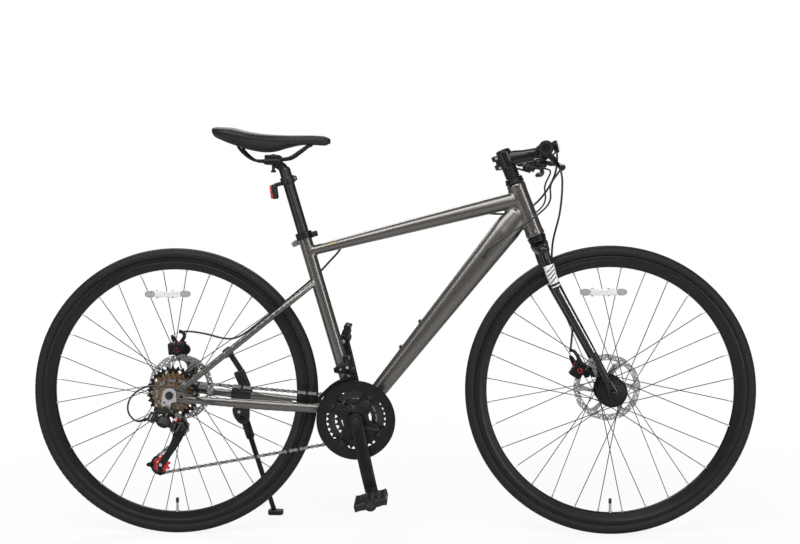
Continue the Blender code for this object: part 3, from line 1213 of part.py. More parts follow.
def make_controls():
    pull = unit(vec(0.66, 0, -0.75))
    for sign, hand in ((-1, "right"), (1, "left")):
        axis = unit(bar_axis(sign))
        start = bar(sign * GRIP_IN)
        length = (BAR_HALF - GRIP_IN) / axis[1] * sign
        profile = [(0.0, length), (0.0140, length), (GRIP_R, length - 0.003), (GRIP_R - 0.0012, length * 0.5),
                   (GRIP_R, 0.004), (0.0150, 0.0), (bore(BAR_R, 12), 0.0), (bore(BAR_R, 12), length - 0.0036),
                   (0.0, length - 0.0036)]
        finish(turned(profile, start, axis, 12), "grip_" + hand, RUBBER, HEAD)

        middle = bar(sign * CLAMP_Y)
        mount = ring(middle, 0.0155, bore(BAR_R, 12), -0.0085, 0.0085, axis, 12)
        hinge = middle + pull * 0.0300 + axis * 0.004
        hinge_axis = unit(np.cross(axis, pull)) * sign
        root = unit(np.cross(hinge_axis, axis))
        body = block(middle + pull * 0.0230, (0.026, 0.024, 0.014), pull, axis)
        body = cut(body, cylinder(middle - axis * 0.03, middle + axis * 0.03, BAR_R + GAP + 0.001, 12))
        gap_cut = block(hinge + pull * 0.004, (0.020, 0.060, 0.0064), pull, axis)
        neck_rings = cylinder(middle + pull * 0.0200 - axis * 0.008, middle + pull * 0.0200 - axis * 0.034, 0.0048, 6)
        body = cut(body, gap_cut)
        pod_at = bar(sign * POD_Y) + pull * 0.002 + vec(-0.012, 0, -0.026)
        pod = turned([(0.0, 0.0070), (0.0135, 0.0070), (0.0165, 0.0030), (0.0150, -0.0085), (0.0, -0.0085)], pod_at,
                     POD_UP, 10)
        bridge = block((pod_at + middle) / 2 + vec(0, 0, -0.004), (0.014, 0.026, 0.014), FORWARD, SIDEWAYS)
        bridge = cut(bridge, cylinder(middle - axis * 0.06, middle + axis * 0.06, BAR_R + GAP + 0.001, 12))
        stub = cylinder(pod_at + vec(0.008, 0, 0), pod_at + vec(0.026, -sign * 0.012, -0.004), 0.0038, 6)
        mount = union(mount, body, neck_rings)
        mount = union(mount, bridge)
        mount = union(mount, pod)
        mount = union(mount, stub)
        finish(flattened(mount), "lever_mount_" + hand, PLASTIC, HEAD)

        path = [hinge - axis * 0.006, hinge + axis * 0.010 + pull * 0.007, hinge + axis * 0.022 + pull * 0.017,
                hinge + axis * 0.055 + pull * 0.026,
                hinge + axis * 0.090 + pull * 0.022, hinge + axis * 0.104 + pull * 0.026]
        rings = []
        for point, wide, thick in zip(path, (0.0029, 0.0029, 0.0045, 0.0060, 0.0060, 0.0045),
                                      (0.0050, 0.0046, 0.0042, 0.0036, 0.0036, 0.0034)):
            rings.append([point + hinge_axis * wide * math.cos(a) + root * thick * math.sin(a)
                          for a in np.radians(np.arange(22.5, 360, 45))])
        blade = union(loft(rings), cylinder(hinge - hinge_axis * 0.0029, hinge + hinge_axis * 0.0029, 0.0056, 10))
        finish(blade, "brake_lever_" + hand, BLACK_METAL, hinge)

        knob = pod_at - POD_UP * (0.0085 + GAP)
        thumb = [(0.0070, -0.0050), (0.0070, 0.0060), (-0.0120, 0.0085), (-0.0300, 0.0130), (-0.0340, 0.0070), (-0.0180, -0.0040),
                 (-0.0060, -0.0070)]
        u = unit(np.cross(SIDEWAYS, POD_UP))
        blade = plate([[(x, z * sign) for x, z in thumb]], knob, u, SIDEWAYS, -0.0045, 0.0)
        finish(blade, "shift_lever_" + hand, PLASTIC, knob)


POD_UP = unit(vec(0.30, 0, 0.95))

# Seatpost, rails, saddle and rear light
POST_TOP = 0.6183
POST_LOW = SEAT_TUBE_TOP - 0.125
CLAMP = seat(0.6377, -0.0195)
RAIL_R = 0.0035


def rail_points():
    """The bent wire that carries the saddle, from the left tail round the nose to the right tail."""
    near = [(-0.0740, 0.0330, 0.0255), (-0.0560, 0.0290, 0.0080), (-0.0390, 0.0230, -0.0005), (-0.0170, 0.0220, -0.0010),
            (0.0180, 0.0220, 0.0020), (0.0420, 0.0215, 0.0055), (0.0660, 0.0180, 0.0210), (0.0820, 0.0130, 0.0325)]
    left = [CLAMP + vec(x, y, z) for x, y, z in near]
    nose = [CLAMP + vec(0.0900, 0.0060, 0.0350), CLAMP + vec(0.0900, -0.0060, 0.0350)]
    return left + nose + [p * vec(1, -1, 1) for p in reversed(left)]


def make_saddle():
    # Stations along the saddle: distance ahead of the clamp, half width, height of top, edge and underside
    rows = [(-0.1400, 0.030, 0.0765, 0.0730, 0.0690), (-0.1320, 0.054, 0.0790, 0.0690, 0.0570),
            (-0.1150, 0.069, 0.0785, 0.0640, 0.0460), (-0.0880, 0.0755, 0.0760, 0.0580, 0.0350),
            (-0.0560, 0.071, 0.0680, 0.0520, 0.0260), (-0.0260, 0.055, 0.0630, 0.0480, 0.0210),
            (0.0020, 0.039, 0.0610, 0.0460, 0.0220), (0.0340, 0.0285, 0.0595, 0.0450, 0.0300),
            (0.0680, 0.0235, 0.0590, 0.0450, 0.0365), (0.1000, 0.0215, 0.0585, 0.0450, 0.0360),
            (0.1240, 0.0185, 0.0560, 0.0450, 0.0350), (0.1360, 0.0085, 0.0500, 0.0450, 0.0410)]
    rings = []
    for x, half, top_z, edge_z, low_z in rows:
        dip = 0.0035 if -0.09 < x < 0.05 else 0.001
        shape = [(0.0, top_z - dip), (0.38, top_z - 0.0002), (0.72, top_z - (top_z - edge_z) * 0.20),
                 (0.94, top_z - (top_z - edge_z) * 0.62), (1.0, edge_z), (0.93, edge_z - (edge_z - low_z) * 0.55),
                 (0.80, low_z), (0.35, low_z + (edge_z - low_z) * 0.30)]
        right = [CLAMP + vec(x, -half * f, z) for f, z in shape[1:]]
        left = [CLAMP + vec(x, half * f, z) for f, z in reversed(shape[1:])]
        rings.append([CLAMP + vec(x, 0, shape[0][1])] + right + [CLAMP + vec(x, 0, shape[-1][1])] + left)
    made = loft(rings)
    route = smooth(rail_points(), 24)
    rails = rod(route, RAIL_R)
    made = cut(made, rod(route, RAIL_R + GAP))
    finish(rails, "saddle_rails", STEEL, CLAMP)
    finish(made, "saddle", SADDLE_BLACK, CLAMP)


def make_post():
    made = turned([(0.0, POST_TOP - 0.006), (POST_R - 0.002, POST_TOP - 0.006), (POST_R, POST_TOP - 0.012), (POST_R, POST_LOW), (0.0, POST_LOW)],
                  BB, SEAT_UP, 14)
    neck = tube([(seat(POST_TOP - 0.030), 0.0110, 0.0110), (seat(POST_TOP - 0.004, -0.003), 0.0120, 0.0115),
                 (CLAMP + vec(0.001, 0, -0.002), 0.0150, 0.0110)], 10)
    cradle = block(CLAMP + vec(0, 0, -0.0040), (0.042, 0.056, 0.012), FORWARD, SIDEWAYS)
    cap = block(CLAMP + vec(0, 0, 0.0070), (0.036, 0.056, 0.011), FORWARD, SIDEWAYS)
    bolt = cylinder(CLAMP + vec(0.0, 0, -0.0290), CLAMP + vec(0.0, 0, 0.0100), 0.0050, 8)
    made = union(made, neck)
    made = union(made, cradle, bolt)
    made = union(made, cap)
    made = cut(made, rod(smooth(rail_points(), 24), RAIL_R + GAP))
    finish(flattened(made), "seatpost", DARK_STEEL, seat(POST_LOW))


LIGHT_S = 0.5840


def make_light():
    made = ring(BB, POST_R + 0.0035, bore(POST_R, 12), LIGHT_S - 0.010, LIGHT_S + 0.008, SEAT_UP, 12)
    arm = block(seat(LIGHT_S - 0.004, -0.0240), (0.020, 0.014, 0.010), SEAT_FWD, SIDEWAYS, 0.001)
    housing = turned([(0.0, 0.0100), (0.0150, 0.0100), (0.0185, 0.0060), (0.0185, -0.0060), (0.0150, -0.0085), (0.0, -0.0085)],
                     seat(LIGHT_S - 0.0180, -0.0390), unit(vec(-0.97, 0, -0.12)), 10)
    made = union(made, arm)
    made = union(made, housing)
    finish(flattened(made), "rear_light", PLASTIC, seat(LIGHT_S))


# Outer cables
def pod(sign):
    return bar(sign * POD_Y) + unit(vec(0.66, 0, -0.75)) * 0.002 + vec(-0.012, 0, -0.026)


def neck_end(sign):
    pull = unit(vec(0.66, 0, -0.75))
    return bar(sign * CLAMP_Y) + pull * 0.0200 - unit(bar_axis(sign)) * 0.034


def cable_routes():
    """Every outer cable's points and radius."""
    inward = {sign: -unit(bar_axis(sign)) for sign in (-1, 1)}
    found = {}
    # Shift housings from the pods to the ports on the down tube
    for sign, name in ((-1, "shift_housing_right"), (1, "shift_housing_left")):
        way = unit(vec(0.018, -sign * 0.012, -0.004))
        start = pod(sign) + vec(0.026, -sign * 0.012, -0.004) + way * GAP
        inside = [down(f, above, sign * y) for f, above, y in SHIFT_PORT]
        route = [start, start + way * 0.030, head(0.035, 0.0680, sign * 0.060), head(-0.010, 0.0420, sign * 0.048),
                 inside[0] + (inside[0] - inside[1]) * 1.4] + inside
        found[name] = (smooth(route, 14), SHIFT_R)
    # Brake housing from the right lever past the head tube into the top tube
    start = neck_end(-1) + inward[-1] * GAP
    route = [start, start + inward[-1] * 0.040, head(0.100, 0.1150, -0.020), head(0.050, 0.0950, 0.020),
             head(0.010, 0.0450, 0.0420), head(-0.004, -0.0100, 0.0350),
             BRAKE_PORT[0] + (BRAKE_PORT[0] - BRAKE_PORT[1]) * 0.6] + BRAKE_PORT
    found["brake_housing_right"] = (smooth(route, 17), HOUSING_R)
    # Front brake housing, all of it on the steered side
    start = neck_end(1) + inward[1] * GAP
    arm_top = FRONT_CALIPER + vec(-0.0195, FRONT_ARM_Y, 0.0330)
    route = [start, start + inward[1] * 0.040, head(0.060, 0.1150, 0.020), head(-0.030, 0.0800, 0.030),
             head(-0.1050, 0.0330, 0.0560), head(-0.1900, 0.0080, 0.0690), front(-0.0790, 0.1700, 0.0730),
             arm_top + vec(0.006, 0.006, 0.045), arm_top + vec(0.0010, 0, 0.008)]
    found["front_brake_housing"] = (smooth(route, 16), HOUSING_R)
    # Rear brake housing from the top tube to the rear caliper
    line = STAY_END - STAY_TOP
    target = REAR_CALIPER + vec(-0.0195, REAR_ARM_Y, 0.0330)
    route = BRAKE_EXIT + [seat(0.350, 0.006, 0.0270), STAY_TOP + line * 0.17 + vec(0, 0.048, 0.012),
                          STAY_TOP + line * 0.45 + vec(0, 0.060, 0.012), STAY_TOP + line * 0.68 + vec(0, 0.0730, 0.022),
                          rear(0.0560, 0.1280, 0.0760), target + vec(0.034, 0, 0.010), target + vec(0.020, 0, 0.006)]
    found["rear_brake_housing"] = (smooth(route, 18), HOUSING_R)
    # Rear shift housing from the chainstay round to the derailleur
    away = unit(BARREL_END - BARREL_ROOT)
    route = SHIFT_EXIT + [rear(0.0560, 0.0020, -0.0880), rear(0.0200, 0.0190, -0.0925), rear(-0.0200, 0.0260, -0.0935),
                          rear(-0.0600, 0.0200, -0.0900), rear(-0.0900, -0.0060, -0.0880),
                          rear(-0.0940, -0.0380, -0.0870), BARREL_END + away * 0.012, BARREL_END + away * 0.0014]
    found["rear_shift_housing"] = (smooth(route, 18), SHIFT_R)
    return found


def make_cables():
    for name, (points, radius) in CABLES.items():
        finish(rod(points, radius), name, RUBBER)


CABLES = cable_routes()
make_frame()
make_headset()
make_bottom_bracket()
make_collar()
make_front_derailleur()
make_calipers()
make_wheels()
make_axles()
make_kickstand()
make_chain()
make_cassette()
make_chainrings()
make_cranks()
make_pedals()
make_derailleur()
make_fork()
make_stem()
make_bar()
make_controls()
make_saddle()
make_post()
make_light()
make_cables()
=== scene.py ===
import json
import math

import bmesh
import bpy
import numpy as np
from mathutils import Matrix, Vector
from mathutils.bvhtree import BVHTree

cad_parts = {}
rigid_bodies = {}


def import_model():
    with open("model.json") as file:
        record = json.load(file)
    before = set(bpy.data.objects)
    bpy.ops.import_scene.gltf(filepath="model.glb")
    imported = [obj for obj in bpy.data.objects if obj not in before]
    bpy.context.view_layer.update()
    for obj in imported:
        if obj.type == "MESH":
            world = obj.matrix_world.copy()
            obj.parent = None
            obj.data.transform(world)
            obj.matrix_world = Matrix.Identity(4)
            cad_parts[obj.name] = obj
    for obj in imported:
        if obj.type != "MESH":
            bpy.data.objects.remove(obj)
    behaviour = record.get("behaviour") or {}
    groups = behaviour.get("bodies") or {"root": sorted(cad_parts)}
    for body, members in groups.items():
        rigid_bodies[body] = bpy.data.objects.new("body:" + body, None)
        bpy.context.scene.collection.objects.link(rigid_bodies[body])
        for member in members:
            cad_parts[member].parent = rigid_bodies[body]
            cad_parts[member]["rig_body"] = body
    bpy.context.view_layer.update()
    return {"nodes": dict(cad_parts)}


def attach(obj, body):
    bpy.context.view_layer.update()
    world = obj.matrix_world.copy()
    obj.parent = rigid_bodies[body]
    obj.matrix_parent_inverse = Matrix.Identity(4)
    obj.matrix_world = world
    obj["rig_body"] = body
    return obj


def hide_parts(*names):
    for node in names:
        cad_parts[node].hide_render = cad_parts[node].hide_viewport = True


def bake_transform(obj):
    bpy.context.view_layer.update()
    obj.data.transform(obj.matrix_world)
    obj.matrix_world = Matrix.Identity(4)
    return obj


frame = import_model()

# Driving dimensions in metres, the same as those of the solid parts
GAP = 0.0003
WHEEL_R = 0.341
RIM_R = 0.317
RIM_INNER = 0.29
RIM_HALF = 0.0115
WHEELBASE = 1.0308
HEAD_HALF = 0.067
FORK_DROP = 0.05
FORK_PLATE = 0.006
REAR_DROP = 0.0675
PLATE = 0.005
AXLE_R = 0.0048
STEERER_R = 0.0143
SEAT_TUBE_R = 0.0159
SEAT_TUBE_TOP = 0.4509
POST_R = 0.0136
SHELL_R = 0.02
SHELL_HALF = 0.034
SPINDLE_R = 0.0085
PITCH = 0.0127
RINGS = (24, 34, 42)
RING_Y = (-0.04, -0.048, -0.056)
SPROCKETS = (30, 24, 22, 20, 18, 16, 14)
SPROCKET_Y = -0.0325
SPROCKET_STEP = 0.0048
DRIVEN = 5
PULLEY_TEETH = 10
CHAIN_LINKS = 108
CRANK = 0.17
CRANK_TILT = 12.9
GUARD_R = 0.092
GUARD_Y = -0.0655
ROTOR_R = 0.08
FRONT_ROTOR_Y = 0.04
REAR_ROTOR_Y = 0.0525
BAR_R = 0.0111
BAR_HALF = 0.3
GRIP_R = 0.016
GRIP_IN = 0.174
CLAMP_Y = 0.15
POD_Y = 0.128
HOUSING_R = 0.0025
SHIFT_R = 0.0021
CUP = 0.0142
STEM_LOW = 0.1065
STEM_HIGH = 0.1475
RAIL_R = 0.0035
POST_TOP = 0.6183
LIGHT_S = 0.584


def vec(x, y, z):
    return np.array([x, y, z], float)


def unit(v):
    v = np.array(v, float)
    return v / np.linalg.norm(v)


def distance(a, b):
    return float(np.linalg.norm(np.array(b) - np.array(a)))


def flattened(point):
    """The point's x and z."""
    return np.array([point[0], point[2]])


def polar(radius, turn):
    """Flat point at a radius and an angle in degrees."""
    return radius * math.cos(math.radians(turn)), radius * math.sin(math.radians(turn))


def spun(centre, radius, turn, y=0.0):
    """Point round an axle at a radius and an angle in degrees, y along the axle."""
    x, z = polar(radius, turn)
    return centre + vec(x, y, z)


def sided(sign, *ends):
    """Two distances taken to the side that the sign gives, the lower one first."""
    return sorted(sign * end for end in ends)


SIDEWAYS = vec(0, 1, 0)
FORWARD = vec(1, 0, 0)
UPWARD = vec(0, 0, 1)
REAR = vec(-WHEELBASE / 2, 0, WHEEL_R)
FRONT = vec(WHEELBASE / 2, 0, WHEEL_R)
BB = REAR + vec(0.4337, 0, -0.0593)
SEAT_ANGLE = math.radians(73.92)
HEAD_ANGLE = math.radians(69.0)
SEAT_UP = vec(-math.cos(SEAT_ANGLE), 0, math.sin(SEAT_ANGLE))
SEAT_FWD = vec(SEAT_UP[2], 0, -SEAT_UP[0])
HEAD_UP = vec(-math.cos(HEAD_ANGLE), 0, math.sin(HEAD_ANGLE))
HEAD_FWD = vec(HEAD_UP[2], 0, -HEAD_UP[0])
HEAD = FRONT - HEAD_FWD * 0.0298 + HEAD_UP * 0.4679


def seat(s, t=0.0, y=0.0):
    """Point s up the seat tube's axis, t in front of it."""
    return BB + SEAT_UP * s + SEAT_FWD * t + vec(0, y, 0)


def head(s, t=0.0, y=0.0):
    """Point s up the steering axis from the head tube's middle, t in front of it."""
    return HEAD + HEAD_UP * s + HEAD_FWD * t + vec(0, y, 0)


def rear(x, z, y=0.0):
    return REAR + vec(x, y, z)


def front(x, z, y=0.0):
    return FRONT + vec(x, y, z)


def stay(f, dz, y):
    """Point at fraction f from the bottom bracket to the rear axle, raised by dz."""
    return BB + (REAR - BB) * f + vec(0, y, dz)


STAY_TOP = seat(0.331, -0.009)
STAY_END = rear(0.0302, 0.0163)
DOWN_LOW = BB + vec(0.0062, 0, 0.0033)
DOWN_HIGH = head(-0.0018, -0.0157)
DOWN_DIR = unit(DOWN_HIGH - DOWN_LOW)
DOWN_UP = vec(-DOWN_DIR[2], 0, DOWN_DIR[0])
TOP_LOW = seat(0.4062)
TOP_HIGH = head(0.0313, -0.0093)
TOP_DIR = unit(TOP_HIGH - TOP_LOW)
TOP_UP = vec(-TOP_DIR[2], 0, TOP_DIR[0])


def down(f, above=0.0, y=0.0):
    return DOWN_LOW + (DOWN_HIGH - DOWN_LOW) * f + DOWN_UP * above + vec(0, y, 0)


def down_half(f):
    return 0.0175 + 0.015 * min(f, 0.93)


def top(f, above=0.0, y=0.0):
    return TOP_LOW + (TOP_HIGH - TOP_LOW) * f + TOP_UP * above + vec(0, y, 0)


# Shapes
def ready(work):
    """A finished mesh with its faces outward."""
    bmesh.ops.recalc_face_normals(work, faces=work.faces)
    mesh = bpy.data.meshes.new("shape")
    work.to_mesh(mesh)
    work.free()
    return mesh


def edged(work, width, segments=2, angle=0.6):
    """Rounds every edge that turns by more than the angle."""
    sharp = [e for e in work.edges if e.is_manifold and e.calc_face_angle(0.0) > angle]
    bmesh.ops.bevel(work, geom=sharp, offset=width, offset_type="OFFSET", segments=segments, profile=0.5,
        affect="EDGES", clamp_overlap=True, material=-1)


def frame_of(at, u, v):
    w = np.cross(u, v)
    return Matrix([[u[i], v[i], w[i], at[i]] for i in range(3)] + [[0, 0, 0, 1]])


def along(at, axis):
    turn = Vector((0, 0, 1)).rotation_difference(Vector(axis))
    return Matrix.Translation(Vector(at)) @ turn.to_matrix().to_4x4()


def turned(profile, at, axis=SIDEWAYS, steps=48, bevel=0.0):
    """A shape of revolution from (radius, height) points; off the axis the points close on themselves."""
    work = bmesh.new()
    verts = [work.verts.new((r, 0.0, h)) for r, h in profile]
    edges = [work.edges.new(pair) for pair in zip(verts, verts[1:])]
    if min(r for r, h in profile) > 1e-6:
        edges.append(work.edges.new((verts[-1], verts[0])))
    bmesh.ops.spin(work, geom=verts + edges, axis=(0, 0, 1), cent=(0, 0, 0), steps=steps, angle=2 * math.pi,
        use_merge=True)
    bmesh.ops.remove_doubles(work, verts=work.verts, dist=1e-6)
    bmesh.ops.dissolve_degenerate(work, edges=work.edges, dist=1e-6)
    if bevel:
        edged(work, bevel)
    bmesh.ops.transform(work, matrix=along(at, unit(axis)), verts=work.verts)
    return ready(work)


def cylinder(start, end, radius, steps=24, bevel=0.0004):
    length = distance(start, end)
    profile = [(0, 0), (radius, 0), (radius, length), (0, length)]
    return turned(profile, start, np.array(end) - np.array(start), steps, bevel)


def across(at, radius, low, high, steps=24, bevel=0.0004):
    return cylinder(vec(at[0], low, at[2]), vec(at[0], high, at[2]), radius, steps, bevel)


def ring(at, outer, inner, low, high, axis=SIDEWAYS, steps=48, bevel=0.0004):
    return turned([(outer, high), (outer, low), (inner, low), (inner, high)], at, axis, steps, bevel)


def block(at, size, u=FORWARD, v=SIDEWAYS, bevel=0.001, segments=3):
    work = bmesh.new()
    bmesh.ops.create_cube(work, size=1.0)
    bmesh.ops.scale(work, vec=size, verts=work.verts)
    edged(work, bevel, segments)
    bmesh.ops.transform(work, matrix=frame_of(at, unit(u), unit(v)), verts=work.verts)
    return ready(work)


def ball(at, size, u=FORWARD, v=SIDEWAYS, steps=20):
    work = bmesh.new()
    bmesh.ops.create_uvsphere(work, u_segments=steps, v_segments=steps // 2, radius=1.0)
    bmesh.ops.scale(work, vec=size, verts=work.verts)
    bmesh.ops.transform(work, matrix=frame_of(at, unit(u), unit(v)), verts=work.verts)
    return ready(work)


def from_curve(curve, matrix):
    made = bpy.data.objects.new("curve", curve)
    bpy.context.scene.collection.objects.link(made)
    bpy.context.view_layer.update()
    mesh = bpy.data.meshes.new_from_object(made.evaluated_get(bpy.context.evaluated_depsgraph_get()))
    bpy.data.objects.remove(made)
    work = bmesh.new()
    work.from_mesh(mesh)
    bmesh.ops.remove_doubles(work, verts=work.verts, dist=2e-6)
    bmesh.ops.transform(work, matrix=matrix, verts=work.verts)
    return ready(work)


def plate(outlines, at, u, v, low, high, soft=0.0004):
    """Flat outlines in the u and v directions, from low to high along their normal, with softened rims."""
    curve = bpy.data.curves.new("plate", "CURVE")
    curve.dimensions = "2D"
    curve.fill_mode = "BOTH"
    curve.extrude = (high - low) / 2 - soft
    curve.bevel_depth = soft
    curve.bevel_resolution = 0
    curve.offset = -soft
    for outline in outlines:
        spline = curve.splines.new("POLY")
        spline.points.add(len(outline) - 1)
        for point, (a, b) in zip(spline.points, outline):
            point.co = (a, b, 0, 1)
        spline.use_cyclic_u = True
    u = unit(u)
    v = unit(v)
    return from_curve(curve, frame_of(np.array(at) + np.cross(u, v) * (low + high) / 2, u, v))


def side(outlines, at, low, high, soft=0.0004):
    return plate(outlines, vec(at[0], 0, at[2]), FORWARD, UPWARD, -high, -low, soft)


def rod(points, radius, level=3):
    curve = bpy.data.curves.new("rod", "CURVE")
    curve.dimensions = "3D"
    curve.bevel_depth = radius
    curve.bevel_resolution = level
    curve.use_fill_caps = True
    spline = curve.splines.new("POLY")
    spline.points.add(len(points) - 1)
    for place, point in zip(spline.points, points):
        place.co = (point[0], point[1], point[2], 1)
    return from_curve(curve, Matrix.Identity(4))


def smooth(route, count):
    """Evenly spread rows on a soft curve through the route's rows; the first three numbers are the place."""
    route = [np.array(p, float) for p in route]
    ends = [2 * route[0] - route[1]] + route + [2 * route[-1] - route[-2]]
    dense = []
    for k in range(1, len(ends) - 2):
        p0, p1, p2, p3 = ends[k - 1:k + 3]
        for t in np.linspace(0, 1, 24, endpoint=False):
            dense.append(0.5 * (2 * p1 + (p2 - p0) * t + (2 * p0 - 5 * p1 + 4 * p2 - p3) * t ** 2
                + (3 * p1 - p0 - 3 * p2 + p3) * t ** 3))
    dense.append(ends[-2])
    dense = np.array(dense)
    run = np.concatenate([[0], np.cumsum(np.linalg.norm(np.diff(dense[:, :3], axis=0), axis=1))])
    marks = np.linspace(0, run[-1], count)
    return np.stack([np.interp(marks, run, dense[:, axis]) for axis in range(dense.shape[1])], axis=1)


def sweep(stations, rings=0, sides=24, square=1.0, across_dir=SIDEWAYS, bevel=0.0):
    """A closed tube through (point, half width, half height) stations."""
    rows = [list(p) + [a, b] for p, a, b in stations]
    rows = np.array(smooth(rows, rings) if rings else rows, float)
    work = bmesh.new()
    bmesh.ops.create_circle(work, cap_ends=False, radius=1.0, segments=sides)
    for v in work.verts:
        v.co = Vector([math.copysign(abs(c) ** square, c) for c in v.co])
    edges = list(work.edges)
    verts = list(work.verts)
    first = edges
    last = Matrix.Identity(4)
    for k, row in enumerate(rows):
        way = unit(rows[min(k + 1, len(rows) - 1), :3] - rows[max(k - 1, 0), :3])
        y = unit(across_dir - way * np.dot(across_dir, way))
        n = np.cross(way, y)
        place = Matrix([[y[i] * row[3], n[i] * row[4], way[i], row[i]] for i in range(3)] + [[0, 0, 0, 1]])
        if k:
            made = bmesh.ops.extrude_edge_only(work, edges=edges)["geom"]
            verts = [g for g in made if isinstance(g, bmesh.types.BMVert)]
            edges = [g for g in made if isinstance(g, bmesh.types.BMEdge)]
        bmesh.ops.transform(work, matrix=place @ last.inverted(), verts=verts)
        last = place
    for loop in (first, edges):
        bmesh.ops.edgeloop_fill(work, edges=loop)
    if bevel:
        edged(work, bevel, 3)
    return ready(work)


def placed(shape, matrices):
    """Copies of a shape at each matrix."""
    made = []
    for matrix in matrices:
        copy = shape.copy()
        copy.transform(matrix)
        made.append(copy)
    return made


def fused(shapes, voxel, rounds, factor=0.5):
    """One skin over closed shapes, with soft fillets where they meet."""
    source = gathered(shapes)
    tree = BVHTree.FromPolygons([v.co.copy() for v in source.vertices],
        [tuple(p.vertices) for p in source.polygons])
    made = bpy.data.objects.new("fused", source)
    bpy.context.scene.collection.objects.link(made)
    step = made.modifiers.new("skin", "REMESH")
    step.mode = "VOXEL"
    step.voxel_size = voxel
    bpy.context.view_layer.update()
    mesh = bpy.data.meshes.new_from_object(made.evaluated_get(bpy.context.evaluated_depsgraph_get()))
    bpy.data.objects.remove(made)
    work = bmesh.new()
    work.from_mesh(mesh)
    soften(work, rounds, factor)
    # Away from the fillets the skin goes back to the true surface, which takes out the ripples
    for v in work.verts:
        spot, _, _, away = tree.find_nearest(v.co)
        v.co = v.co.lerp(spot, min(max((0.0009 - away) / 0.0006, 0.0), 1.0))
    soften(work, 3, factor)
    return ready(work)


def soften(work, rounds, factor):
    for _ in range(rounds):
        bmesh.ops.smooth_vert(work, verts=work.verts, factor=factor, use_axis_x=True, use_axis_y=True,
            use_axis_z=True)


def gathered(shapes):
    work = bmesh.new()
    for shape in shapes:
        work.from_mesh(shape)
    mesh = bpy.data.meshes.new("gathered")
    work.to_mesh(mesh)
    work.free()
    return mesh


def piece(name, shapes, look, *nodes, body=None, angle=34, bend=None):
    """Joins shapes into one piece of the bicycle, on its own or in place of solid nodes."""
    mesh = gathered(shapes)
    mesh.name = name
    mesh.materials.append(look.material)
    mesh.shade_smooth()
    mesh.set_sharp_from_angle(angle=math.radians(angle))
    made = bpy.data.objects.new(name, mesh)
    bpy.context.scene.collection.objects.link(made)
    if nodes:
        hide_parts(*nodes)
    if bend:
        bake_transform(made)
    else:
        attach(made, body or frame["nodes"][nodes[0]]["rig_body"])
    return made


# Flat outlines
def arc(x, z, radius, start, end, count):
    return [(x + a, z + b) for a, b in (polar(radius, turn) for turn in np.linspace(start, end, count))]


def disc(x, z, radius, count=40, start=0.0):
    return arc(x, z, radius, start, start + 360 - 360 / count, count)


def capsule(p, q, rp, rq, count=14):
    way = (q[0] - p[0], q[1] - p[1])
    turn = math.degrees(math.atan2(way[1], way[0]))
    lean = math.degrees(math.acos((rp - rq) / math.hypot(*way)))
    return (arc(p[0], p[1], rp, turn + lean, turn + 360 - lean, count)
        + arc(q[0], q[1], rq, turn - lean, turn + lean, count))


def rounded(outline, times=2):
    """The outline with its corners cut away in turns."""
    points = [np.array(p, float) for p in outline]
    for _ in range(times):
        points = [q for a, b in zip(points, points[1:] + points[:1])
            for q in (a * 0.75 + b * 0.25, a * 0.25 + b * 0.75)]
    return [tuple(p) for p in points]


def pitch_radius(teeth):
    return PITCH / (2 * math.sin(math.pi / teeth))


def gear(teeth, phase, root_depth=0.004, tip_height=0.0028):
    """Outline of a chain wheel with a round root at the phase angle."""
    radius = pitch_radius(teeth)
    step = 2 * math.pi / teeth
    out = []
    for k in range(teeth):
        for f, r in ((-0.16, radius - root_depth * 0.72), (0.0, radius - root_depth),
                (0.16, radius - root_depth * 0.72), (0.3, radius - 0.0002),
                (0.42, radius + tip_height * 0.8), (0.5, radius + tip_height),
                (0.58, radius + tip_height * 0.8), (0.7, radius - 0.0002)):
            a = phase + (k + f) * step
            out.append((r * math.cos(a), r * math.sin(a)))
    return out


def fluted(radius, flutes, depth):
    """Outline of a knob with round flutes, six points to each."""
    return [polar(radius - depth * (0.5 + 0.5 * math.cos(math.radians(flutes * turn))), turn)
        for turn in np.arange(0, 360, 360 / (flutes * 6))]


def bolt(at, axis, radius, height, socket=0.5):
    """A round head with a six-sided socket, its seat at the given point."""
    axis = unit(axis)
    u = unit(np.cross(axis, vec(0.3, 0.2, 0.93)))
    v = np.cross(axis, u)
    rim = plate([disc(0, 0, radius, 24), disc(0, 0, radius * socket, 6)], at, u, v, 0, height,
        radius * 0.14)
    floor = plate([disc(0, 0, radius * 0.9, 18)], at, u, v, 0, height * 0.45, 0.0001)
    return [rim, floor]


# Finishes
class Signal:
    """A number in a material; arithmetic on it adds the material's maths."""

    def __init__(self, look, socket):
        self.look = look
        self.socket = socket

    def maths(self, operation, first, second):
        made = self.look.node("ShaderNodeMath", {"operation": operation}, {0: first, 1: second})
        return Signal(self.look, made.outputs[0])

    def __add__(self, other):
        return self.maths("ADD", self, other)

    def __radd__(self, other):
        return self.maths("ADD", other, self)

    def __sub__(self, other):
        return self.maths("SUBTRACT", self, other)

    def __mul__(self, other):
        return self.maths("MULTIPLY", self, other)


class Nodes:
    """Adds nodes to a tree, with their settings and with values or links at their inputs."""

    def __init__(self, tree):
        self.tree = tree

    def node(self, kind, settings=None, values=None):
        made = self.tree.nodes.new(kind)
        for key, value in (settings or {}).items():
            setattr(made, key, value)
        self.fill(made, values or {})
        return made

    def fill(self, made, values):
        for key, value in values.items():
            value = value.socket if isinstance(value, Signal) else value
            if isinstance(value, bpy.types.NodeSocket):
                self.tree.links.new(value, made.inputs[key])
            else:
                made.inputs[key].default_value = value

    def mixed(self, factor, first, second, way="MIX"):
        settings = {"data_type": "RGBA", "blend_type": way}
        return self.node("ShaderNodeMix", settings, {0: factor, 6: first, 7: second}).outputs[2]


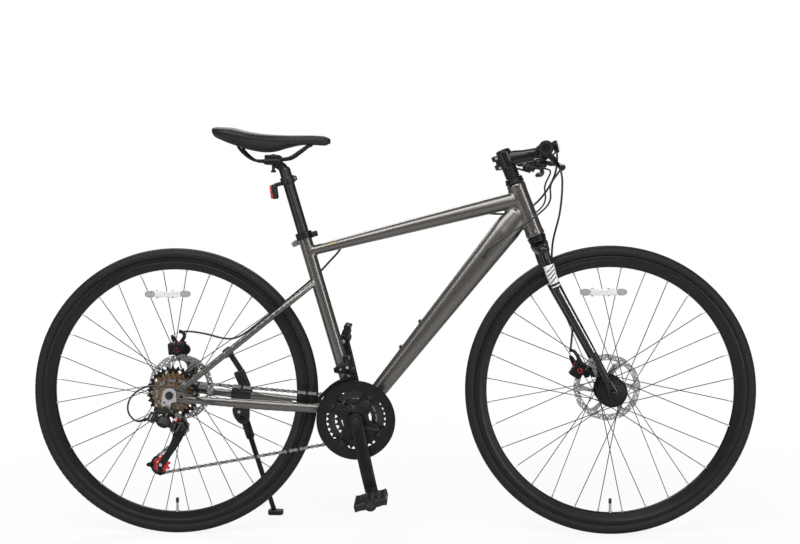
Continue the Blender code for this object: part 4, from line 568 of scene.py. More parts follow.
class Look(Nodes):
    """A finish of the bicycle and the name of the record's slot that it belongs to, which is kept but not
    used.
    """

    def __init__(self, name, slot):
        self.slot = slot
        self.material = bpy.data.materials.new(name)
        self.material.use_nodes = True
        super().__init__(self.material.node_tree)
        self.shader = self.tree.nodes["Principled BSDF"]
        self.place = self.node("ShaderNodeTexCoord").outputs["Object"]

    def stretched(self, factors):
        return self.node("ShaderNodeVectorMath", {"operation": "MULTIPLY"},
            {0: self.place, 1: factors}).outputs[0]

    def noise(self, scale, detail=3.0, factors=None):
        place = self.stretched(factors) if factors else self.place
        made = self.node("ShaderNodeTexNoise", None, {"Vector": place, "Scale": scale, "Detail": detail})
        return Signal(self, made.outputs[0])

    def cells(self, scale, output="Distance"):
        made = self.node("ShaderNodeTexVoronoi", None, {"Vector": self.place, "Scale": scale})
        return Signal(self, made.outputs[output])

    def waves(self, place):
        made = self.node("ShaderNodeTexWave", {"bands_direction": "DIAGONAL"},
            {"Vector": place, "Scale": 150.0})
        return Signal(self, made.outputs[1])

    def bump(self, height, distance, strength=1.0):
        values = {"Height": height, "Distance": distance, "Strength": strength}
        return self.node("ShaderNodeBump", None, values).outputs["Normal"]

    def set(self, **values):
        self.fill(self.shader, {key.replace("_", " "): value for key, value in values.items()})
        return self


def shade(colour, factor):
    return tuple(min(c * factor, 1.0) for c in colour) + (1.0,)


def metal(name, slot, colour, roughness, grain, metallic=1.0, vary=0.22, coat=0.0, factors=None,
        depth=0.000006):
    """A metal with brushed or cast grain, a little handling wear and uneven sheen."""
    look = Look(name, slot)
    fine = look.noise(grain, 4.0, factors)
    broad = look.noise(14.0)
    tone = look.mixed(broad * 0.55 + fine * 0.45, shade(colour, 1 - vary), shade(colour, 1 + vary))
    return look.set(Base_Color=tone, Metallic=metallic, Roughness=roughness + (fine - 0.5) * 0.16
        + (broad - 0.5) * 0.14, Coat_Weight=coat, Coat_Roughness=0.12, Normal=look.bump(fine, depth))


def moulded(name, slot, colour, roughness, grain=1400.0, depth=0.00006, vary=0.3, coat=0.0):
    """A plastic or rubber with a moulded grain and faint dust in it."""
    look = Look(name, slot)
    grainy = look.cells(grain)
    dust = look.noise(22.0, 4.0)
    tone = look.mixed(dust * 0.7 + grainy * 0.3, shade(colour, 1 - vary), shade(colour, 1 + vary * 1.6))
    return look.set(Base_Color=tone, Roughness=roughness + (dust - 0.5) * 0.22, Coat_Weight=coat,
        Coat_Roughness=0.1, Normal=look.bump(grainy, depth))


def prism(name, slot, colour, base):
    """A reflector: clear or tinted plastic over a field of small prisms."""
    look = Look(name, slot)
    facets = look.cells(1500.0)
    return look.set(Base_Color=look.mixed(facets * 1.4, shade(colour, base), shade(colour, 1.1)),
        Metallic=0.1, Roughness=0.22 + look.noise(30.0) * 0.08, Coat_Weight=1.0, Coat_Roughness=0.05,
        Normal=look.bump(facets, 0.0001, 0.4))


def grey_paint():
    look = Look("grey_paint", "painted_frame")
    flake = look.cells(5200.0, "Color")
    broad = look.noise(5.0, 2.0)
    tone = look.mixed(broad, (0.15, 0.142, 0.132, 1), (0.188, 0.178, 0.166, 1))
    spark = look.mixed(0.16, tone, flake, "OVERLAY")
    return look.set(Base_Color=look.mixed(0.22, tone, spark), Metallic=0.9,
        Roughness=0.31 + (look.noise(900.0, 2.0) - 0.5) * 0.08 + (broad - 0.5) * 0.06, Coat_Weight=0.5,
        Coat_Roughness=0.16, Normal=look.bump(look.noise(2600.0, 2.0), 0.000001))


def black_paint():
    look = Look("black_paint", "black_paint")
    peel = look.noise(420.0, 2.0)
    broad = look.noise(7.0)
    return look.set(Base_Color=look.mixed(broad, (0.006, 0.006, 0.007, 1), (0.011, 0.011, 0.012, 1)),
        Metallic=0.0, Roughness=0.3 + (broad - 0.5) * 0.1, Specular_IOR_Level=0.2, Coat_IOR=1.36,
        Coat_Weight=1.0, Coat_Roughness=0.07, Normal=look.bump(peel, 0.000006))


def tyre_rubber():
    look = Look("tyre_rubber", "tyre_rubber")
    fine = look.noise(700.0, 5.0)
    dust = look.noise(9.0, 4.0)
    tone = look.mixed(dust * 0.6 + fine * 0.4, (0.006, 0.006, 0.006, 1), (0.017, 0.017, 0.0165, 1))
    return look.set(Base_Color=tone, Roughness=0.62 + (dust - 0.5) * 0.2, Specular_IOR_Level=0.32,
        Normal=look.bump(fine, 0.00012, 0.7))


def grip_rubber():
    look = Look("grip_rubber", "grip_rubber")
    relief_and_groove_shade = look.waves(look.place) * look.waves(look.stretched((-1.0, 1.0, 1.0)))
    # The knurled relief also sets the colour: the grooves are painted darker than the ridges, as painted
    # shade.
    tone = look.mixed(relief_and_groove_shade, (0.005, 0.005, 0.005, 1), (0.016, 0.016, 0.016, 1))
    return look.set(Base_Color=tone, Specular_IOR_Level=0.35, Roughness=0.66
        + (look.noise(60.0) - 0.5) * 0.2, Normal=look.bump(relief_and_groove_shade, 0.0004, 0.8))


def saddle_cover():
    look = Look("saddle_cover", "saddle_cover")
    pores = look.cells(1400.0)
    soft = look.noise(12.0, 4.0)
    tone = look.mixed(soft, (0.008, 0.008, 0.009, 1), (0.016, 0.016, 0.017, 1))
    return look.set(Base_Color=tone, Specular_IOR_Level=0.4, Roughness=0.5 + (soft - 0.5) * 0.18
        + pores * 0.05, Normal=look.bump(pores, 0.00005, 0.5))


PAINT = grey_paint()
GLOSS = black_paint()
SATIN = metal("satin_black_alloy", "black_alloy", (0.014, 0.014, 0.015), 0.34, 900.0, 0.5, 0.3)
DEEP = metal("matt_black_alloy", "black_alloy", (0.007, 0.007, 0.008), 0.42, 700.0, 0.35, 0.3)
BRIGHT = metal("bright_steel", "bright_steel", (0.62, 0.62, 0.63), 0.24, 260.0, 0.65, 0.12,
    factors=(1.0, 9.0, 1.0))
ROTOR = metal("rotor_steel", "bright_steel", (0.56, 0.56, 0.57), 0.3, 520.0, 0.75, 0.14)
LINK = metal("chain_steel", "dark_steel", (0.33, 0.325, 0.315), 0.32, 420.0, 0.8, 0.35)
DARK = metal("dark_steel", "dark_steel", (0.06, 0.059, 0.057), 0.36, 500.0, 0.8, 0.3)
BRONZE = metal("bronze_steel", "bronze_steel", (0.27, 0.185, 0.105), 0.34, 480.0, 0.8, 0.35)
SPOKE = metal("spoke_steel", "black_alloy", (0.035, 0.035, 0.036), 0.3, 800.0, 0.8, 0.2)
TYRE = tyre_rubber()
GRIP = grip_rubber()
PLASTIC = moulded("black_plastic", "black_plastic", (0.008, 0.008, 0.008), 0.38)
CABLE = moulded("cable_sleeve", "black_plastic", (0.011, 0.011, 0.011), 0.3, 500.0, 0.00002, 0.25, 0.4)
RED = moulded("red_plastic", "red_plastic", (0.62, 0.022, 0.018), 0.32, 900.0, 0.00003, 0.12, 0.3)
COVER = saddle_cover()
CLEAR = prism("clear_reflector", "black_plastic", (0.78, 0.79, 0.8), 0.94)
SMOKE = prism("grey_reflector", "black_plastic", (0.4, 0.41, 0.42), 0.7)
AMBER = prism("amber_reflector", "black_plastic", (0.9, 0.26, 0.02), 0.45)
LENS = prism("red_lens", "red_plastic", (0.62, 0.012, 0.012), 0.4)
WHITE = moulded("white_paint", "black_paint", (0.88, 0.88, 0.88), 0.3, 1600.0, 0.00001, 0.05, 0.6)
YELLOW = moulded("yellow_paint", "painted_frame", (0.85, 0.55, 0.03), 0.3, 1600.0, 0.00001, 0.05, 0.6)
THREAD = moulded("stitching", "saddle_cover", (0.03, 0.03, 0.031), 0.75, 2600.0, 0.00005)
PAINT_DARK = metal("dark_grey_post", "dark_steel", (0.03, 0.03, 0.03), 0.34, 900.0, 0.6, 0.2, 0.2)

HOLE_STEP = 22.5
HOLE_TURN = 5.625
BOSSES = (0.305, 0.43)


# Frame
def make_frame():
    tubes = [turned([(0, HEAD_HALF), (0.0224, HEAD_HALF), (0.0222, HEAD_HALF - 0.01),
        (0.0212, HEAD_HALF - 0.017), (0.0212, -HEAD_HALF + 0.017), (0.0224, -HEAD_HALF + 0.01),
        (0.0226, -HEAD_HALF), (0, -HEAD_HALF)], HEAD, HEAD_UP, 64)]
    tubes.append(sweep([(down(f), side_half, up) for f, side_half, up in ((0.0, 0.0165, 0.0175),
        (0.13, 0.0185, down_half(0.13)), (0.5, 0.0215, down_half(0.5)), (0.85, 0.0225, down_half(0.85)),
        (0.93, 0.0205, down_half(0.93)), (1.0, 0.0175, 0.026))], 60, 96, 0.85))
    tubes.append(sweep([(top(f), side_half, up) for f, side_half, up in ((0.0, 0.0148, 0.0112),
        (0.2, 0.0165, 0.0132), (0.5, 0.0185, 0.016), (0.93, 0.0195, 0.019), (1.0, 0.018, 0.018))], 60, 80,
        0.88))
    tubes.append(cylinder(seat(0.0), seat(SEAT_TUBE_TOP), SEAT_TUBE_R, 80, 0))
    tubes.append(across(BB, SHELL_R, -SHELL_HALF, SHELL_HALF, 48, 0.0008))
    rows = ((0.03, 0.0138, 0.02, 0.009, 0.0105), (0.121, 0.0116, 0.0265, 0.0085, 0.0112),
        (0.215, 0.0095, 0.0335, 0.0082, 0.0115), (0.5, 0.0035, 0.052, 0.008, 0.0118),
        (0.92, -0.0049, 0.0695, 0.0056, 0.0092))
    for sign in (-1, 1):
        tubes.append(sweep([(stay(f, dz, sign * y), a, b) for f, dz, y, a, b in rows], 48, 48, 0.9))
        tubes.append(sweep([(STAY_TOP + (STAY_END - STAY_TOP) * f + vec(0, sign * y, 0), 0.007, 0.0078)
            for f, y in ((0.0, 0.012), (0.15, 0.033), (0.4, 0.0475), (1.0, 0.0695))], 48, 40))
    tubes.append(across(STAY_TOP + (STAY_END - STAY_TOP) * 0.121, 0.0048, -0.03, 0.03, 20, 0))
    tubes.append(across(stay(0.155, 0.0105, 0), 0.0065, -0.03, 0.03, 20, 0))
    for f in BOSSES:
        tubes.append(cylinder(down(f, down_half(f) - 0.006), down(f, down_half(f) + 0.0022), 0.0062, 24, 0))
    skin = fused(tubes, 0.00215, 12)
    outline = [(0.0434, -0.0205), (0.05, -0.011), (0.0465, -0.0005), (0.033, 0.008), (0.044, 0.0225),
        (0.0345, 0.0315), (0.018, 0.0185), (0.0004, 0.0175), (-0.0136, 0.0125), (-0.0185, 0.0),
        (-0.015, -0.016), (-0.008, -0.021), (-0.0051, -0.0212), (-0.0051, -0.001), (-0.0034, 0.0038),
        (0.0, 0.0051), (0.0034, 0.0038), (0.0051, -0.001), (0.0051, -0.0212), (0.012, -0.021),
        (0.02, -0.015)]
    window = [(0.0225, -0.006), (0.033, -0.0085), (0.027, 0.004)]
    castings = []
    for sign in (-1, 1):
        castings.append(side([outline, rounded(window)], REAR, *sided(sign, REAR_DROP, REAR_DROP + PLATE),
            0.0009))
    tab = [(0.02, 0.022), (0.043, 0.035), (0.03, 0.07), (0.008, 0.077), (-0.011, 0.074), (-0.01, 0.064),
        (0.009, 0.06), (0.013, 0.04)]
    castings.append(side([rounded(tab)], REAR, REAR_DROP, REAR_DROP + PLATE, 0.0009))
    piece("frame_skin", [skin] + castings, PAINT, "frame", angle=50)
    screws = [shape for f in BOSSES for shape in bolt(down(f, down_half(f) + 0.0021), DOWN_UP, 0.0044,
        0.0028)]
    piece("bottle_screws", screws, DARK, body="frame")
    # Rubber rings round the cables where they enter the tubes
    rings = []
    for at, way, radius in CABLE_ENTRIES:
        rings.append(turned([(radius + 0.0016, -0.002), (radius + 0.0017, 0.0006),
            (radius + 0.0009, 0.0016), (radius * 0.9, 0.0016), (radius * 0.9, -0.002)], at, way, 24))
    piece("cable_entry_rings", rings, PLASTIC, body="frame")
    # A small painted mark on the top tube, plain bars of two colours
    outward = unit(SIDEWAYS + TOP_UP * 0.9)
    for name, look, f, long in (("yellow", YELLOW, 0.118, 0.013), ("red", RED, 0.142, 0.006)):
        mark = block(top(f, 0.0062, -0.0134), (long, 0.0036, 0.0012), TOP_DIR, outward, 0.0002, 1)
        piece("top_tube_mark_" + name, [mark], look, body="frame")


def make_headset():
    base = HEAD_HALF + GAP
    high = base + CUP
    profile = [(0.0165, high), (0.019, high), (0.0206, high - 0.0015), (0.021, high - 0.0045),
        (0.0204, high - 0.005), (0.0204, high - 0.0058), (0.0212, high - 0.0064), (0.0222, base + 0.0015),
        (0.0222, base), (0.0165, base)]
    for sign, name in ((1, "headset_upper_cup"), (-1, "headset_lower_cup")):
        piece(name + "_shell", [turned([(r, sign * h) for r, h in profile], HEAD, HEAD_UP, 64, 0.0003)],
            SATIN, name)


def make_bottom_bracket():
    edge = SHELL_HALF + GAP
    bore = SPINDLE_R + GAP
    cups = []
    for sign in (-1, 1):
        profile = [(0.0192, edge), (0.0192, edge + 0.003), (bore, edge + 0.003), (bore, edge)]
        cups.append(turned([(r, sign * h) for r, h in profile], BB, SIDEWAYS, 64, 0.0004))
        for k in range(8):
            cups.append(across(spun(BB, 0.015, 45 * k + 10), 0.0016, *sided(sign, edge + 0.0026,
                edge + 0.0034), 12, 0.0001))
    piece("bottom_bracket_cups", cups, DARK, "bottom_bracket")


def make_collar():
    s = SEAT_TUBE_TOP - 0.012
    low = SEAT_TUBE_TOP - 0.0135
    high = SEAT_TUBE_TOP + 0.0035
    band = turned([(0.015, high), (0.0186, high), (0.0198, high - 0.0014), (0.02, high - 0.004),
        (0.0196, high - 0.0065), (0.0196, low + 0.006), (0.02, low + 0.003), (0.02, low), (0.0161, low),
        (0.0161, high - 0.002)], BB, SEAT_UP, 64, 0.0003)
    pin = seat(s + 0.004, 0.0255)
    ears = [block(seat(s + 0.004, 0.024, sign * 0.0056), (0.016, 0.0088, 0.0135), SEAT_FWD, bevel=0.0022)
        for sign in (-1, 1)]
    piece("seat_collar_band", [band] + ears, SATIN, "seat_collar")
    nut = turned([(0, -0.0205), (0.0042, -0.0205), (0.0062, -0.019), (0.0062, -0.012), (0.0055, -0.01),
        (0, -0.01)], pin, SIDEWAYS, 32, 0.0003)
    piece("seat_collar_nut", [nut], PLASTIC, body="frame")
    boss = turned([(0, 0.014), (0.005, 0.014), (0.0058, 0.0128), (0.0058, 0.0098), (0, 0.0098)], pin,
        SIDEWAYS, 32, 0.0003)
    piece("seat_collar_skewer", [across(pin, 0.0026, -0.016, 0.0155, 20), boss], BRIGHT, body="frame")
    path = [(seat(s + 0.004, 0.0255, 0.0215), 0.0035, 0.005), (seat(s + 0.002, 0.015, 0.027), 0.0028,
        0.0055), (seat(s - 0.001, -0.005, 0.0285), 0.0024, 0.0065), (seat(s - 0.004, -0.024, 0.024), 0.0024,
        0.0075), (seat(s - 0.007, -0.036, 0.016), 0.0018, 0.006)]
    hinge = pin + vec(0, 0.0205, 0)
    lever = [sweep(path, 22, 24, 0.75, bevel=0.0006), cylinder(hinge - SEAT_UP * 0.006,
        hinge + SEAT_UP * 0.006, 0.0046, 28, 0.0006)]
    piece("seat_lever_blade", lever, BRIGHT, "seat_collar_lever")


# Wheels
def make_spokes(name, centre, right_y, left_y, hole_r):
    wires = []
    nipples = []
    for y_flange, turn in ((right_y, HOLE_TURN), (left_y, 3 * HOLE_TURN)):
        for k in range(16):
            lead = 1 if k % 2 else -1
            hole = turn + HOLE_STEP * k
            elbow = spun(centre, hole_r, hole, y_flange)
            hub_end = elbow + vec(0, lead * 0.0024, 0)
            tip = spun(centre, RIM_INNER + 0.0008, hole + lead * 67.5, math.copysign(0.002, y_flange))
            way = unit(tip - hub_end)
            bend = [elbow - vec(0, lead * 0.0022, 0), hub_end - way * 0.0002, hub_end + way * 0.0016]
            wires.append(rod(bend + [tip], 0.001, 1))
            wires.append(ball(elbow - vec(0, lead * 0.0024, 0), (0.0019, 0.0019, 0.0009), FORWARD, UPWARD,
                8))
            nipples.append(turned([(0, 0.0006), (0.0019, 0.0006), (0.0019, -0.0045), (0.0016, -0.011),
                (0.0012, -0.0118), (0, -0.0118)], tip, way, 10))
    piece(name + "_spokes", wires, SPOKE, name + "_hub")
    piece(name + "_nipples", nipples, BRIGHT, body=name + "_wheel")


def flange(centre, radius, hole_r, y, turn):
    holes = [disc(*polar(hole_r, turn + HOLE_STEP * k), 0.0014, 8) for k in range(16)]
    return side([disc(0, 0, radius, 64)] + holes, centre, y - 0.0017, y + 0.0017, 0.0005)


def make_rim(name, centre):
    half = [(RIM_INNER, 0.0022), (RIM_INNER + 0.0006, 0.0044), (RIM_INNER + 0.0022, 0.0062),
        (0.301, 0.0089), (0.3062, 0.0105), (0.3075, 0.0112), (0.3082, 0.0109), (0.3088, 0.0113),
        (0.3155, RIM_HALF), (RIM_R, RIM_HALF - 0.0004), (RIM_R, RIM_HALF - 0.0016),
        (0.3152, RIM_HALF - 0.0024), (0.308, RIM_HALF - 0.003)]
    section = half + [(r, -y) for r, y in reversed(half)]
    piece(name + "_rim_hoop", [turned(section, centre, SIDEWAYS, 192)], SATIN, name + "_rim", angle=28)
    valve = centre + vec(0, 0, -RIM_INNER - 0.0005)
    stem = turned([(0, -0.001), (0.003, -0.001), (0.003, 0.0215), (0.0036, 0.0225), (0.0036, 0.03),
        (0.003, 0.031), (0.0012, 0.0318), (0, 0.0318)], valve, UPWARD, 24, 0.0002)
    nut = plate([disc(0, 0, 0.0056, 6), disc(0, 0, 0.0029, 16)], valve + vec(0, 0, 0.0012), FORWARD,
        SIDEWAYS, -0.0012, 0.0012, 0.0003)
    piece(name + "_valve", [stem, nut], BRIGHT, body=name + "_wheel")
    cap = turned([(0, 0.033), (0.0026, 0.033), (0.0036, 0.0318), (0.0038, 0.022), (0, 0.022)], valve,
        UPWARD, 20, 0.0002)
    piece(name + "_valve_cap", [cap], PLASTIC, body=name + "_wheel")


def make_tyre(name, centre):
    half = [(0.3092, 0.008), (0.312, 0.0086), (0.3172, 0.0088), (0.318, 0.0104), (0.319, 0.0112),
        (0.3198, 0.0126), (0.3206, 0.0131), (0.3214, 0.0142), (0.3245, 0.0155), (0.3275, 0.016),
        (0.3305, 0.0156), (0.333, 0.0146), (0.335, 0.0131), (0.3356, 0.0128), (0.3372, 0.0112),
        (0.3388, 0.009), (0.3399, 0.0064), (0.3404, 0.0048), (0.3398, 0.0044), (0.3398, 0.0036),
        (0.3407, 0.0032), (0.341, 0.0012)]
    section = half + [(r, -y) for r, y in reversed(half)] + [(0.33, -0.0078), (0.33, 0.0078)]
    shapes = [turned(section, centre, SIDEWAYS, 224)]
    stud = block(vec(0, 0, 0), (0.0058, 0.004, 0.0013), FORWARD, SIDEWAYS, 0.0003, 1)
    places = []
    for sign in (-1, 1):
        for k in range(150):
            a = math.radians(2.4 * k + (1.2 if sign > 0 else 0.0))
            out = unit(vec(math.cos(a), sign * 0.72, math.sin(a)))
            go = vec(-math.sin(a), 0, math.cos(a))
            lean = unit(go + np.cross(out, go) * 0.45 * sign)
            at = centre + vec(0.3369 * math.cos(a), sign * 0.01175, 0.3369 * math.sin(a))
            places.append(frame_of(at, lean, np.cross(out, lean)))
    shapes += placed(stud, places)
    piece(name + "_tyre_casing", shapes, TYRE, name + "_tyre", angle=30)


def make_rotor(name, centre, y):
    edge = [polar(ROTOR_R - 0.0016 * (0.5 - 0.5 * math.cos(math.radians(18 * k))), 1.5 * k)
        for k in range(240)]
    bolts = [60 * k + 18 for k in range(6)]
    holes = [disc(0, 0, 0.014, 24)]
    for a in range(0, 360, 60):
        holes.append(rounded(arc(0, 0, 0.065, a + 6, a + 54, 8) + arc(0, 0, 0.0285, a + 74, a + 26, 6), 1))
    for k in range(36):
        holes.append(disc(*polar((0.0688, 0.0725, 0.0758)[k % 3], 10 * k), 0.0021, 10))
        holes.append(disc(*polar((0.0742, 0.0696, 0.0716)[k % 3], 10 * k + 5), 0.0014, 8))
    holes += [disc(*polar(0.022, turn), 0.002, 10) for turn in bolts]
    piece(name + "_rotor_disc", [side([edge] + holes, centre, y - 0.0009, y + 0.0009, 0.0002)], ROTOR,
        name + "_rotor")
    heads = []
    for turn in bolts:
        heads += bolt(spun(centre, 0.022, turn, y + 0.0009), SIDEWAYS, 0.0036, 0.0022)
    piece(name + "_rotor_bolts", heads, DARK, body=name + "_wheel")


def make_reflector(name, centre, y):
    """A bar across the spokes: a clear prism in a clipped tray."""
    at = centre + vec(-0.0158, y, 0.232)
    lens = block(at + vec(0, -0.0008, 0), (0.062, 0.0052, 0.015), bevel=0.0018)
    piece(name + "_wheel_reflector_lens", [lens], CLEAR, body=name + "_wheel")
    tray = [(0.0305, -0.0078), (0.0305, 0.0078), (0.05, 0.0078), (0.056, 0.002), (0.052, -0.0078)]
    ends = [plate([rounded([(far * x, z) for x, z in tray], 1)], at, FORWARD, UPWARD, -0.0026, 0.0022,
        0.0008) for far in (-1, 1)]
    clips = [block(at + vec(x, 0.0012, 0), (0.005, 0.0062, 0.0196), bevel=0.0012) for x in (-0.026, 0.012)]
    piece(name + "_wheel_reflector_tray", ends + clips, SMOKE, body=name + "_wheel")


def make_wheels():
    body = SPROCKET_Y + 0.0062
    cores = {"front": [(0.0165, 0.029), (0.015, 0.024), (0.017, 0.0232), (0.017, 0.0204), (0.0142, 0.0192),
        (0.0132, 0.01), (0.0132, -0.02), (0.0142, -0.0306), (0.019, -0.0318), (0.019, -0.0362),
        (0.03, -0.0364), (0.03, -0.0372), (0.0215, -0.0374), (0.0205, -0.0388), (0.015, -0.0402),
        (0.014, -0.044), (0.0115, -0.0452)], "rear": [(0.0168, 0.04), (0.0165, 0.03), (0.015, 0.026),
        (0.015, -0.014), (0.0165, -0.019), (0.018, body), (0.0112, body), (0.0112, -0.0632),
        (0.0085, -0.0632)]}
    for name, centre, drop, y, neck, chamfer, tail, right, left, hole_r in (("front", FRONT, FORK_DROP,
            FRONT_ROTOR_Y, 0.009, 0.002, 0.01, -0.034, 0.0218, 0.0325),
            ("rear", REAR, REAR_DROP, REAR_ROTOR_Y, 0.0095, 0.0018, 0.0085, -0.0213, 0.0336, 0.0265)):
        end = drop - 0.0005
        mount = y - 0.001 - GAP
        section = [(neck, end), (0.0118, end - chamfer), (0.013, y + 0.003), (0.013, mount), (0.022, mount),
            (0.022, mount - 0.0035)] + cores[name] + [(tail, -end), (0.005, -end), (0.005, end)]
        shell = [turned(section, centre, SIDEWAYS, 72, 0.0004), flange(centre, hole_r + 0.003, hole_r, left,
            3 * HOLE_TURN), flange(centre, hole_r + 0.003, hole_r, right, HOLE_TURN)]
        piece(name + "_hub_shell", shell, DEEP, name + "_hub")
        make_spokes(name, centre, right, left, hole_r)
    for name, centre, y, bar_y in (("front", FRONT, FRONT_ROTOR_Y, -0.0125),
            ("rear", REAR, REAR_ROTOR_Y, -0.0115)):
        make_rim(name, centre)
        make_tyre(name, centre)
        make_rotor(name, centre, y)
        make_reflector(name, centre, bar_y)


def make_axles():
    face = REAR_DROP + PLATE + GAP
    claw = face + 0.003 + GAP
    shapes = [across(REAR, 0.0046, -claw - 0.0104, face + 0.0104, 32, 0.0008)]
    nuts = []
    for low, washer in ((face, face), (-claw - 0.0075, -claw - 0.0016)):
        nuts.append(side([disc(0, 0, 0.0086, 6, 15), disc(0, 0, 0.004, 20)], REAR, low, low + 0.0075,
            0.0007))
        nuts.append(across(REAR, 0.0093, washer, washer + 0.0016, 32, 0.0003))
    piece("rear_axle_nuts", shapes + nuts, DARK, "rear_axle")
    face = FORK_DROP + FORK_PLATE + GAP
    piece("front_skewer", [turned([(0, face + 0.0075), (0.0062, face + 0.0075), (0.008, face + 0.005),
        (0.0085, face + 0.003), (0.0085, face), (0.0046, face), (0.0046, -face), (0.0085, -face),
        (0.0085, -face - 0.003), (0.0078, -face - 0.0045), (0.0078, -face - 0.0075), (0.0066, -face - 0.01),
        (0.004, -face - 0.0113), (0, -face - 0.0115)], FRONT, SIDEWAYS, 56, 0.0003)], SATIN, "front_axle")
    lean = unit(vec(0.471, 0, 0.882))
    hinge = FRONT + vec(0, face + 0.014, 0)
    cross = vec(-lean[2], 0, lean[0])
    path = [(hinge, 0.0045, 0.0055), (hinge + lean * 0.018 + vec(0, 0.0045, 0), 0.0032, 0.006),
        (hinge + lean * 0.038 + vec(0, 0.004, 0), 0.0026, 0.0075), (hinge + lean * 0.058
        + vec(0, -0.001, 0), 0.0017, 0.006)]
    piece("front_lever_blade", [sweep(path, 20, 24, 0.75, SIDEWAYS, 0.0006),
        cylinder(hinge - cross * 0.0062, hinge + cross * 0.0062, 0.0056, 32, 0.0006)], BRIGHT,
        "front_axle_lever")


# Chain line
CAGE_PIVOT = rear(0.0254, -0.073)
UPPER_OFFSET = np.array([-0.0064, -0.0027])
LOWER_OFFSET = np.array([-0.0599, -0.0853])
DRIVEN_Y = SPROCKET_Y - SPROCKET_STEP * DRIVEN


def chain_wheels(cage):
    """Centre, pitch radius and sense of the four wheels in the order of the chain's run."""
    a = math.radians(cage)
    turn = np.array([[math.cos(a), -math.sin(a)], [math.sin(a), math.cos(a)]])
    return [(flattened(BB), pitch_radius(RINGS[0]), 1), (flattened(REAR), pitch_radius(SPROCKETS[DRIVEN]),
        1), (flattened(CAGE_PIVOT) + turn @ UPPER_OFFSET, pitch_radius(PULLEY_TEETH), -1),
        (flattened(CAGE_PIVOT) + turn @ LOWER_OFFSET, pitch_radius(PULLEY_TEETH), 1)]


def chain_route(cage):
    wheels = chain_wheels(cage)
    normals = []
    for k in range(4):
        c1, r1, s1 = wheels[k]
        c2, r2, s2 = wheels[(k + 1) % 4]
        between = c2 - c1
        normals.append(math.atan2(between[1], between[0]) + math.acos((s2 * r2
            - s1 * r1) / np.linalg.norm(between)))
    points = []
    owner = []
    for k in range(4):
        centre, radius, sense = wheels[k]
        arrive = normals[k - 1] + (math.pi if sense > 0 else 0)
        leave = normals[k] + (math.pi if sense > 0 else 0)
        for t in np.linspace(0, (leave - arrive) * sense % (2 * math.pi), 200):
            a = arrive + sense * t
            points.append(centre + radius * np.array([math.cos(a), math.sin(a)]))
            owner.append(k)
        following, r2, s2 = wheels[(k + 1) % 4]
        a2 = normals[k] + (math.pi if s2 > 0 else 0)
        target = following + r2 * np.array([math.cos(a2), math.sin(a2)])
        start = points[-1]
        for t in np.linspace(0, 1, 200)[1:-1]:
            points.append(start + (target - start) * t)
            owner.append(-1)
    return np.array(points), owner


def walk(cage):
    """Pins one pitch apart along the path, and how many pitches go round it."""
    points, owner = chain_route(cage)
    points = np.vstack([points, points[:1]])
    pins = [points[0]]
    homes = [owner[0]]
    k = 0
    while True:
        here = pins[-1]
        while k < len(points) - 1 and np.linalg.norm(points[k + 1] - here) < PITCH:
            k += 1
        if k >= len(points) - 1:
            break
        a = points[k] - here
        d = points[k + 1] - points[k]
        q = np.dot(d, d)
        h = np.dot(a, d)
        t = (-h + math.sqrt(max(h * h - q * (np.dot(a, a) - PITCH ** 2), 0))) / q
        pins.append(points[k] + d * t)
        homes.append(owner[min(k, len(owner) - 1)])
    return pins, homes, len(pins) - 1 + np.linalg.norm(points[-1] - pins[-1]) / PITCH


def solve_cage():
    low = -14.0
    high = 14.0
    for _ in range(40):
        middle = (low + high) / 2
        if (walk(middle)[2] > CHAIN_LINKS) == (walk(low)[2] > CHAIN_LINKS):
            low = middle
        else:
            high = middle
    return (low + high) / 2


CAGE_TURN = solve_cage()
PINS, HOMES, _ = walk(CAGE_TURN)
PINS = PINS[:CHAIN_LINKS]
WHEELS = chain_wheels(CAGE_TURN)


def phase_of(wheel):
    """Angle of a pin on the wheel, which is where one of its roots lies."""
    found = [k for k in range(len(PINS)) if HOMES[k] == wheel]
    pin = PINS[found[len(found) // 2]] - WHEELS[wheel][0]
    return math.atan2(pin[1], pin[0])


def chain_y(point):
    first = REAR[0] + 0.045
    last = BB[0] - 0.04
    t = min(max((point[0] - first) / (last - first), 0.0), 1.0)
    return DRIVEN_Y + (RING_Y[0] - DRIVEN_Y) * t


def make_chain():
    half = PITCH / 2

    def link(radius, faces, pin_r, pin_half, steps):
        """Two plates, waisted between their pins, and the two rollers or pins."""
        outline = arc(-half, 0, radius, 50, 310, 7) + [(0, -radius * 0.56)]
        outline += arc(half, 0, radius, -130, 130, 7) + [(0, radius * 0.56)]
        shapes = [plate([outline], vec(0, 0, 0), FORWARD, UPWARD, low, low + 0.0008, 0.0001)
            for low in faces]
        return gathered(shapes + [across(vec(x, 0, 0), pin_r, -pin_half, pin_half, steps, 0)
            for x in (-half, half)])

    places = [[], []]
    for k in range(CHAIN_LINKS):
        a = PINS[k]
        b = PINS[(k + 1) % CHAIN_LINKS]
        start = vec(a[0], chain_y(a), a[1])
        end = vec(b[0], chain_y(b), b[1])
        way = unit(end - start)
        y = unit(SIDEWAYS - way * np.dot(SIDEWAYS, way))
        places[k % 2].append(frame_of((start + end) / 2, way, y))
    inner = link(0.0038, (-0.0024, 0.0016), 0.0037, 0.0016, 10)
    outer = link(0.004, (-0.0033, 0.0025), 0.0017, 0.0036, 8)
    piece("chain_inner_links", placed(inner, places[0]), DARK, "chain", angle=40)
    piece("chain_outer_links", placed(outer, places[1]), LINK, "chain", angle=40)


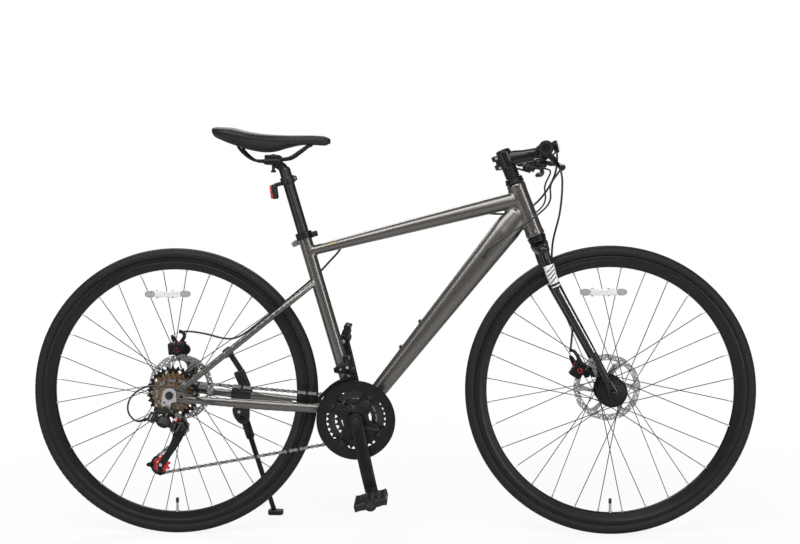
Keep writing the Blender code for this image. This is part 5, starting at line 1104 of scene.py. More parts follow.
def make_cassette():
    groups = {"large": [], "middle": [], "grey": []}
    for k, teeth in enumerate(SPROCKETS):
        y = SPROCKET_Y - SPROCKET_STEP * k
        phase = phase_of(1) if k == DRIVEN else 0.1 * k
        outlines = [gear(teeth, phase), disc(0, 0, 0.0158, 32)]
        if k == 0:
            for a in range(0, 360, 36):
                outlines.append(disc(*polar(0.0505, a), 0.0042, 16))
                outlines.append(rounded(arc(0, 0, 0.044, a + 6, a + 30, 5)
                    + arc(0, 0, 0.034, a + 28, a + 8, 4), 1))
        elif teeth > 18:
            outlines += [disc(*polar(pitch_radius(teeth) - 0.0115, 45 * j + 12 * k), 0.0034, 14)
                for j in range(8)]
        kind = "large" if k == 0 else ("grey" if k == 4 else "middle")
        groups[kind].append(side(outlines, REAR, y - 0.0009, y + 0.0009, 0.00025))
    piece("cassette_large_gear", groups["large"], DEEP, "cassette")
    piece("cassette_gears", groups["middle"], BRONZE, "cassette")
    for k in range(6):
        y = SPROCKET_Y - SPROCKET_STEP * k
        groups["grey"].append(ring(REAR, 0.0185, 0.0125, y - SPROCKET_STEP + 0.001, y - 0.001, SIDEWAYS, 40,
            0.0002))
    piece("cassette_grey_gear", groups["grey"], LINK, "cassette")
    lock = turned([(0.016, -0.061), (0.016, -0.0625), (0.014, -0.0632), (0.0112, -0.0632), (0.0104, -0.06),
        (0.0104, -0.059), (0.015, -0.059)], REAR, SIDEWAYS, 48, 0.0002)
    piece("cassette_lockring", [lock], BRIGHT, body="cassette")


RING_BOLT_R = 0.0625
SMALL_BOLT_R = 0.0405
CRANK_DIR = vec(math.sin(math.radians(CRANK_TILT)), 0, -math.cos(math.radians(CRANK_TILT)))
SPIDER = [math.degrees(math.atan2(CRANK_DIR[2], CRANK_DIR[0])) + 45 + 90 * k for k in range(4)]
ARM_ROOT = 0.072
ARM_END = 0.089
PEDAL_IN = 0.1
PEDAL_OUT = 0.19


def spider_edge(outer, gap, inner, half, count=14):
    """The inner edge of a ring, with a tab for each of the spider's arms."""
    edge = []
    for angle in SPIDER:
        edge += arc(0, 0, outer, angle - 90 + gap, angle - gap, count)
        edge += arc(0, 0, inner, angle - half, angle + half, 5)
    return rounded(edge, 1)


def make_chainrings():
    edges = (disc(0, 0, 0.0355, 48), spider_edge(0.0497, 14, 0.037, 8), spider_edge(0.069, 17, 0.0545, 7))
    rings = [side([gear(teeth, phase), edge], BB, y - half, y + half, 0.00025)
        for teeth, phase, edge, y, half in zip(RINGS, (phase_of(0), 0.0, 0.05), edges, RING_Y,
        (0.0009, 0.0009, 0.001))]
    piece("chainring_small_and_middle", rings[:2], DARK, "chainrings")
    piece("chainring_large", rings[2:], DEEP, "chainrings")
    back = GUARD_Y - 0.001
    shapes = [side([disc(0, 0, GUARD_R, 128), spider_edge(0.0698, 18, RING_BOLT_R - 0.006, 7, 18)], BB,
        GUARD_Y - 0.0012, GUARD_Y + 0.0012, 0.0006), turned([(GUARD_R - 0.0002, back),
        (GUARD_R - 0.001, GUARD_Y - 0.0022), (GUARD_R - 0.0028, GUARD_Y - 0.0022), (GUARD_R - 0.004, back)],
        BB, SIDEWAYS, 128)]
    for r in (0.0775, 0.084):
        shapes.append(turned([(r + 0.0012, back), (r + 0.0008, GUARD_Y - 0.0018),
            (r - 0.0008, GUARD_Y - 0.0018), (r - 0.0012, back)], BB, SIDEWAYS, 128))
    piece("chain_guard", shapes, SATIN, "chainrings")
    screws = []
    for angle in SPIDER:
        large_at = spun(BB, RING_BOLT_R, angle)
        small_at = spun(BB, SMALL_BOLT_R, angle)
        screws += bolt(large_at + vec(0, GUARD_Y - 0.0012, 0), -SIDEWAYS, 0.0046, 0.0018)
        screws.append(across(large_at, 0.004, back, RING_Y[1] + 0.0004, 20))
        screws.append(across(small_at, 0.003, RING_Y[1] - 0.0004, RING_Y[0] + 0.0008, 16))
        screws += bolt(small_at + vec(0, RING_Y[0] + 0.0009, 0), SIDEWAYS, 0.004, 0.0016)
    piece("chainring_bolts", screws, DARK, "chainrings")


def make_arm(sign, direction):
    stations = []
    for f, wide, thick in ((0.0, 0.0166, 0.006), (0.12, 0.0166, 0.0064), (0.4, 0.0158, 0.0062),
            (0.7, 0.0154, 0.0062), (1.0, 0.0148, 0.0055)):
        y = sign * (ARM_ROOT + (ARM_END - ARM_ROOT) * min(max((f - 0.1) / 0.6, 0), 1))
        stations.append((BB + direction * CRANK * f + vec(0, y, 0), thick, wide))
    end = BB + direction * CRANK
    return fused([sweep(stations, 26, 32, 0.62), across(BB, 0.0173,
        *sided(sign, ARM_ROOT - 0.0095, ARM_ROOT + 0.007), 48, 0.0012),
        across(end, 0.0157, *sided(sign, ARM_END - 0.007, ARM_END + 0.007), 48, 0.0012)], 0.0011, 4), end


def make_cranks():
    right, end = make_arm(-1, CRANK_DIR)
    star = []
    holes = [disc(0, 0, 0.014, 32)]
    for angle in SPIDER:
        tip = polar(RING_BOLT_R, angle)
        star += arc(0, 0, 0.031, angle - 56, angle - 34, 6)
        star += arc(tip[0] * 1.06, tip[1] * 1.06, 0.0112, angle - 80, angle + 80, 14)
        holes.append(disc(*tip, 0.0056, 20))
    spider = side([star] + holes, BB, GUARD_Y + 0.0012 + GAP, GUARD_Y + 0.0067, 0.001)
    piece("crank_arm_right", [right, spider], SATIN, "crank_right", angle=50)
    left, far = make_arm(1, -CRANK_DIR)
    piece("crank_arm_left", [left, across(BB, SPINDLE_R, -0.056, 0.07, 32)], SATIN, "crank_left", angle=50)
    for name, sign, at in (("right", -1, end), ("left", 1, far)):
        cap = turned([(0, 0.0022), (0.0044, 0.0022), (0.0074, 0.0014), (0.008, 0.0), (0.008, -0.003),
            (0, -0.003)], BB + vec(0, sign * (ARM_ROOT + 0.007), 0), vec(0, sign, 0), 40, 0.0002)
        piece("crank_cap_" + name, [cap], PLASTIC, body="crank")
        axle = [across(at, 0.0044, *sided(sign, ARM_END - 0.0075, PEDAL_OUT - 0.006)),
            side([disc(0, 0, 0.008, 6), disc(0, 0, 0.003, 12)], at, *sided(sign, ARM_END + 0.007,
            ARM_END + 0.0105), 0.0005)]
        piece("pedal_axle_" + name, axle, BRIGHT, body="crank")


def make_pedals():
    half_long = 0.037
    half_wide = (PEDAL_OUT - PEDAL_IN) / 2 - 0.002
    edge = [(half_long - (0.0, 0.0026, 0.0026)[k % 3], -half_wide + 2 * half_wide * k / 26)
        for k in range(27)]
    outline = edge + [(-x, y) for x, y in reversed(edge)]
    windows = [rounded([(x * far, y) for x, y in ((0.014, low), (0.031, low), (0.031, high),
        (0.014, high))], 1) for low, high in ((-0.036, -0.0215), (-0.0175, -0.003), (0.003, 0.0175),
        (0.0215, 0.036)) for far in (1, -1)]
    for name, sign, direction, lean in (("pedal_right", -1, CRANK_DIR, 14),
            ("pedal_left", 1, -CRANK_DIR, 76)):
        centre = BB + direction * CRANK + vec(0, sign * (PEDAL_IN + PEDAL_OUT) / 2, 0)
        u = vec(math.cos(math.radians(lean)), 0, math.sin(math.radians(lean)))
        w = np.cross(u, SIDEWAYS)
        shapes = [plate([outline] + windows, centre, u, SIDEWAYS, -0.0075, 0.0075, 0.0016),
            across(centre, 0.0142, *sided(sign, PEDAL_IN, PEDAL_OUT - 0.001), 36, 0.0012),
            block(centre, (0.052, 2 * half_wide - 0.006, 0.02), u, bevel=0.006)]
        for far, up in ((1, 1), (1, -1), (-1, 1), (-1, -1)):
            rail = centre + u * far * 0.0335
            shapes.append(block(rail + w * up * 0.0062, (0.005, 2 * half_wide - 0.002, 0.0046), u,
                bevel=0.0008))
            for k in range(9):
                y = -half_wide + 0.006 + k * (2 * half_wide - 0.012) / 8
                shapes.append(block(rail + w * up * 0.0077 + vec(0, y, 0), (0.0048, 0.0034, 0.0018), u,
                    SIDEWAYS, 0.0005, 1))
        piece(name + "_platform", shapes, PLASTIC, name)
        lenses = [block(centre + u * far * 0.035, (0.0034, 0.04, 0.0074), u, bevel=0.0008)
            for far in (1, -1)]
        piece(name + "_reflectors", lenses, AMBER, body=name)
        cap = turned([(0, 0.0012), (0.006, 0.001), (0.0085, 0.0), (0.0085, -0.002), (0, -0.002)],
            centre + vec(0, sign * ((PEDAL_OUT - PEDAL_IN) / 2 - 0.0012), 0), vec(0, sign, 0), 32)
        piece(name + "_end_cap", [cap], DARK, body=name)


# Gears
CLAW_IN = REAR_DROP + PLATE + GAP
CLAW_OUT = CLAW_IN + 0.003 - GAP
BRACKET_BOLT = rear(-0.0091, -0.033)
LINK_AXIS = unit(vec(0.35, 0.478, 0.8))
LINK_A = rear(-0.034, -0.05, -0.087)
LINK_B = rear(0.013, -0.07, -0.086)
BARREL_ROOT = LINK_A + vec(-0.012, 0, -0.001)
BARREL_END = rear(-0.062, -0.056, -0.087)


def make_derailleur():
    outline = (arc(0, 0, 0.0175, 20, 150, 14) + [(-0.0185, -0.006), (-0.018, -0.033)]
        + arc(-0.0091, -0.033, 0.009, 200, 340, 10) + [(0.004, -0.018), (0.016, -0.014)])
    claw = side([outline, disc(0, 0, AXLE_R + GAP, 32), disc(-0.0091, -0.033, 0.0042, 24),
        disc(-0.0125, -0.0165, 0.0026, 16)], REAR, -CLAW_OUT, -CLAW_IN, 0.0006)
    piece("derailleur_claw", [claw], BRIGHT, "derailleur_hanger")
    ear = 0.0076
    forward_link = unit(np.cross(SIDEWAYS, LINK_AXIS))
    sideways_link = np.cross(LINK_AXIS, forward_link)
    inner_face = -CLAW_OUT - GAP

    def cheeks(at, size):
        """The two ears that hold a link's pin."""
        return [block(at + LINK_AXIS * far * (ear + GAP + 0.0016), size, forward_link, sideways_link,
            0.0012) for far in (1, -1)]

    def link_pin(at):
        return cylinder(at - LINK_AXIS * (ear + 0.0046), at + LINK_AXIS * (ear + 0.0046), 0.0024, 20)

    housing = [across(BRACKET_BOLT, 0.0092, inner_face - 0.015, inner_face, 40, 0.001),
        sweep([(BRACKET_BOLT + vec(-0.001, inner_face - 0.008, 0), 0.0062, 0.0085),
        (LINK_A + LINK_AXIS * (ear + 0.006) - forward_link * 0.004, 0.0056, 0.0056)], 14, 28, 0.8),
        block(LINK_A - forward_link * 0.0105, (0.005, 0.011, 2 * ear + 0.007), forward_link, sideways_link,
        0.0014)]
    housing += cheeks(LINK_A - forward_link * 0.0035, (0.019, 0.012, 0.0032))
    piece("derailleur_upper_body", housing, PLASTIC, "derailleur_bracket")
    barrel_way = unit(BARREL_END - BARREL_ROOT)
    length = distance(BARREL_ROOT, BARREL_END)
    knob = [turned([(0, 0), (0.0034, 0), (0.0034, 0.006), (0.0039, 0.007), (0.0039, 0.012), (0.003, 0.013),
        (0.003, length), (0, length)], BARREL_ROOT, barrel_way, 24, 0.0002)]
    u = unit(np.cross(barrel_way, SIDEWAYS))
    for k in range(10):
        a = math.radians(36 * k)
        out = u * math.cos(a) + np.cross(barrel_way, u) * math.sin(a)
        knob.append(block(BARREL_ROOT + barrel_way * 0.0095 + out * 0.0037, (0.005, 0.0011, 0.0008),
            barrel_way, np.cross(out, barrel_way), 0.0002, 1))
    piece("derailleur_barrel", knob, DEEP, body="frame")
    screws = bolt(BRACKET_BOLT + vec(0, inner_face - 0.0149, 0), -SIDEWAYS, 0.0062, 0.0026)
    for x in (0.0, 0.0065):
        at = BRACKET_BOLT + vec(-0.015 - x * 0.4, inner_face - 0.011 - x, -0.003 - x)
        screws += bolt(at, vec(-0.8, -0.2, 0.3), 0.0022, 0.0016)
    piece("derailleur_upper_bolts", screws + [link_pin(LINK_A)], DARK, body="frame")

    span = unit(LINK_B - LINK_A)
    flat = np.cross(LINK_AXIS, span)
    middle = (LINK_A + LINK_B) / 2
    arms = [ring(at, 0.0062, 0.0026, -ear, ear, LINK_AXIS, 32, 0.0005) for at in (LINK_A, LINK_B)]
    arms.append(block(middle, (distance(LINK_A, LINK_B) - 0.0085, 0.0068, 2 * ear - 0.001), span, flat,
        0.0016))
    arms.append(sweep([(middle + span * a - flat * b, wide, tall) for a, b, wide, tall in ((-0.0165, 0.001,
        0.0045, 0.0072), (-0.0085, 0.0034, 0.0068, 0.0134), (0.007, 0.0034, 0.0068, 0.013),
        (0.0145, 0.001, 0.0045, 0.0066))], 20, 28, 0.6, flat))
    piece("derailleur_link_arm", arms, DEEP, "derailleur_link")
    screws = []
    for a in (-0.005, 0.005):
        screws += bolt(middle - flat * 0.0092 + span * a, -flat, 0.0021, 0.0012)
    piece("derailleur_link_screws", screws, DARK, body="derailleur_link")

    outer_plate = DRIVEN_Y - 0.0075
    low = outer_plate - GAP - 0.0095
    lower = [turned([(0.006 + GAP, outer_plate - GAP), (0.0115, outer_plate - GAP), (0.0115, low + 0.001),
        (0.0106, low - 0.001), (0.008, low - 0.0024), (0.0, low - 0.0024), (0.0, low - 0.0004),
        (0.006 + GAP, low)], CAGE_PIVOT, SIDEWAYS, 48, 0.0003), block(LINK_B + forward_link * 0.0108
        + sideways_link * 0.004, (0.0054, 0.019, 2 * ear + 0.0068), forward_link, sideways_link, 0.0016)]
    lower += cheeks(LINK_B + forward_link * 0.0033, (0.0186, 0.0124, 0.0032))
    piece("derailleur_knuckle_body", lower, PLASTIC, "derailleur_knuckle")
    screws = [link_pin(LINK_B)] + bolt(CAGE_PIVOT + vec(0, low - 0.0022, 0), -SIDEWAYS, 0.0052, 0.0014)
    piece("derailleur_knuckle_bolts", screws, DARK, body="derailleur_knuckle")

    upper_at = WHEELS[2][0] - flattened(CAGE_PIVOT)
    lower_at = WHEELS[3][0] - flattened(CAGE_PIVOT)
    across_cage = flattened(unit(vec(lower_at[1], 0, -lower_at[0])))
    bow = across_cage * -0.006
    inner_plate = DRIVEN_Y + 0.006

    def strap(p, q, rp, rq):
        """A cage plate between two wheels, waisted on both sides and bowed."""
        hull = capsule(p, q, rp, rq, 14)
        first = (np.array(hull[13]) + np.array(hull[14])) / 2
        last = (np.array(hull[-1]) + np.array(hull[0])) / 2
        middle = (first + last) / 2
        return rounded(hull[:14] + [tuple(middle + (first - middle) * 0.75 + bow)] + hull[14:]
            + [tuple(middle + (last - middle) * 0.75 + bow)], 1)

    window = [tuple(lower_at * f + bow * 0.7 + across_cage * w) for f, w in ((0.34, -0.0035),
        (0.62, -0.003), (0.62, 0.003), (0.34, 0.0035))]
    x, z = float(lower_at[0]), float(lower_at[1])
    rim = arc(x, z, 0.0238, 104, 302, 34) + arc(x, z, 0.0188, 302, 104, 30)
    layers = [([strap((0, 0), (x, z), 0.0142, 0.0072), rounded(window)], 0.0015),
        ([rounded(rim, 1)], 0.0015), ([capsule((x - 0.0215, z + 0.001), (x - 0.0295, z + 0.0005), 0.0064,
        0.0042)], 0.002), ([capsule((x - 0.001, z - 0.0212), (x, z), 0.004, 0.0066)], 0.0014)]
    plates = [side(outlines, CAGE_PIVOT, outer_plate, outer_plate + thick) for outlines, thick in layers]
    plates.append(sweep([(CAGE_PIVOT + vec(x * f + a, outer_plate - b, z * f + c), wide, tall)
        for f, a, b, c, wide, tall in ((0.0, 0.004, 0.0004, 0.004, 0.0016, 0.0125),
        (0.35, 0.0075, 0.0008, 0.0, 0.0018, 0.0095), (0.7, 0.0045, 0.0006, 0.0, 0.0014, 0.0085))], 16, 20,
        0.8))
    plates.append(side([strap(tuple(upper_at), (x, z), 0.01, 0.0095), rounded(window)], CAGE_PIVOT,
        inner_plate, inner_plate + 0.0015))
    plates.append(across(CAGE_PIVOT, 0.006, low + GAP, outer_plate + 0.0006, 40))
    piece("derailleur_cage_plates", plates, DEEP, "derailleur_cage")
    screws = []
    places = {k: vec(WHEELS[k][0][0], 0, WHEELS[k][0][1]) for k in (2, 3)}
    for at in places.values():
        screws.append(across(at, 0.003, outer_plate + 0.0004, inner_plate + 0.0025, 20))
        screws += bolt(at + vec(0, outer_plate, 0), -SIDEWAYS, 0.0042, 0.0012)
    piece("derailleur_pulley_bolts", screws, BRIGHT, "derailleur_cage")
    for k, name in ((2, "upper_pulley"), (3, "lower_pulley")):
        at = places[k]
        holes = [disc(*polar(0.0098, 72 * j), 0.0016, 12) for j in range(5)]
        teeth = side([gear(PULLEY_TEETH, phase_of(k), 0.004, 0.0024), disc(0, 0, 0.0033, 20)] + holes, at,
            DRIVEN_Y - 0.001, DRIVEN_Y + 0.001, 0.0003)
        piece(name + "_teeth", [teeth, ring(at, 0.007, 0.0033, DRIVEN_Y - 0.0057, DRIVEN_Y + 0.0057,
            SIDEWAYS, 36)], RED, name)


FD_LOW = 0.107
FD_HIGH = 0.127
FD_PIN = seat(FD_LOW - 0.003, 0.0235)


def make_front_derailleur():
    shapes = [ring(BB, 0.019, 0.016, FD_LOW + 0.002, FD_HIGH - 0.002, SEAT_UP, 56, 0.0008)]
    for at, size, bevel in ((seat(FD_LOW + 0.012, 0.004, -0.0235), (0.03, 0.013, 0.022), 0.0036),
            (seat(FD_HIGH + 0.001, 0.019, -0.0215), (0.0068, 0.009, 0.034), 0.002),
            (seat(FD_HIGH + 0.012, 0.0205, -0.008), (0.0068, 0.032, 0.0058), 0.002),
            (FD_PIN + SEAT_UP * 0.002 - SEAT_FWD * 0.002 + vec(0, -0.0215, 0), (0.015, 0.017, 0.016),
            0.003), (seat(FD_LOW + 0.01, -0.0205, 0.001), (0.006, 0.011, 0.012), 0.0015)):
        shapes.append(block(at, size, SEAT_FWD, bevel=bevel))
    piece("front_derailleur_body", shapes, DEEP, "front_derailleur")
    screws = []
    for s, t, y, way, r, h in ((FD_HIGH + 0.012, 0.0205, -0.024, -1, 0.0032, 0.002),
            (FD_LOW + 0.012, 0.012, -0.0296, -1, 0.0034, 0.0016), (FD_LOW + 0.012, -0.004, -0.0296, -1,
            0.0024, 0.0014), (FD_LOW + 0.01, -0.0205, 0.0064, 1, 0.003, 0.002)):
        screws += bolt(seat(s, t, y), SIDEWAYS * way, r, h)
    piece("front_derailleur_screws", screws, BRIGHT, body="frame")
    top_edge = 0.0985
    tail = [(-0.09, 0.05), (-0.0905, 0.036), (-0.085, 0.037), (-0.08, 0.048)]
    outer_y = RING_Y[0] - 0.0086
    inner_y = RING_Y[0] + 0.005
    cage = [side([arc(0, 0, top_edge, 92, 130, 24) + tail + arc(0, 0, 0.0915, 126, 92, 20)], BB, outer_y,
        outer_y + 0.0014), side([arc(0, 0, top_edge, 90, 130, 24) + tail + arc(0, 0, 0.082, 128, 90, 20)],
        BB, inner_y, inner_y + 0.0014), side([arc(0, 0, 0.0962, 100, 118, 14)
        + arc(0, 0, top_edge - 0.0005, 118, 100, 14)], BB, outer_y + 0.0004, inner_y + 0.001),
        across(BB + vec(-0.0885, 0, 0.041), 0.0022, outer_y + 0.0004, inner_y + 0.001, 20),
        across(FD_PIN, 0.0024, inner_y + 0.0005, inner_y + 0.0335, 20)]
    piece("front_cage_plates", cage, DEEP, "front_derailleur_cage")


# Brakes
FRONT_CALIPER = front(-0.066, 0.042)
REAR_CALIPER = rear(-0.008, 0.092)
FRONT_PIVOT_Y = 0.056
REAR_PIVOT_Y = REAR_DROP + 0.0057
FRONT_ARM_Y = FRONT_PIVOT_Y + 0.002
REAR_ARM_Y = REAR_PIVOT_Y + 0.002
CABLE_STOPS = {"front": FRONT_CALIPER + vec(-0.0185, FRONT_ARM_Y, 0.041),
    "rear": REAR_CALIPER + vec(0.0005, REAR_ARM_Y, 0.039)}
ARM_TOPS = {"front": FRONT_CALIPER + vec(-0.0195, FRONT_ARM_Y, 0.033),
    "rear": REAR_CALIPER + vec(-0.0195, REAR_ARM_Y, 0.033)}


def make_caliper(name, at, hub, low, high, pivot_y, rotor_y, lug, lug_high):
    body = "steering" if name == "front" else "frame"
    out = unit((at - hub) * vec(1, 0, 1))
    way = np.cross(SIDEWAYS, out)
    flat = at * vec(1, 0, 1)

    def slab(outward, along_way, y_low, y_high, size_out, size_way, bevel=0.0022):
        return block(flat + out * outward + way * along_way + vec(0, (y_low + y_high) / 2, 0),
            (size_out, size_way, y_high - y_low), out, way, bevel)

    shapes = [slab(0.002, 0, low + 0.0015, rotor_y - 0.0022, 0.027, 0.042, 0.003),
        slab(0.002, 0, rotor_y + 0.0022, high, 0.027, 0.042, 0.003),
        slab(0.013, 0, low + 0.0025, high - 0.001, 0.008, 0.03, 0.0022),
        turned([(0, low - 0.0004), (0.0118, low - 0.0004), (0.0135, low + 0.0014),
        (0.0135, rotor_y - 0.0022), (0, rotor_y - 0.0022)], flat, SIDEWAYS, 48, 0.0004),
        turned([(0, rotor_y + 0.0022), (0.015, rotor_y + 0.0022), (0.015, pivot_y - 0.0016),
        (0.0136, pivot_y), (0, pivot_y)], flat, SIDEWAYS, 48, 0.0004),
        side([rounded(lug, 1)], at, low + 0.012, lug_high, 0.001)]
    # Fluted adjusting wheel on the wheel's side
    shapes.append(side([fluted(0.0092, 14, 0.0009)], flat, low - 0.0026, low - 0.0002, 0.0003))
    # Carrier arm that holds the end of the cable's sleeve
    stop = CABLE_STOPS[name]
    shapes.append(sweep([(flat + vec(0.006, high - 0.004, 0.015), 0.0035, 0.005),
        (vec(stop[0] + 0.015, high - 0.003, stop[2] - 0.008), 0.003, 0.0042),
        (vec(stop[0] + 0.0085, stop[1] - 0.008, stop[2] + 0.002), 0.0026, 0.004),
        (stop + vec(0.001, -0.0046, 0.004), 0.0024, 0.0036)], 18, 20, 0.8))
    for far in (-1, 1):
        shapes.append(across(flat + out * 0.0135 + way * far * 0.0165, 0.0042, low + 0.004, high - 0.001,
            24, 0.0006))
    piece(name + "_caliper_body", shapes, DEEP, name + "_caliper")
    accents = [ring(flat, 0.006, 0.0042, low - 0.003, low - 0.0022, SIDEWAYS, 32, 0.0001),
        slab(0.0175, 0.006, rotor_y + 0.003, high - 0.003, 0.0022, 0.009, 0.0006)]
    piece(name + "_caliper_accents", accents, RED, body=body)
    fins = [slab(0.0185, 0.0022 * k - 0.009, low + 0.0045, rotor_y - 0.004, 0.005, 0.0008, 0.0002)
        for k in range(5)]
    piece(name + "_pad_spring", fins, BRIGHT, body=body)
    screws = []
    for x, z in ((0.018, -0.012), (0.02, 0.006)):
        screws += bolt(vec(at[0] + x, high - 0.0002, at[2] + z), SIDEWAYS, 0.0042, 0.0032)
    for far in (-1, 1):
        screws += bolt(flat + out * 0.0135 + way * far * 0.0165 + vec(0, low + 0.0042, 0), -SIDEWAYS, 0.003,
            0.0016)
    piece(name + "_caliper_bolts", screws, DARK, body=body)
    face = pivot_y + GAP
    arm = [(0.009, -0.006), (-0.006, -0.009), (-0.012, 0.004), (-0.023, 0.03), (-0.015, 0.034),
        (0.001, 0.011), (0.01, 0.004)]
    lever = [side([rounded(arm, 1)], at, face, face + 0.0035, 0.0007),
        across(at, 0.0066, face + 0.001, face + 0.0058, 36, 0.0006)]
    piece(name + "_caliper_lever", lever, DEEP, name + "_caliper_arm")
    pinch = bolt(vec(at[0] - 0.018, face + 0.0034, at[2] + 0.0295), SIDEWAYS, 0.0034, 0.0028)
    pinch += bolt(vec(at[0], face + 0.0056, at[2]), SIDEWAYS, 0.004, 0.001)
    piece(name + "_caliper_lever_bolts", pinch, BRIGHT, body=name + "_caliper_arm")


def make_calipers():
    lug = [(0.01, -0.02), (0.027, -0.018), (0.0275, 0.004), (0.01, 0.01)]
    lug_high = FORK_DROP + 0.0007 - GAP
    make_caliper("front", FRONT_CALIPER, FRONT, 0.0275, 0.047, FRONT_PIVOT_Y, FRONT_ROTOR_Y, lug, lug_high)
    lug = [(-0.02, -0.005), (0.025, -0.015), (0.032, 0.0), (0.02, 0.014), (-0.015, 0.015)]
    high = REAR_DROP - GAP
    make_caliper("rear", REAR_CALIPER, REAR, 0.0395, high, REAR_PIVOT_Y, REAR_ROTOR_Y, lug, high)


# Fork and stand
LEG_Y = 0.0545


def leg_stations(sign, grow=0.0):
    return [(head(-0.0985, -0.0012, sign * 0.0515), 0.0085 + grow, 0.0125 + grow),
        (head(-0.14, -0.0027, sign * LEG_Y), 0.0105 + grow, 0.0125 + grow),
        (head(-0.1897, -0.0026, sign * LEG_Y), 0.0098 + grow, 0.0108 + grow),
        (head(-0.3541, 0.019, sign * LEG_Y), 0.0075 + grow, 0.0083 + grow),
        (head(-0.442, 0.0284, sign * 0.0535), 0.006 + grow, 0.0075 + grow)]


def make_fork():
    crown_top = -HEAD_HALF - CUP - 2 * GAP
    crown = turned([(0, crown_top), (0.02, crown_top), (0.0212, crown_top - 0.004),
        (0.0212, crown_top - 0.008), (0.0195, crown_top - 0.018), (0, crown_top - 0.018)], HEAD, HEAD_UP,
        56)
    bridge = sweep([(head(-0.096 + lift, -0.0005, y), fore, up) for y, up, fore, lift in ((-0.06, 0.009,
        0.01, -0.008), (-0.052, 0.013, 0.0145, -0.004), (-0.025, 0.012, 0.0175, 0.0),
        (0.0, 0.0115, 0.0182, 0.0), (0.025, 0.012, 0.0175, 0.0), (0.052, 0.013, 0.0145, -0.004),
        (0.06, 0.009, 0.01, -0.008))], 28, 28, 0.9, HEAD_FWD)
    skin = [crown, bridge]
    # The dropout's hull is cut open below the axle by the slot, whose points run the same way round
    tip = head(-0.442, 0.0284) - FRONT
    hull = [p for p in capsule((tip[0], tip[2]), (0, 0), 0.008, 0.0115, 20)
        if not (abs(p[0]) < 0.0052 and p[1] < 0)]
    lowest = min(range(len(hull)), key=lambda k: hull[k][1])
    first = lowest + (1 if hull[lowest][0] < 0 else 0)
    slot = [(-0.0051, -0.0005), (-0.0036, 0.0036), (0, 0.0051), (0.0036, 0.0036), (0.0051, -0.0005)]
    slot = slot if hull[first - 1][0] < 0 else slot[::-1]
    plates = []
    for sign in (-1, 1):
        skin.append(sweep(leg_stations(sign), 44, 32))
        near, far = sided(sign, FORK_DROP, FORK_DROP + FORK_PLATE)
        plates.append(side([hull[:first] + slot + hull[first:]], FRONT, near, far, 0.001))
    tab = [(-0.02, 0.08), (-0.04, 0.066), (-0.043, 0.03), (-0.03, 0.02), (-0.013, 0.024), (-0.012, 0.07)]
    plates.append(side([rounded(tab)], FRONT, FORK_DROP + 0.0007, FORK_DROP + PLATE + 0.0003, 0.001))
    piece("fork_skin", [fused(skin, 0.0016, 5)] + plates + [cylinder(head(-0.09), head(STEM_HIGH - 0.002),
        STEERER_R, 40)], GLOSS, "fork", angle=50)
    # Plain bands round the two legs: a broad white one, with a row of four parallel strokes evenly spaced
    rows = {sign: smooth([list(p) + [a, b] for p, a, b in leg_stations(sign, 0.00035)], 120)
        for sign in (-1, 1)}
    white = [sweep([(r[:3], r[3], r[4]) for r in rows[sign][first:last + 1]], 0, 40) for sign in (-1, 1)
        for first, last in ((13, 28), (30, 31))]
    piece("fork_band_white", white, WHITE, body="steering")
    bars = []
    for sign in (-1, 1):
        for step in (16, 19, 22, 25):
            r = rows[sign][step]
            way = unit(rows[sign][step + 1][:3] - r[:3])
            bars.append(turned([(r[4] + 0.0002, -0.0009), (r[4] + 0.0008, -0.0009), (r[4] + 0.0008, 0.0009),
                (r[4] + 0.0002, 0.0009)], r[:3], unit(way + HEAD_FWD * 0.6), 48))
    piece("fork_band_bars", bars, GLOSS, body="steering")
    # Thin pinstripe down the outer side of each leg
    stripe = []
    for sign in (-1, 1):
        line = [r[:3] + vec(0, sign * (r[3] + 0.0001), 0) + HEAD_FWD * r[4] * 0.25
            for r in rows[sign][33:92]]
        stripe.append(sweep([(p, 0.0004, 0.0012) for p in line], 0, 8))
    piece("fork_pinstripe", stripe, WHITE, body="steering")


KICK_F = 0.658


def rod_box(start, end, wide, thick):
    """A straight flat bar between two points, its narrow side across the bicycle."""
    way = unit(end - start)
    return block((start + end) / 2, (distance(start, end), 2 * wide, 2 * thick), way,
        np.cross(SIDEWAYS, way), 0.0012)


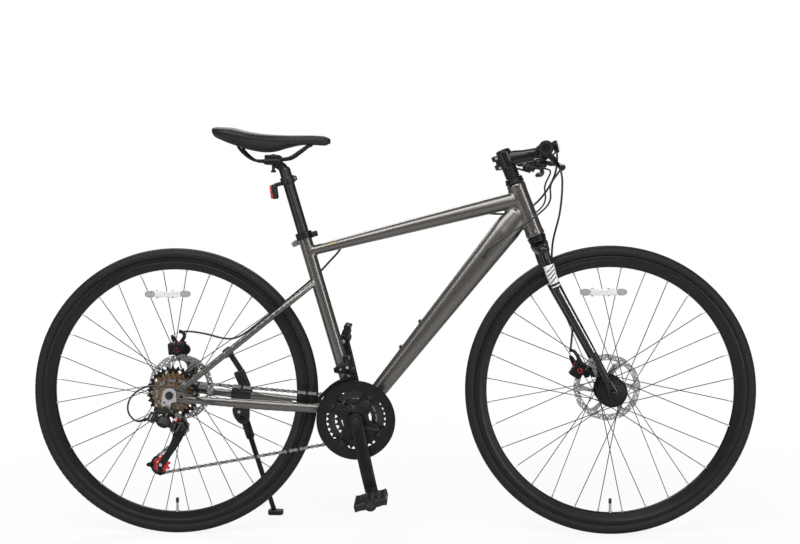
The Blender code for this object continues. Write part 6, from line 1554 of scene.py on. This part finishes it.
def make_kickstand():
    base = stay(KICK_F, 0.0005, 0.059)
    hinge = base + vec(0.0, 0.0, -0.058)
    shapes = [block(base + vec(0, 0.001, 0.004), (0.049, 0.024, 0.034), REAR - BB, bevel=0.004),
        block(base + vec(0.001, 0.002, 0.037), (0.026, 0.016, 0.046), vec(1, 0, 0.42), bevel=0.0034),
        block(base + vec(0.0, 0.009, -0.025), (0.026, 0.012, 0.04), bevel=0.003),
        rod_box(base + vec(0.004, 0.0065, 0.048), base + vec(-0.032, 0.0035, 0.105), 0.0064, 0.004),
        block(base + vec(-0.033, -0.001, 0.1045), (0.019, 0.024, 0.022), STAY_END - STAY_TOP, bevel=0.004)]
    housing = [(-0.025, 0.03), (-0.024, 0.008), (-0.012, -0.011), (0.002, -0.0175), (0.014, -0.013),
        (0.0175, 0.002), (0.0165, 0.03)]
    shapes.append(side([rounded(housing), disc(0, 0, 0.0042, 24)], hinge, 0.061, 0.074, 0.0014))
    piece("kickstand_bracket_body", shapes, PLASTIC, "kickstand_bracket")
    screws = []
    for dx, dy, dz in ((0.004, 0.0098, 0.028), (-0.004, 0.0098, 0.047), (-0.033, 0.0108, 0.1045)):
        screws += bolt(base + vec(dx, dy, dz), SIDEWAYS, 0.0042, 0.0026)
    screws += bolt(vec(hinge[0] - 0.008, 0.0612, hinge[2] + 0.015), -SIDEWAYS, 0.0038, 0.0016)
    for dx in (-0.015, 0.015):
        screws += bolt(base + vec(dx, 0.0128, 0.0045 - dx * 0.13), SIDEWAYS, 0.0038, 0.0024)
    piece("kickstand_screws", screws, BRIGHT, body="frame")
    out = 0.0743
    foot = vec(hinge[0] + 0.064, 0.156, 0.0)
    start = vec(hinge[0], out + 0.0117, hinge[2])
    ankle = foot + vec(0, 0, 0.01)
    length = distance(start, ankle)
    leg = [across(hinge, 0.015, out, out + 0.012, 48, 0.0012), across(hinge, 0.0039, 0.06, out + 0.004),
        turned([(0, 0.004), (0.0092, 0.004), (0.0105, 0.006), (0.0105, 0.056), (0.0092, 0.06),
        (0.0068, 0.0615), (0.0065, 0.064), (0.006, length - 0.02), (0.0065, length), (0, length)], start,
        ankle - start, 40, 0.0004)]
    piece("kickstand_tube", leg, SATIN, "kickstand_leg")
    pad = sweep([(foot + vec(x, 0, 0.007), wide, tall) for x, wide, tall in ((-0.015, 0.009, 0.0058),
        (-0.01, 0.0106, 0.0068), (0.016, 0.0106, 0.0068), (0.0225, 0.0085, 0.0056))], 14, 28, 0.6,
        bevel=0.0006)
    sole = block(foot + vec(0.003, 0, 0.0006), (0.03, 0.014, 0.0012), bevel=0.0003, segments=1)
    piece("kickstand_foot", [pad, sole], PLASTIC, body="kickstand")


# Bar and controls
BAR_CENTRE = head(0.1117, 0.0857)
BAR_SWEEP = unit(vec(-0.1, 1.0, -0.022))
BAR_MIDDLE_R = 0.0127
PULL = unit(vec(0.66, 0, -0.75))
POD_UP = unit(vec(0.3, 0, 0.95))


def bar(y, forward=0.0, up=0.0):
    """Point on the bar's axis at distance y, moved forward and up."""
    reach = max(abs(y) - 0.045, 0.0)
    back = -BAR_SWEEP[0] / BAR_SWEEP[1] * reach
    drop = -BAR_SWEEP[2] / BAR_SWEEP[1] * reach
    return BAR_CENTRE + vec(-back + forward, y, -drop + up)


def bar_axis(sign):
    return unit(BAR_SWEEP * vec(1, sign, 1))


def pod(sign):
    """Middle of the gear display under the bar."""
    return bar(sign * POD_Y) + PULL * 0.002 + vec(-0.012, 0, -0.026)


def make_stem():
    base = HEAD_HALF + CUP + 2 * GAP
    spacers = []
    low = base + 0.0002
    for tall in (0.005, 0.01, STEM_LOW - base - 0.0156):
        spacers.append(turned([(0.015, low), (0.0168, low), (0.0168, low + tall), (0.015, low + tall)],
            HEAD, HEAD_UP, 64, 0.0007))
        low += tall + 0.0002
    piece("stem_spacers", spacers, SATIN, "stem")
    clamp = turned([(0.012, STEM_LOW), (0.0178, STEM_LOW), (0.0178, STEM_HIGH), (0.012, STEM_HIGH)], HEAD,
        HEAD_UP, 64, 0.0012)
    stations = [(head(0.127 - 0.016 * max(d - 0.012, 0) / 0.071, d), hy, hz)
        for d, hy, hz in ((0.004, 0.015, 0.0185), (0.02, 0.0145, 0.0175), (0.04, 0.0138, 0.0155),
        (0.066, 0.015, 0.0158), (0.083, 0.0165, 0.0165))]
    arm = sweep(stations, 22, 36, 0.72)
    lug = block(head(0.127, -0.019), (0.012, 0.02, 0.036), HEAD_FWD, bevel=0.003)
    lobes = [sweep([(head(s, -0.016), 0.0085, 0.0078), (head(s + 0.001, -0.024), 0.0095, 0.0078),
        (head(s + 0.001, -0.031), 0.0075, 0.0058)], 10, 24, 0.8) for s in (0.1165, 0.1375)]
    socket = across(BAR_CENTRE, 0.0185, -0.0215, 0.0215, 64, 0.0012)
    piece("stem_body", [fused([clamp, arm, lug] + lobes + [socket], 0.001, 5)], GLOSS, "stem", angle=50)
    face = [turned([(0.0128, -0.022), (0.0191, -0.022), (0.0193, -0.0205), (0.0193, 0.0205),
        (0.0191, 0.022), (0.0128, 0.022)], BAR_CENTRE, SIDEWAYS, 64, 0.0003)]
    piece("stem_face_plate", face, SATIN, body="steering")
    screws = []
    for up in (-1, 1):
        for y in (-0.015, 0.015):
            at = BAR_CENTRE + HEAD_FWD * 0.0135 + HEAD_UP * up * 0.0125 + vec(0, y, 0)
            screws += bolt(at, HEAD_FWD + HEAD_UP * up * 0.35, 0.0034, 0.0034)
    for s in (0.0075, 0.0315):
        screws += bolt(head(STEM_LOW + s, -0.0212, -0.0098), -SIDEWAYS, 0.0034, 0.003)
    screws += bolt(head(0.1512), HEAD_UP, 0.0042, 0.002)
    piece("stem_bolts", screws, BRIGHT, body="steering")
    cap = turned([(0.0, 0.152), (0.0044, 0.152), (0.013, 0.1526), (0.016, 0.1506),
        (0.0174, STEM_HIGH + 0.0004), (0.0, STEM_HIGH + 0.0004)], HEAD, HEAD_UP, 64, 0.0003)
    piece("stem_cap", [cap], DEEP, body="steering")


def make_bar():
    rows = [(y, BAR_R) for y in (-BAR_HALF + 0.004, -0.2, -0.1, -0.06)]
    rows += [(-0.05, BAR_R + 0.0002), (-0.042, BAR_MIDDLE_R - 0.0004), (-0.034, BAR_MIDDLE_R),
        (0.0, BAR_MIDDLE_R)]
    rows += [(-y, r) for y, r in reversed(rows[:-1])]
    piece("bar_tube", [sweep([(bar(y), r, r) for y, r in rows], 90, 32, 1.0, FORWARD)], SATIN, "handlebar")


def make_grip(sign, hand, axis):
    start = bar(sign * GRIP_IN)
    length = (BAR_HALF - GRIP_IN) / axis[1] * sign
    profile = [(0.0, 0.0), (BAR_R + GAP, 0.0), (0.0148, 0.0), (GRIP_R, 0.0012), (GRIP_R, 0.0042),
        (0.0146, 0.0052)]
    step = (length - 0.018) / 18
    for k in range(18):
        h = 0.0066 + k * step
        r = 0.0147 + 0.0006 * math.cos(k / 18 * 2 * math.pi)
        profile += [(r - 0.0006, h), (r, h + step * 0.2), (r, h + step * 0.75),
            (r - 0.0006, h + step * 0.95)]
    profile += [(0.0148, length - 0.01), (GRIP_R, length - 0.0085), (GRIP_R, length - 0.0025),
        (0.0146, length - 0.0002), (0.01, length), (0.0, length)]
    piece("grip_sleeve_" + hand, [turned(profile, start, axis, 56)], GRIP, "grip_" + hand)
    plug = turned([(0, length), (0.0088, length), (0.0088, length - 0.001), (0, length - 0.001)], start,
        axis, 40)
    piece("bar_plug_" + hand, [plug], PLASTIC, body="steering")


def make_brake_lever(hand, axis, hinge, hinge_axis):
    path = [(hinge + axis * a + PULL * b, thick, wide) for a, b, thick, wide in ((-0.006, 0.0, 0.0029,
        0.005), (0.01, 0.007, 0.0029, 0.0046), (0.022, 0.017, 0.0055, 0.0046),
        (0.055, 0.026, 0.007, 0.0042), (0.09, 0.022, 0.007, 0.0042), (0.104, 0.026, 0.0054, 0.004))]
    blade = [sweep(path, 40, 28, 0.85, hinge_axis, 0.0008), cylinder(hinge - hinge_axis * 0.0029,
        hinge + hinge_axis * 0.0029, 0.0056, 32, 0.0006)]
    piece("brake_blade_" + hand, blade, SATIN, "brake_lever_" + hand)


def make_gear_display(sign, hand, pod_at):
    glass = turned([(0, 0.0079), (0.0074, 0.0077), (0.0098, 0.007), (0, 0.007)], pod_at, POD_UP, 40)
    piece("gear_window_" + hand, [glass], CLEAR, body="steering")
    steps = 2 if sign > 0 else 6
    marks = []
    for k in range(steps + 1):
        a = math.radians(-50 + 100 * (k / steps))
        out = FORWARD * math.cos(a) + SIDEWAYS * math.sin(a)
        out = unit(out - POD_UP * np.dot(out, POD_UP))
        marks.append(block(pod_at + POD_UP * 0.0071 + out * 0.0114, (0.0024, 0.0007, 0.0005), out,
            np.cross(POD_UP, out), 0.0001, 1))
    piece("gear_marks_" + hand, marks, WHITE, body="steering")


def make_shift_paddle(sign, hand, pod_at):
    knob = pod_at - POD_UP * (0.0085 + GAP)
    thumb = [(0.007, -0.005), (0.007, 0.006), (-0.012, 0.0085), (-0.03, 0.013), (-0.034, 0.007),
        (-0.018, -0.004), (-0.006, -0.007)]
    u = unit(np.cross(SIDEWAYS, POD_UP))
    blade = [plate([rounded([(x, z * sign) for x, z in thumb])], knob, u, SIDEWAYS, -0.0045, -0.0001,
        0.001)]
    for k in range(5):
        at = knob + u * (-0.024 - 0.0018 * k) + SIDEWAYS * sign * (0.007 + 0.0006 * k) - POD_UP * 0.0045
        blade.append(block(at, (0.0008, 0.007, 0.0006), u, SIDEWAYS, 0.0002, 1))
    piece("shift_paddle_" + hand, blade, PLASTIC, "shift_lever_" + hand)


def make_controls():
    for sign, hand in ((-1, "right"), (1, "left")):
        axis = bar_axis(sign)
        make_grip(sign, hand, axis)
        middle = bar(sign * CLAMP_Y)
        pod_at = pod(sign)
        hinge = middle + PULL * 0.03 + axis * 0.004
        hinge_axis = unit(np.cross(axis, PULL)) * sign
        mount = [ring(middle, 0.0154, BAR_R + GAP, -0.0083, 0.0083, axis, 48, 0.001),
            block(middle + PULL * 0.0215, (0.021, 0.023, 0.0134), PULL, axis, 0.0032)]
        for far in (-1, 1):
            mount.append(block(hinge - PULL * 0.001 + hinge_axis * far * 0.005, (0.015, 0.02, 0.0034), PULL,
                axis, 0.0012))
        mount.append(turned([(0, 0.006), (0.0052, 0.006), (0.0052, 0.014), (0.0046, 0.0155),
            (0.0046, 0.017), (0.0052, 0.0185), (0.005, 0.026), (0.0042, 0.027), (0.004, 0.034), (0, 0.034)],
            middle + PULL * 0.02, -axis, 32, 0.0003))
        mount.append(turned([(0, 0.007), (0.0118, 0.007), (0.0138, 0.0062), (0.0156, 0.0044),
            (0.0165, 0.0024), (0.016, -0.003), (0.0148, -0.0076), (0.0136, -0.0085), (0, -0.0085)], pod_at,
            POD_UP, 56))
        mount.append(block((pod_at + middle) / 2 + vec(0, 0, -0.004), (0.014, 0.026, 0.014), bevel=0.0034))
        mount.append(ring(bar(sign * POD_Y), 0.0142, BAR_R + GAP, -0.005, 0.005, axis, 44, 0.0008))
        mount.append(cylinder(pod_at + vec(0.008, 0, 0), pod_at + vec(0.026, -sign * 0.012, -0.004), 0.0038,
            24, 0.0006))
        piece("control_body_" + hand, mount, PLASTIC, "lever_mount_" + hand)
        make_gear_display(sign, hand, pod_at)
        screws = []
        for far in (1, -1):
            screws += bolt(hinge + hinge_axis * far * 0.0064, hinge_axis * far, 0.003, 0.0012)
        screws += bolt(middle - PULL * 0.0148, -PULL, 0.0032, 0.0018)
        piece("control_screws_" + hand, screws, BRIGHT, body="steering")
        make_brake_lever(hand, axis, hinge, hinge_axis)
        make_shift_paddle(sign, hand, pod_at)
    # Clear reflector on a bracket in front of the stem
    base = BAR_CENTRE + vec(0.031, 0, 0.013)
    ring_at = bar(0.03)
    ahead = vec(0.97, 0, 0.24)
    bracket = [ring(ring_at, 0.0152, BAR_MIDDLE_R - 0.0006, -0.005, 0.005, SIDEWAYS, 40, 0.0008),
        sweep([(ring_at + vec(0.013, 0, 0.002), 0.004, 0.0022), (ring_at + vec(0.02, -0.006, 0.006), 0.004,
        0.002), (base + vec(-0.004, 0.006, 0), 0.005, 0.002), (base + vec(-0.002, 0.0, 0), 0.006, 0.003)],
        14, 20, 0.8), block(base, (0.006, 0.052, 0.03), ahead, bevel=0.0026)]
    piece("front_reflector_bracket", bracket, PLASTIC, body="steering")
    lens = block(base + vec(0.003, 0, 0.0007), (0.005, 0.048, 0.0262), ahead, bevel=0.002)
    piece("front_reflector_lens", [lens], CLEAR, body="steering")


# Saddle and post
CLAMP = seat(0.6377, -0.0195)


def rail_points():
    near = [(-0.074, 0.033, 0.0255), (-0.056, 0.029, 0.008), (-0.039, 0.023, -0.0005),
        (-0.017, 0.022, -0.001), (0.018, 0.022, 0.002), (0.042, 0.0215, 0.0055), (0.066, 0.018, 0.021),
        (0.082, 0.013, 0.0325)]
    left = [CLAMP + vec(*p) for p in near]
    nose = [CLAMP + vec(0.09, 0.006, 0.035), CLAMP + vec(0.09, -0.006, 0.035)]
    return left + nose + [p * vec(1, -1, 1) for p in reversed(left)]


SADDLE_ROWS = [(-0.14, 0.036, 0.0765, 0.0715, 0.064), (-0.132, 0.056, 0.079, 0.068, 0.0545),
    (-0.115, 0.069, 0.0785, 0.064, 0.046), (-0.088, 0.0755, 0.076, 0.058, 0.035),
    (-0.056, 0.071, 0.068, 0.052, 0.026), (-0.026, 0.055, 0.063, 0.048, 0.021),
    (0.002, 0.039, 0.061, 0.046, 0.022), (0.034, 0.0285, 0.0595, 0.045, 0.03),
    (0.068, 0.0235, 0.059, 0.045, 0.0365), (0.1, 0.0215, 0.0585, 0.045, 0.036),
    (0.124, 0.0185, 0.056, 0.045, 0.035), (0.136, 0.0085, 0.05, 0.045, 0.041)]


def saddle_rows(count):
    return smooth([(x, 0.0, 0.0, half, high, edge, low) for x, half, high, edge, low in SADDLE_ROWS], count)


def saddle_section(row, shape):
    """Points across the saddle at one row, from (fraction of half width, height) pairs on the right side."""
    x, _, _, half, _, _, _ = row
    right = [CLAMP + vec(x, -half * f, z) for f, z in shape]
    return right + [p * vec(1, -1, 1) for p in reversed(right) if abs(p[1]) > 1e-6]


def skinned(sections):
    """A closed skin through sections of equal length."""
    work = bmesh.new()
    rows = [[work.verts.new(p) for p in section] for section in sections]
    loops = [[work.edges.new((a, b)) for a, b in zip(row, row[1:] + row[:1])] for row in rows]
    for a, b in zip(loops, loops[1:]):
        bmesh.ops.bridge_loops(work, edges=a + b)
    for loop in (loops[0], loops[-1]):
        bmesh.ops.edgeloop_fill(work, edges=loop)
    return ready(work)


def make_saddle():
    pad = []
    base = []
    for row in saddle_rows(64):
        x, _, _, half, high, edge, low = row
        swell = max(0.0, 1.0 - abs((x + 0.075) / 0.075))
        dip = 0.001 + 0.0042 * max(0.0, 1 - ((x + 0.02) / 0.085) ** 2)
        shape = []
        for k in range(15):
            f = k / 14
            a = f * math.pi / 2
            side_f = math.sin(a) ** 0.86
            z = edge + (high - edge) * math.cos(a) ** 0.62
            z -= dip * math.exp(-(side_f / 0.2) ** 2)
            z += 0.0008 * swell * math.exp(-((side_f - 0.55) / 0.22) ** 2)
            shape.append((side_f, z))
        shape += [(0.998, edge - 0.0012), (0.985, edge - 0.003), (0.955, edge - 0.0042)]
        shape += [(0.8, edge - 0.0044), (0.0, edge - 0.004)]
        pad.append(saddle_section(row, shape))
        drop = edge - low
        base.append(saddle_section(row, [(0.0, edge - 0.003), (0.9, edge - 0.003), (0.99, edge - 0.0036),
            (0.985, edge - 0.0046 - drop * 0.22), (0.95, edge - drop * 0.58), (0.84, low + drop * 0.06),
            (0.76, low + drop * 0.02), (0.7, low + drop * 0.12), (0.35, low + drop * 0.34),
            (0.0, low + drop * 0.42)]))
    cushion = piece("saddle_cushion", [skinned(pad)], COVER, "saddle", angle=60)
    piece("saddle_shell", [skinned(base)], COVER, "saddle", angle=60)
    # Two seams along the top, each with its row of stitches
    rows = saddle_rows(150)
    stitches = []
    seam_edge = 0.66
    crest = math.cos(math.asin(seam_edge ** (1 / 0.86))) ** 0.62
    for sign in (-1, 1):
        line = []
        for x, _, _, half, high, edge, low in rows[58:-14]:
            line.append(CLAMP + vec(x, sign * half * seam_edge, edge + (high - edge) * crest - 0.0003))
        for a, b in zip(line[::2], line[1::2]):
            way = unit(b - a)
            stitches.append(sweep([(a + way * 0.0001, 0.0003, 0.00015), ((a + b) / 2, 0.0005, 0.0004),
                (b - way * 0.0001, 0.0003, 0.00015)], 0, 6))
    piece("saddle_stitching", stitches, THREAD, body="seatpost")
    points = rail_points()
    lift = vec(-0.008, 0.0005, 0.016)
    route = smooth([points[0] + lift] + points + [points[-1] + lift * vec(1, -1, 1)], 96)
    piece("rail_wire", [rod(route, RAIL_R, 5)], DEEP, "saddle_rails")


def make_post():
    tube = turned([(0, POST_TOP - 0.004), (POST_R - 0.003, POST_TOP - 0.004),
        (POST_R - 0.0008, POST_TOP - 0.0075), (POST_R, POST_TOP - 0.011), (POST_R, SEAT_TUBE_TOP - 0.125),
        (0, SEAT_TUBE_TOP - 0.125)], BB, SEAT_UP, 56)
    piece("post_tube", [tube], PAINT_DARK, "seatpost")
    neck = sweep([(seat(POST_TOP - 0.03), 0.011, 0.011), (seat(POST_TOP - 0.004, -0.003), 0.012, 0.0115),
        (CLAMP + vec(0.001, 0, -0.002), 0.015, 0.011)], 18, 32)
    cradle = [block(CLAMP + vec(0, 0, z), (long, 0.056, tall), bevel=0.0034)
        for z, long, tall in ((-0.004, 0.042, 0.012), (0.007, 0.036, 0.011))]
    piece("post_clamp", [fused([neck] + cradle, 0.0011, 3)], SATIN, "seatpost", angle=50)
    screws = [cylinder(CLAMP + vec(0, 0, -0.025), CLAMP + vec(0, 0, -0.006), 0.004)]
    screws.append(plate([disc(0, 0, 0.0062, 6)], CLAMP + vec(0, 0, -0.0285), FORWARD, SIDEWAYS, 0, 0.005,
        0.0006))
    screws += bolt(CLAMP + vec(0, 0, 0.0122), UPWARD, 0.0046, 0.003)
    piece("post_clamp_bolt", screws, DARK, "seatpost")


def make_light():
    band = ring(BB, POST_R + 0.0035, POST_R + GAP, LIGHT_S - 0.0095, LIGHT_S + 0.0075, SEAT_UP, 56, 0.001)
    arm = block(seat(LIGHT_S - 0.004, -0.024), (0.02, 0.013, 0.0095), SEAT_FWD, bevel=0.0022)
    ears = block(seat(LIGHT_S - 0.001, 0.0175), (0.01, 0.01, 0.012), SEAT_FWD, bevel=0.002)
    back = unit(vec(-0.97, 0, -0.12))
    at = seat(LIGHT_S - 0.018, -0.039)
    wide = np.cross(unit(UPWARD - back * np.dot(back, UPWARD)), back)
    case = block(at - back * 0.002, (0.013, 0.025, 0.0355), back, wide, 0.0042, 4)
    piece("rear_light_case", [band, arm, case, ears], PLASTIC, "rear_light")
    lens = block(at + back * 0.0058, (0.005, 0.0225, 0.0325), back, wide, 0.0022, 4)
    piece("rear_light_lens", [lens], LENS, "rear_light")
    screw = bolt(seat(LIGHT_S - 0.001, 0.018, -0.005), -SIDEWAYS, 0.0024, 0.0014)
    piece("rear_light_screw", screw, BRIGHT, body="seatpost")


# Cables
SHIFT_PORT = [(0.8, 0.004, 0.03), (0.775, 0.003, 0.0215), (0.755, 0.002, 0.015)]
BRAKE_PORT = [top(0.905, -0.024, 0.01), top(0.86, -0.0175, 0.006), top(0.835, -0.012, 0.004)]
SHIFT_EXIT = [stay(0.69, -0.001, -0.0575), stay(0.742, -0.0075, -0.066), stay(0.8, -0.0015, -0.079)]
BRAKE_EXIT = [top(0.16, -0.004, 0.008), top(0.135, -0.018, 0.015), top(0.085, -0.033, 0.0215)]


def lever_start(sign):
    """End of the brake lever's neck, and the way in which its cable leaves."""
    way = -bar_axis(sign)
    return bar(sign * CLAMP_Y) + PULL * 0.02 + way * 0.034 + way * GAP, way


def cable_routes():
    """Every outer cable's route and radius."""
    found = {}
    for sign, name in ((-1, "shift_housing_right"), (1, "shift_housing_left")):
        step = vec(0.026, -sign * 0.012, -0.004)
        way = unit(vec(0.018, -sign * 0.012, -0.004))
        start = pod(sign) + step + way * GAP
        inside = [down(f, above, sign * y) for f, above, y in SHIFT_PORT]
        found[name] = ([start, start + way * 0.03, head(0.035, 0.068, sign * 0.06),
            head(-0.01, 0.042, sign * 0.048), inside[0] + (inside[0] - inside[1]) * 1.4] + inside, SHIFT_R)
    start, way = lever_start(-1)
    found["brake_housing_right"] = ([start, start + way * 0.04, head(0.1, 0.115, -0.02),
        head(0.05, 0.095, 0.02), head(0.01, 0.045, 0.042), head(-0.004, -0.01, 0.035),
        BRAKE_PORT[0] + (BRAKE_PORT[0] - BRAKE_PORT[1]) * 0.6] + BRAKE_PORT, HOUSING_R)
    start, way = lever_start(1)
    target = ARM_TOPS["front"]
    found["front_brake_housing"] = ([start, start + way * 0.04, head(0.06, 0.115, 0.02),
        head(-0.03, 0.08, 0.03), head(-0.105, 0.033, 0.056), head(-0.19, 0.008, 0.069),
        front(-0.079, 0.17, 0.073), target + vec(0.006, 0.006, 0.045), target + vec(0.001, 0, 0.008)],
        HOUSING_R)
    line = STAY_END - STAY_TOP
    target = ARM_TOPS["rear"]
    found["rear_brake_housing"] = (BRAKE_EXIT + [seat(0.35, 0.006, 0.027),
        STAY_TOP + line * 0.17 + vec(0, 0.048, 0.012), STAY_TOP + line * 0.45 + vec(0, 0.06, 0.012),
        STAY_TOP + line * 0.68 + vec(0, 0.073, 0.022), rear(0.056, 0.128, 0.076),
        target + vec(0.034, 0, 0.01), target + vec(0.02, 0, 0.006)], HOUSING_R)
    away = unit(BARREL_END - BARREL_ROOT)
    found["rear_shift_housing"] = (SHIFT_EXIT + [rear(0.056, 0.002, -0.088), rear(0.02, 0.019, -0.0925),
        rear(-0.02, 0.026, -0.0935), rear(-0.06, 0.02, -0.09), rear(-0.09, -0.006, -0.088),
        rear(-0.094, -0.038, -0.087), BARREL_END + away * 0.012, BARREL_END + away * 0.0014], SHIFT_R)
    return found


CABLES = cable_routes()
CABLE_ENTRIES = [(down(0.782, 0.0035, sign * 0.0232), unit(down(0.8, 0.004, sign * 0.03)
    - down(0.775, 0.003, sign * 0.0215)), SHIFT_R) for sign in (1, -1)]


def make_cables():
    ends = []
    for name, (route, radius) in CABLES.items():
        points = smooth(route, 70)
        for _ in range(6):
            points[1:-1] = (points[:-2] + 2 * points[1:-1] + points[2:]) / 4
        bend = None
        if name in ("brake_housing_right", "shift_housing_right", "shift_housing_left"):
            # These run between the frame's port and the turning handlebar; given a bend, the piece stays
            # where it is made and rides on neither body
            bend = ("frame", "steering", (0, 0, max(points[-12:, 2]) + 0.004),
                (0, 0, min(points[:14, 2]) - 0.004))
        piece(name + "_sleeve", [rod(points, radius, 4)], CABLE, name, bend=bend)
        capped = []
        if name not in ("rear_brake_housing", "rear_shift_housing"):
            capped.append((points[0], points[2], "steering"))
        if not bend:
            capped.append((points[-1], points[-3], frame["nodes"][name]["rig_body"]))
        for at, nearby, body in capped:
            tip = turned([(0, -0.0002), (radius + 0.0006, -0.0002), (radius + 0.0007, 0.008),
                (radius + 0.0001, 0.0086), (0, 0.0086)], at, unit(nearby - at), 28, 0.0002)
            ends.append((tip, body))
    for body in sorted({b for _, b in ends}):
        piece("cable_caps_" + body, [shape for shape, b in ends if b == body], DEEP, body=body)
    # Bare inner wires between the caps and the brake arms
    for name, held, drop in (("front", "steering", 0.005), ("rear", "frame", 0.0035)):
        target = ARM_TOPS[name]
        end = smooth(CABLES[name + "_brake_housing"][0], 70)[-1]
        pinch = target + vec(0.0005, 0.0024, -drop)
        piece(name + "_brake_wire", [rod(smooth([end, (end + target) / 2, pinch], 9), 0.0008, 2)], BRIGHT,
            bend=(held, name + "_caliper_arm", end, pinch))


for make in (make_frame, make_headset, make_bottom_bracket, make_collar, make_wheels, make_axles,
        make_chain, make_cassette, make_chainrings, make_cranks, make_pedals, make_derailleur,
        make_front_derailleur, make_calipers, make_fork, make_kickstand, make_stem, make_bar, make_controls,
        make_saddle, make_post, make_light, make_cables):
    make()


# Room and camera
FLOOR_R = 60.0
FADE = (0.7, 1.8)


def make_floor():
    """A pale disc that takes shadows near the bicycle and is plain white further out."""
    work = bmesh.new()
    bmesh.ops.create_circle(work, cap_ends=True, radius=FLOOR_R, segments=96)
    mesh = ready(work)
    look = Look("floor", "")
    far = look.node("ShaderNodeVectorMath", {"operation": "LENGTH"}, {0: look.place}).outputs[1]
    rise = look.node("ShaderNodeMapRange", {"interpolation_type": "SMOOTHSTEP"},
        {"Value": far, "From Min": FADE[0], "From Max": FADE[1]}).outputs[0]
    seen_directly = look.node("ShaderNodeLightPath").outputs["Is Camera Ray"]
    white = look.node("ShaderNodeEmission", None, {"Color": (1, 1, 1, 1), "Strength": 1.0}).outputs[0]
    matte = look.node("ShaderNodeBsdfDiffuse", None, {"Color": (0.9, 0.9, 0.9, 1)}).outputs[0]
    dim = look.node("ShaderNodeBsdfDiffuse", None, {"Color": (0.62, 0.62, 0.62, 1)}).outputs[0]

    def blended(factor, first, second):
        return look.node("ShaderNodeMixShader", None, {0: factor, 1: first, 2: second}).outputs[0]

    both = blended(seen_directly, dim, blended(rise, blended(0.88, matte, white), white))
    output = [n for n in look.tree.nodes if n.type == "OUTPUT_MATERIAL"][0]
    look.fill(output, {"Surface": both})
    mesh.materials.append(look.material)
    floor = bpy.data.objects.new("floor", mesh)
    bpy.context.scene.collection.objects.link(floor)


def make_world():
    """White to the camera, and a dim grey sky to everything else."""
    world = bpy.data.worlds.new("room")
    bpy.context.scene.world = world
    world.use_nodes = True
    sky = Nodes(world.node_tree)
    sky.tree.nodes.clear()
    parts = sky.node("ShaderNodeSeparateXYZ", None,
        {0: sky.node("ShaderNodeTexCoord").outputs["Generated"]})
    values = {"Value": parts.outputs["Z"], "From Min": -0.1, "From Max": 0.9}
    rise = sky.node("ShaderNodeMapRange", None, values).outputs[0]
    tone = sky.mixed(rise, (0.05, 0.05, 0.052, 1), (0.26, 0.26, 0.26, 1))
    seen = sky.mixed(sky.node("ShaderNodeLightPath").outputs["Is Camera Ray"], tone, (1, 1, 1, 1))
    background = sky.node("ShaderNodeBackground", None, {"Color": seen}).outputs[0]
    sky.node("ShaderNodeOutputWorld", None, {"Surface": background})


def make_lamps():
    for name, at, aim, size, power in (("key", (-0.6, -2.2, 3.0), (0, 0, 0.5), (3.8, 1.7), 92.0),
            ("strip", (2.5, -2.2, 1.2), (0.2, 0, 0.55), (0.5, 2.6), 30.0),
            ("low", (-2.5, -2.4, 0.9), (-0.2, 0, 0.5), (0.7, 1.8), 11.0),
            ("front", (0.9, -4.2, 2.0), (0, 0, 0.5), (1.2, 0.8), 12.0),
            ("rim", (-0.6, 2.2, 2.6), (0, 0, 0.5), (3.0, 1.2), 50.0)):
        lamp = bpy.data.lights.new(name, "AREA")
        lamp.shape = "RECTANGLE"
        lamp.size, lamp.size_y = size
        lamp.energy = power
        made = bpy.data.objects.new(name, lamp)
        bpy.context.scene.collection.objects.link(made)
        made.location = at
        made.rotation_euler = (Vector(aim) - Vector(at)).to_track_quat("-Z", "Y").to_euler()


# The camera, fitted to the two wheels: angles in degrees, focal length in pixels of a picture 800 wide
CAMERA_AT = vec(0.069, -2.629, 0.768)
CAMERA_TURN = (-2.09, -1.05, -0.41)
FOCAL_PIXELS = 1109.0
PICTURE_WIDTH = 800.0
SENSOR = 36.0
CAMERA_SHIFT = (0.02625, -0.05125)


def make_camera():
    yaw, pitch, roll = (math.radians(a) for a in CAMERA_TURN)
    ahead = vec(math.sin(yaw) * math.cos(pitch), math.cos(yaw) * math.cos(pitch), math.sin(pitch))
    right = unit(np.cross(ahead, UPWARD))
    up = np.cross(right, ahead)
    right, up = right * math.cos(roll) + up * math.sin(roll), up * math.cos(roll) - right * math.sin(roll)
    lens = bpy.data.cameras.new("camera")
    lens.sensor_width = SENSOR
    lens.lens = FOCAL_PIXELS / PICTURE_WIDTH * SENSOR
    lens.shift_x, lens.shift_y = CAMERA_SHIFT
    made = bpy.data.objects.new("camera", lens)
    bpy.context.scene.collection.objects.link(made)
    made.matrix_world = frame_of(CAMERA_AT, right, up)
    bpy.context.scene.camera = made


make_floor()
make_world()
make_lamps()
make_camera()
bpy.context.scene.view_settings.view_transform = "Standard"
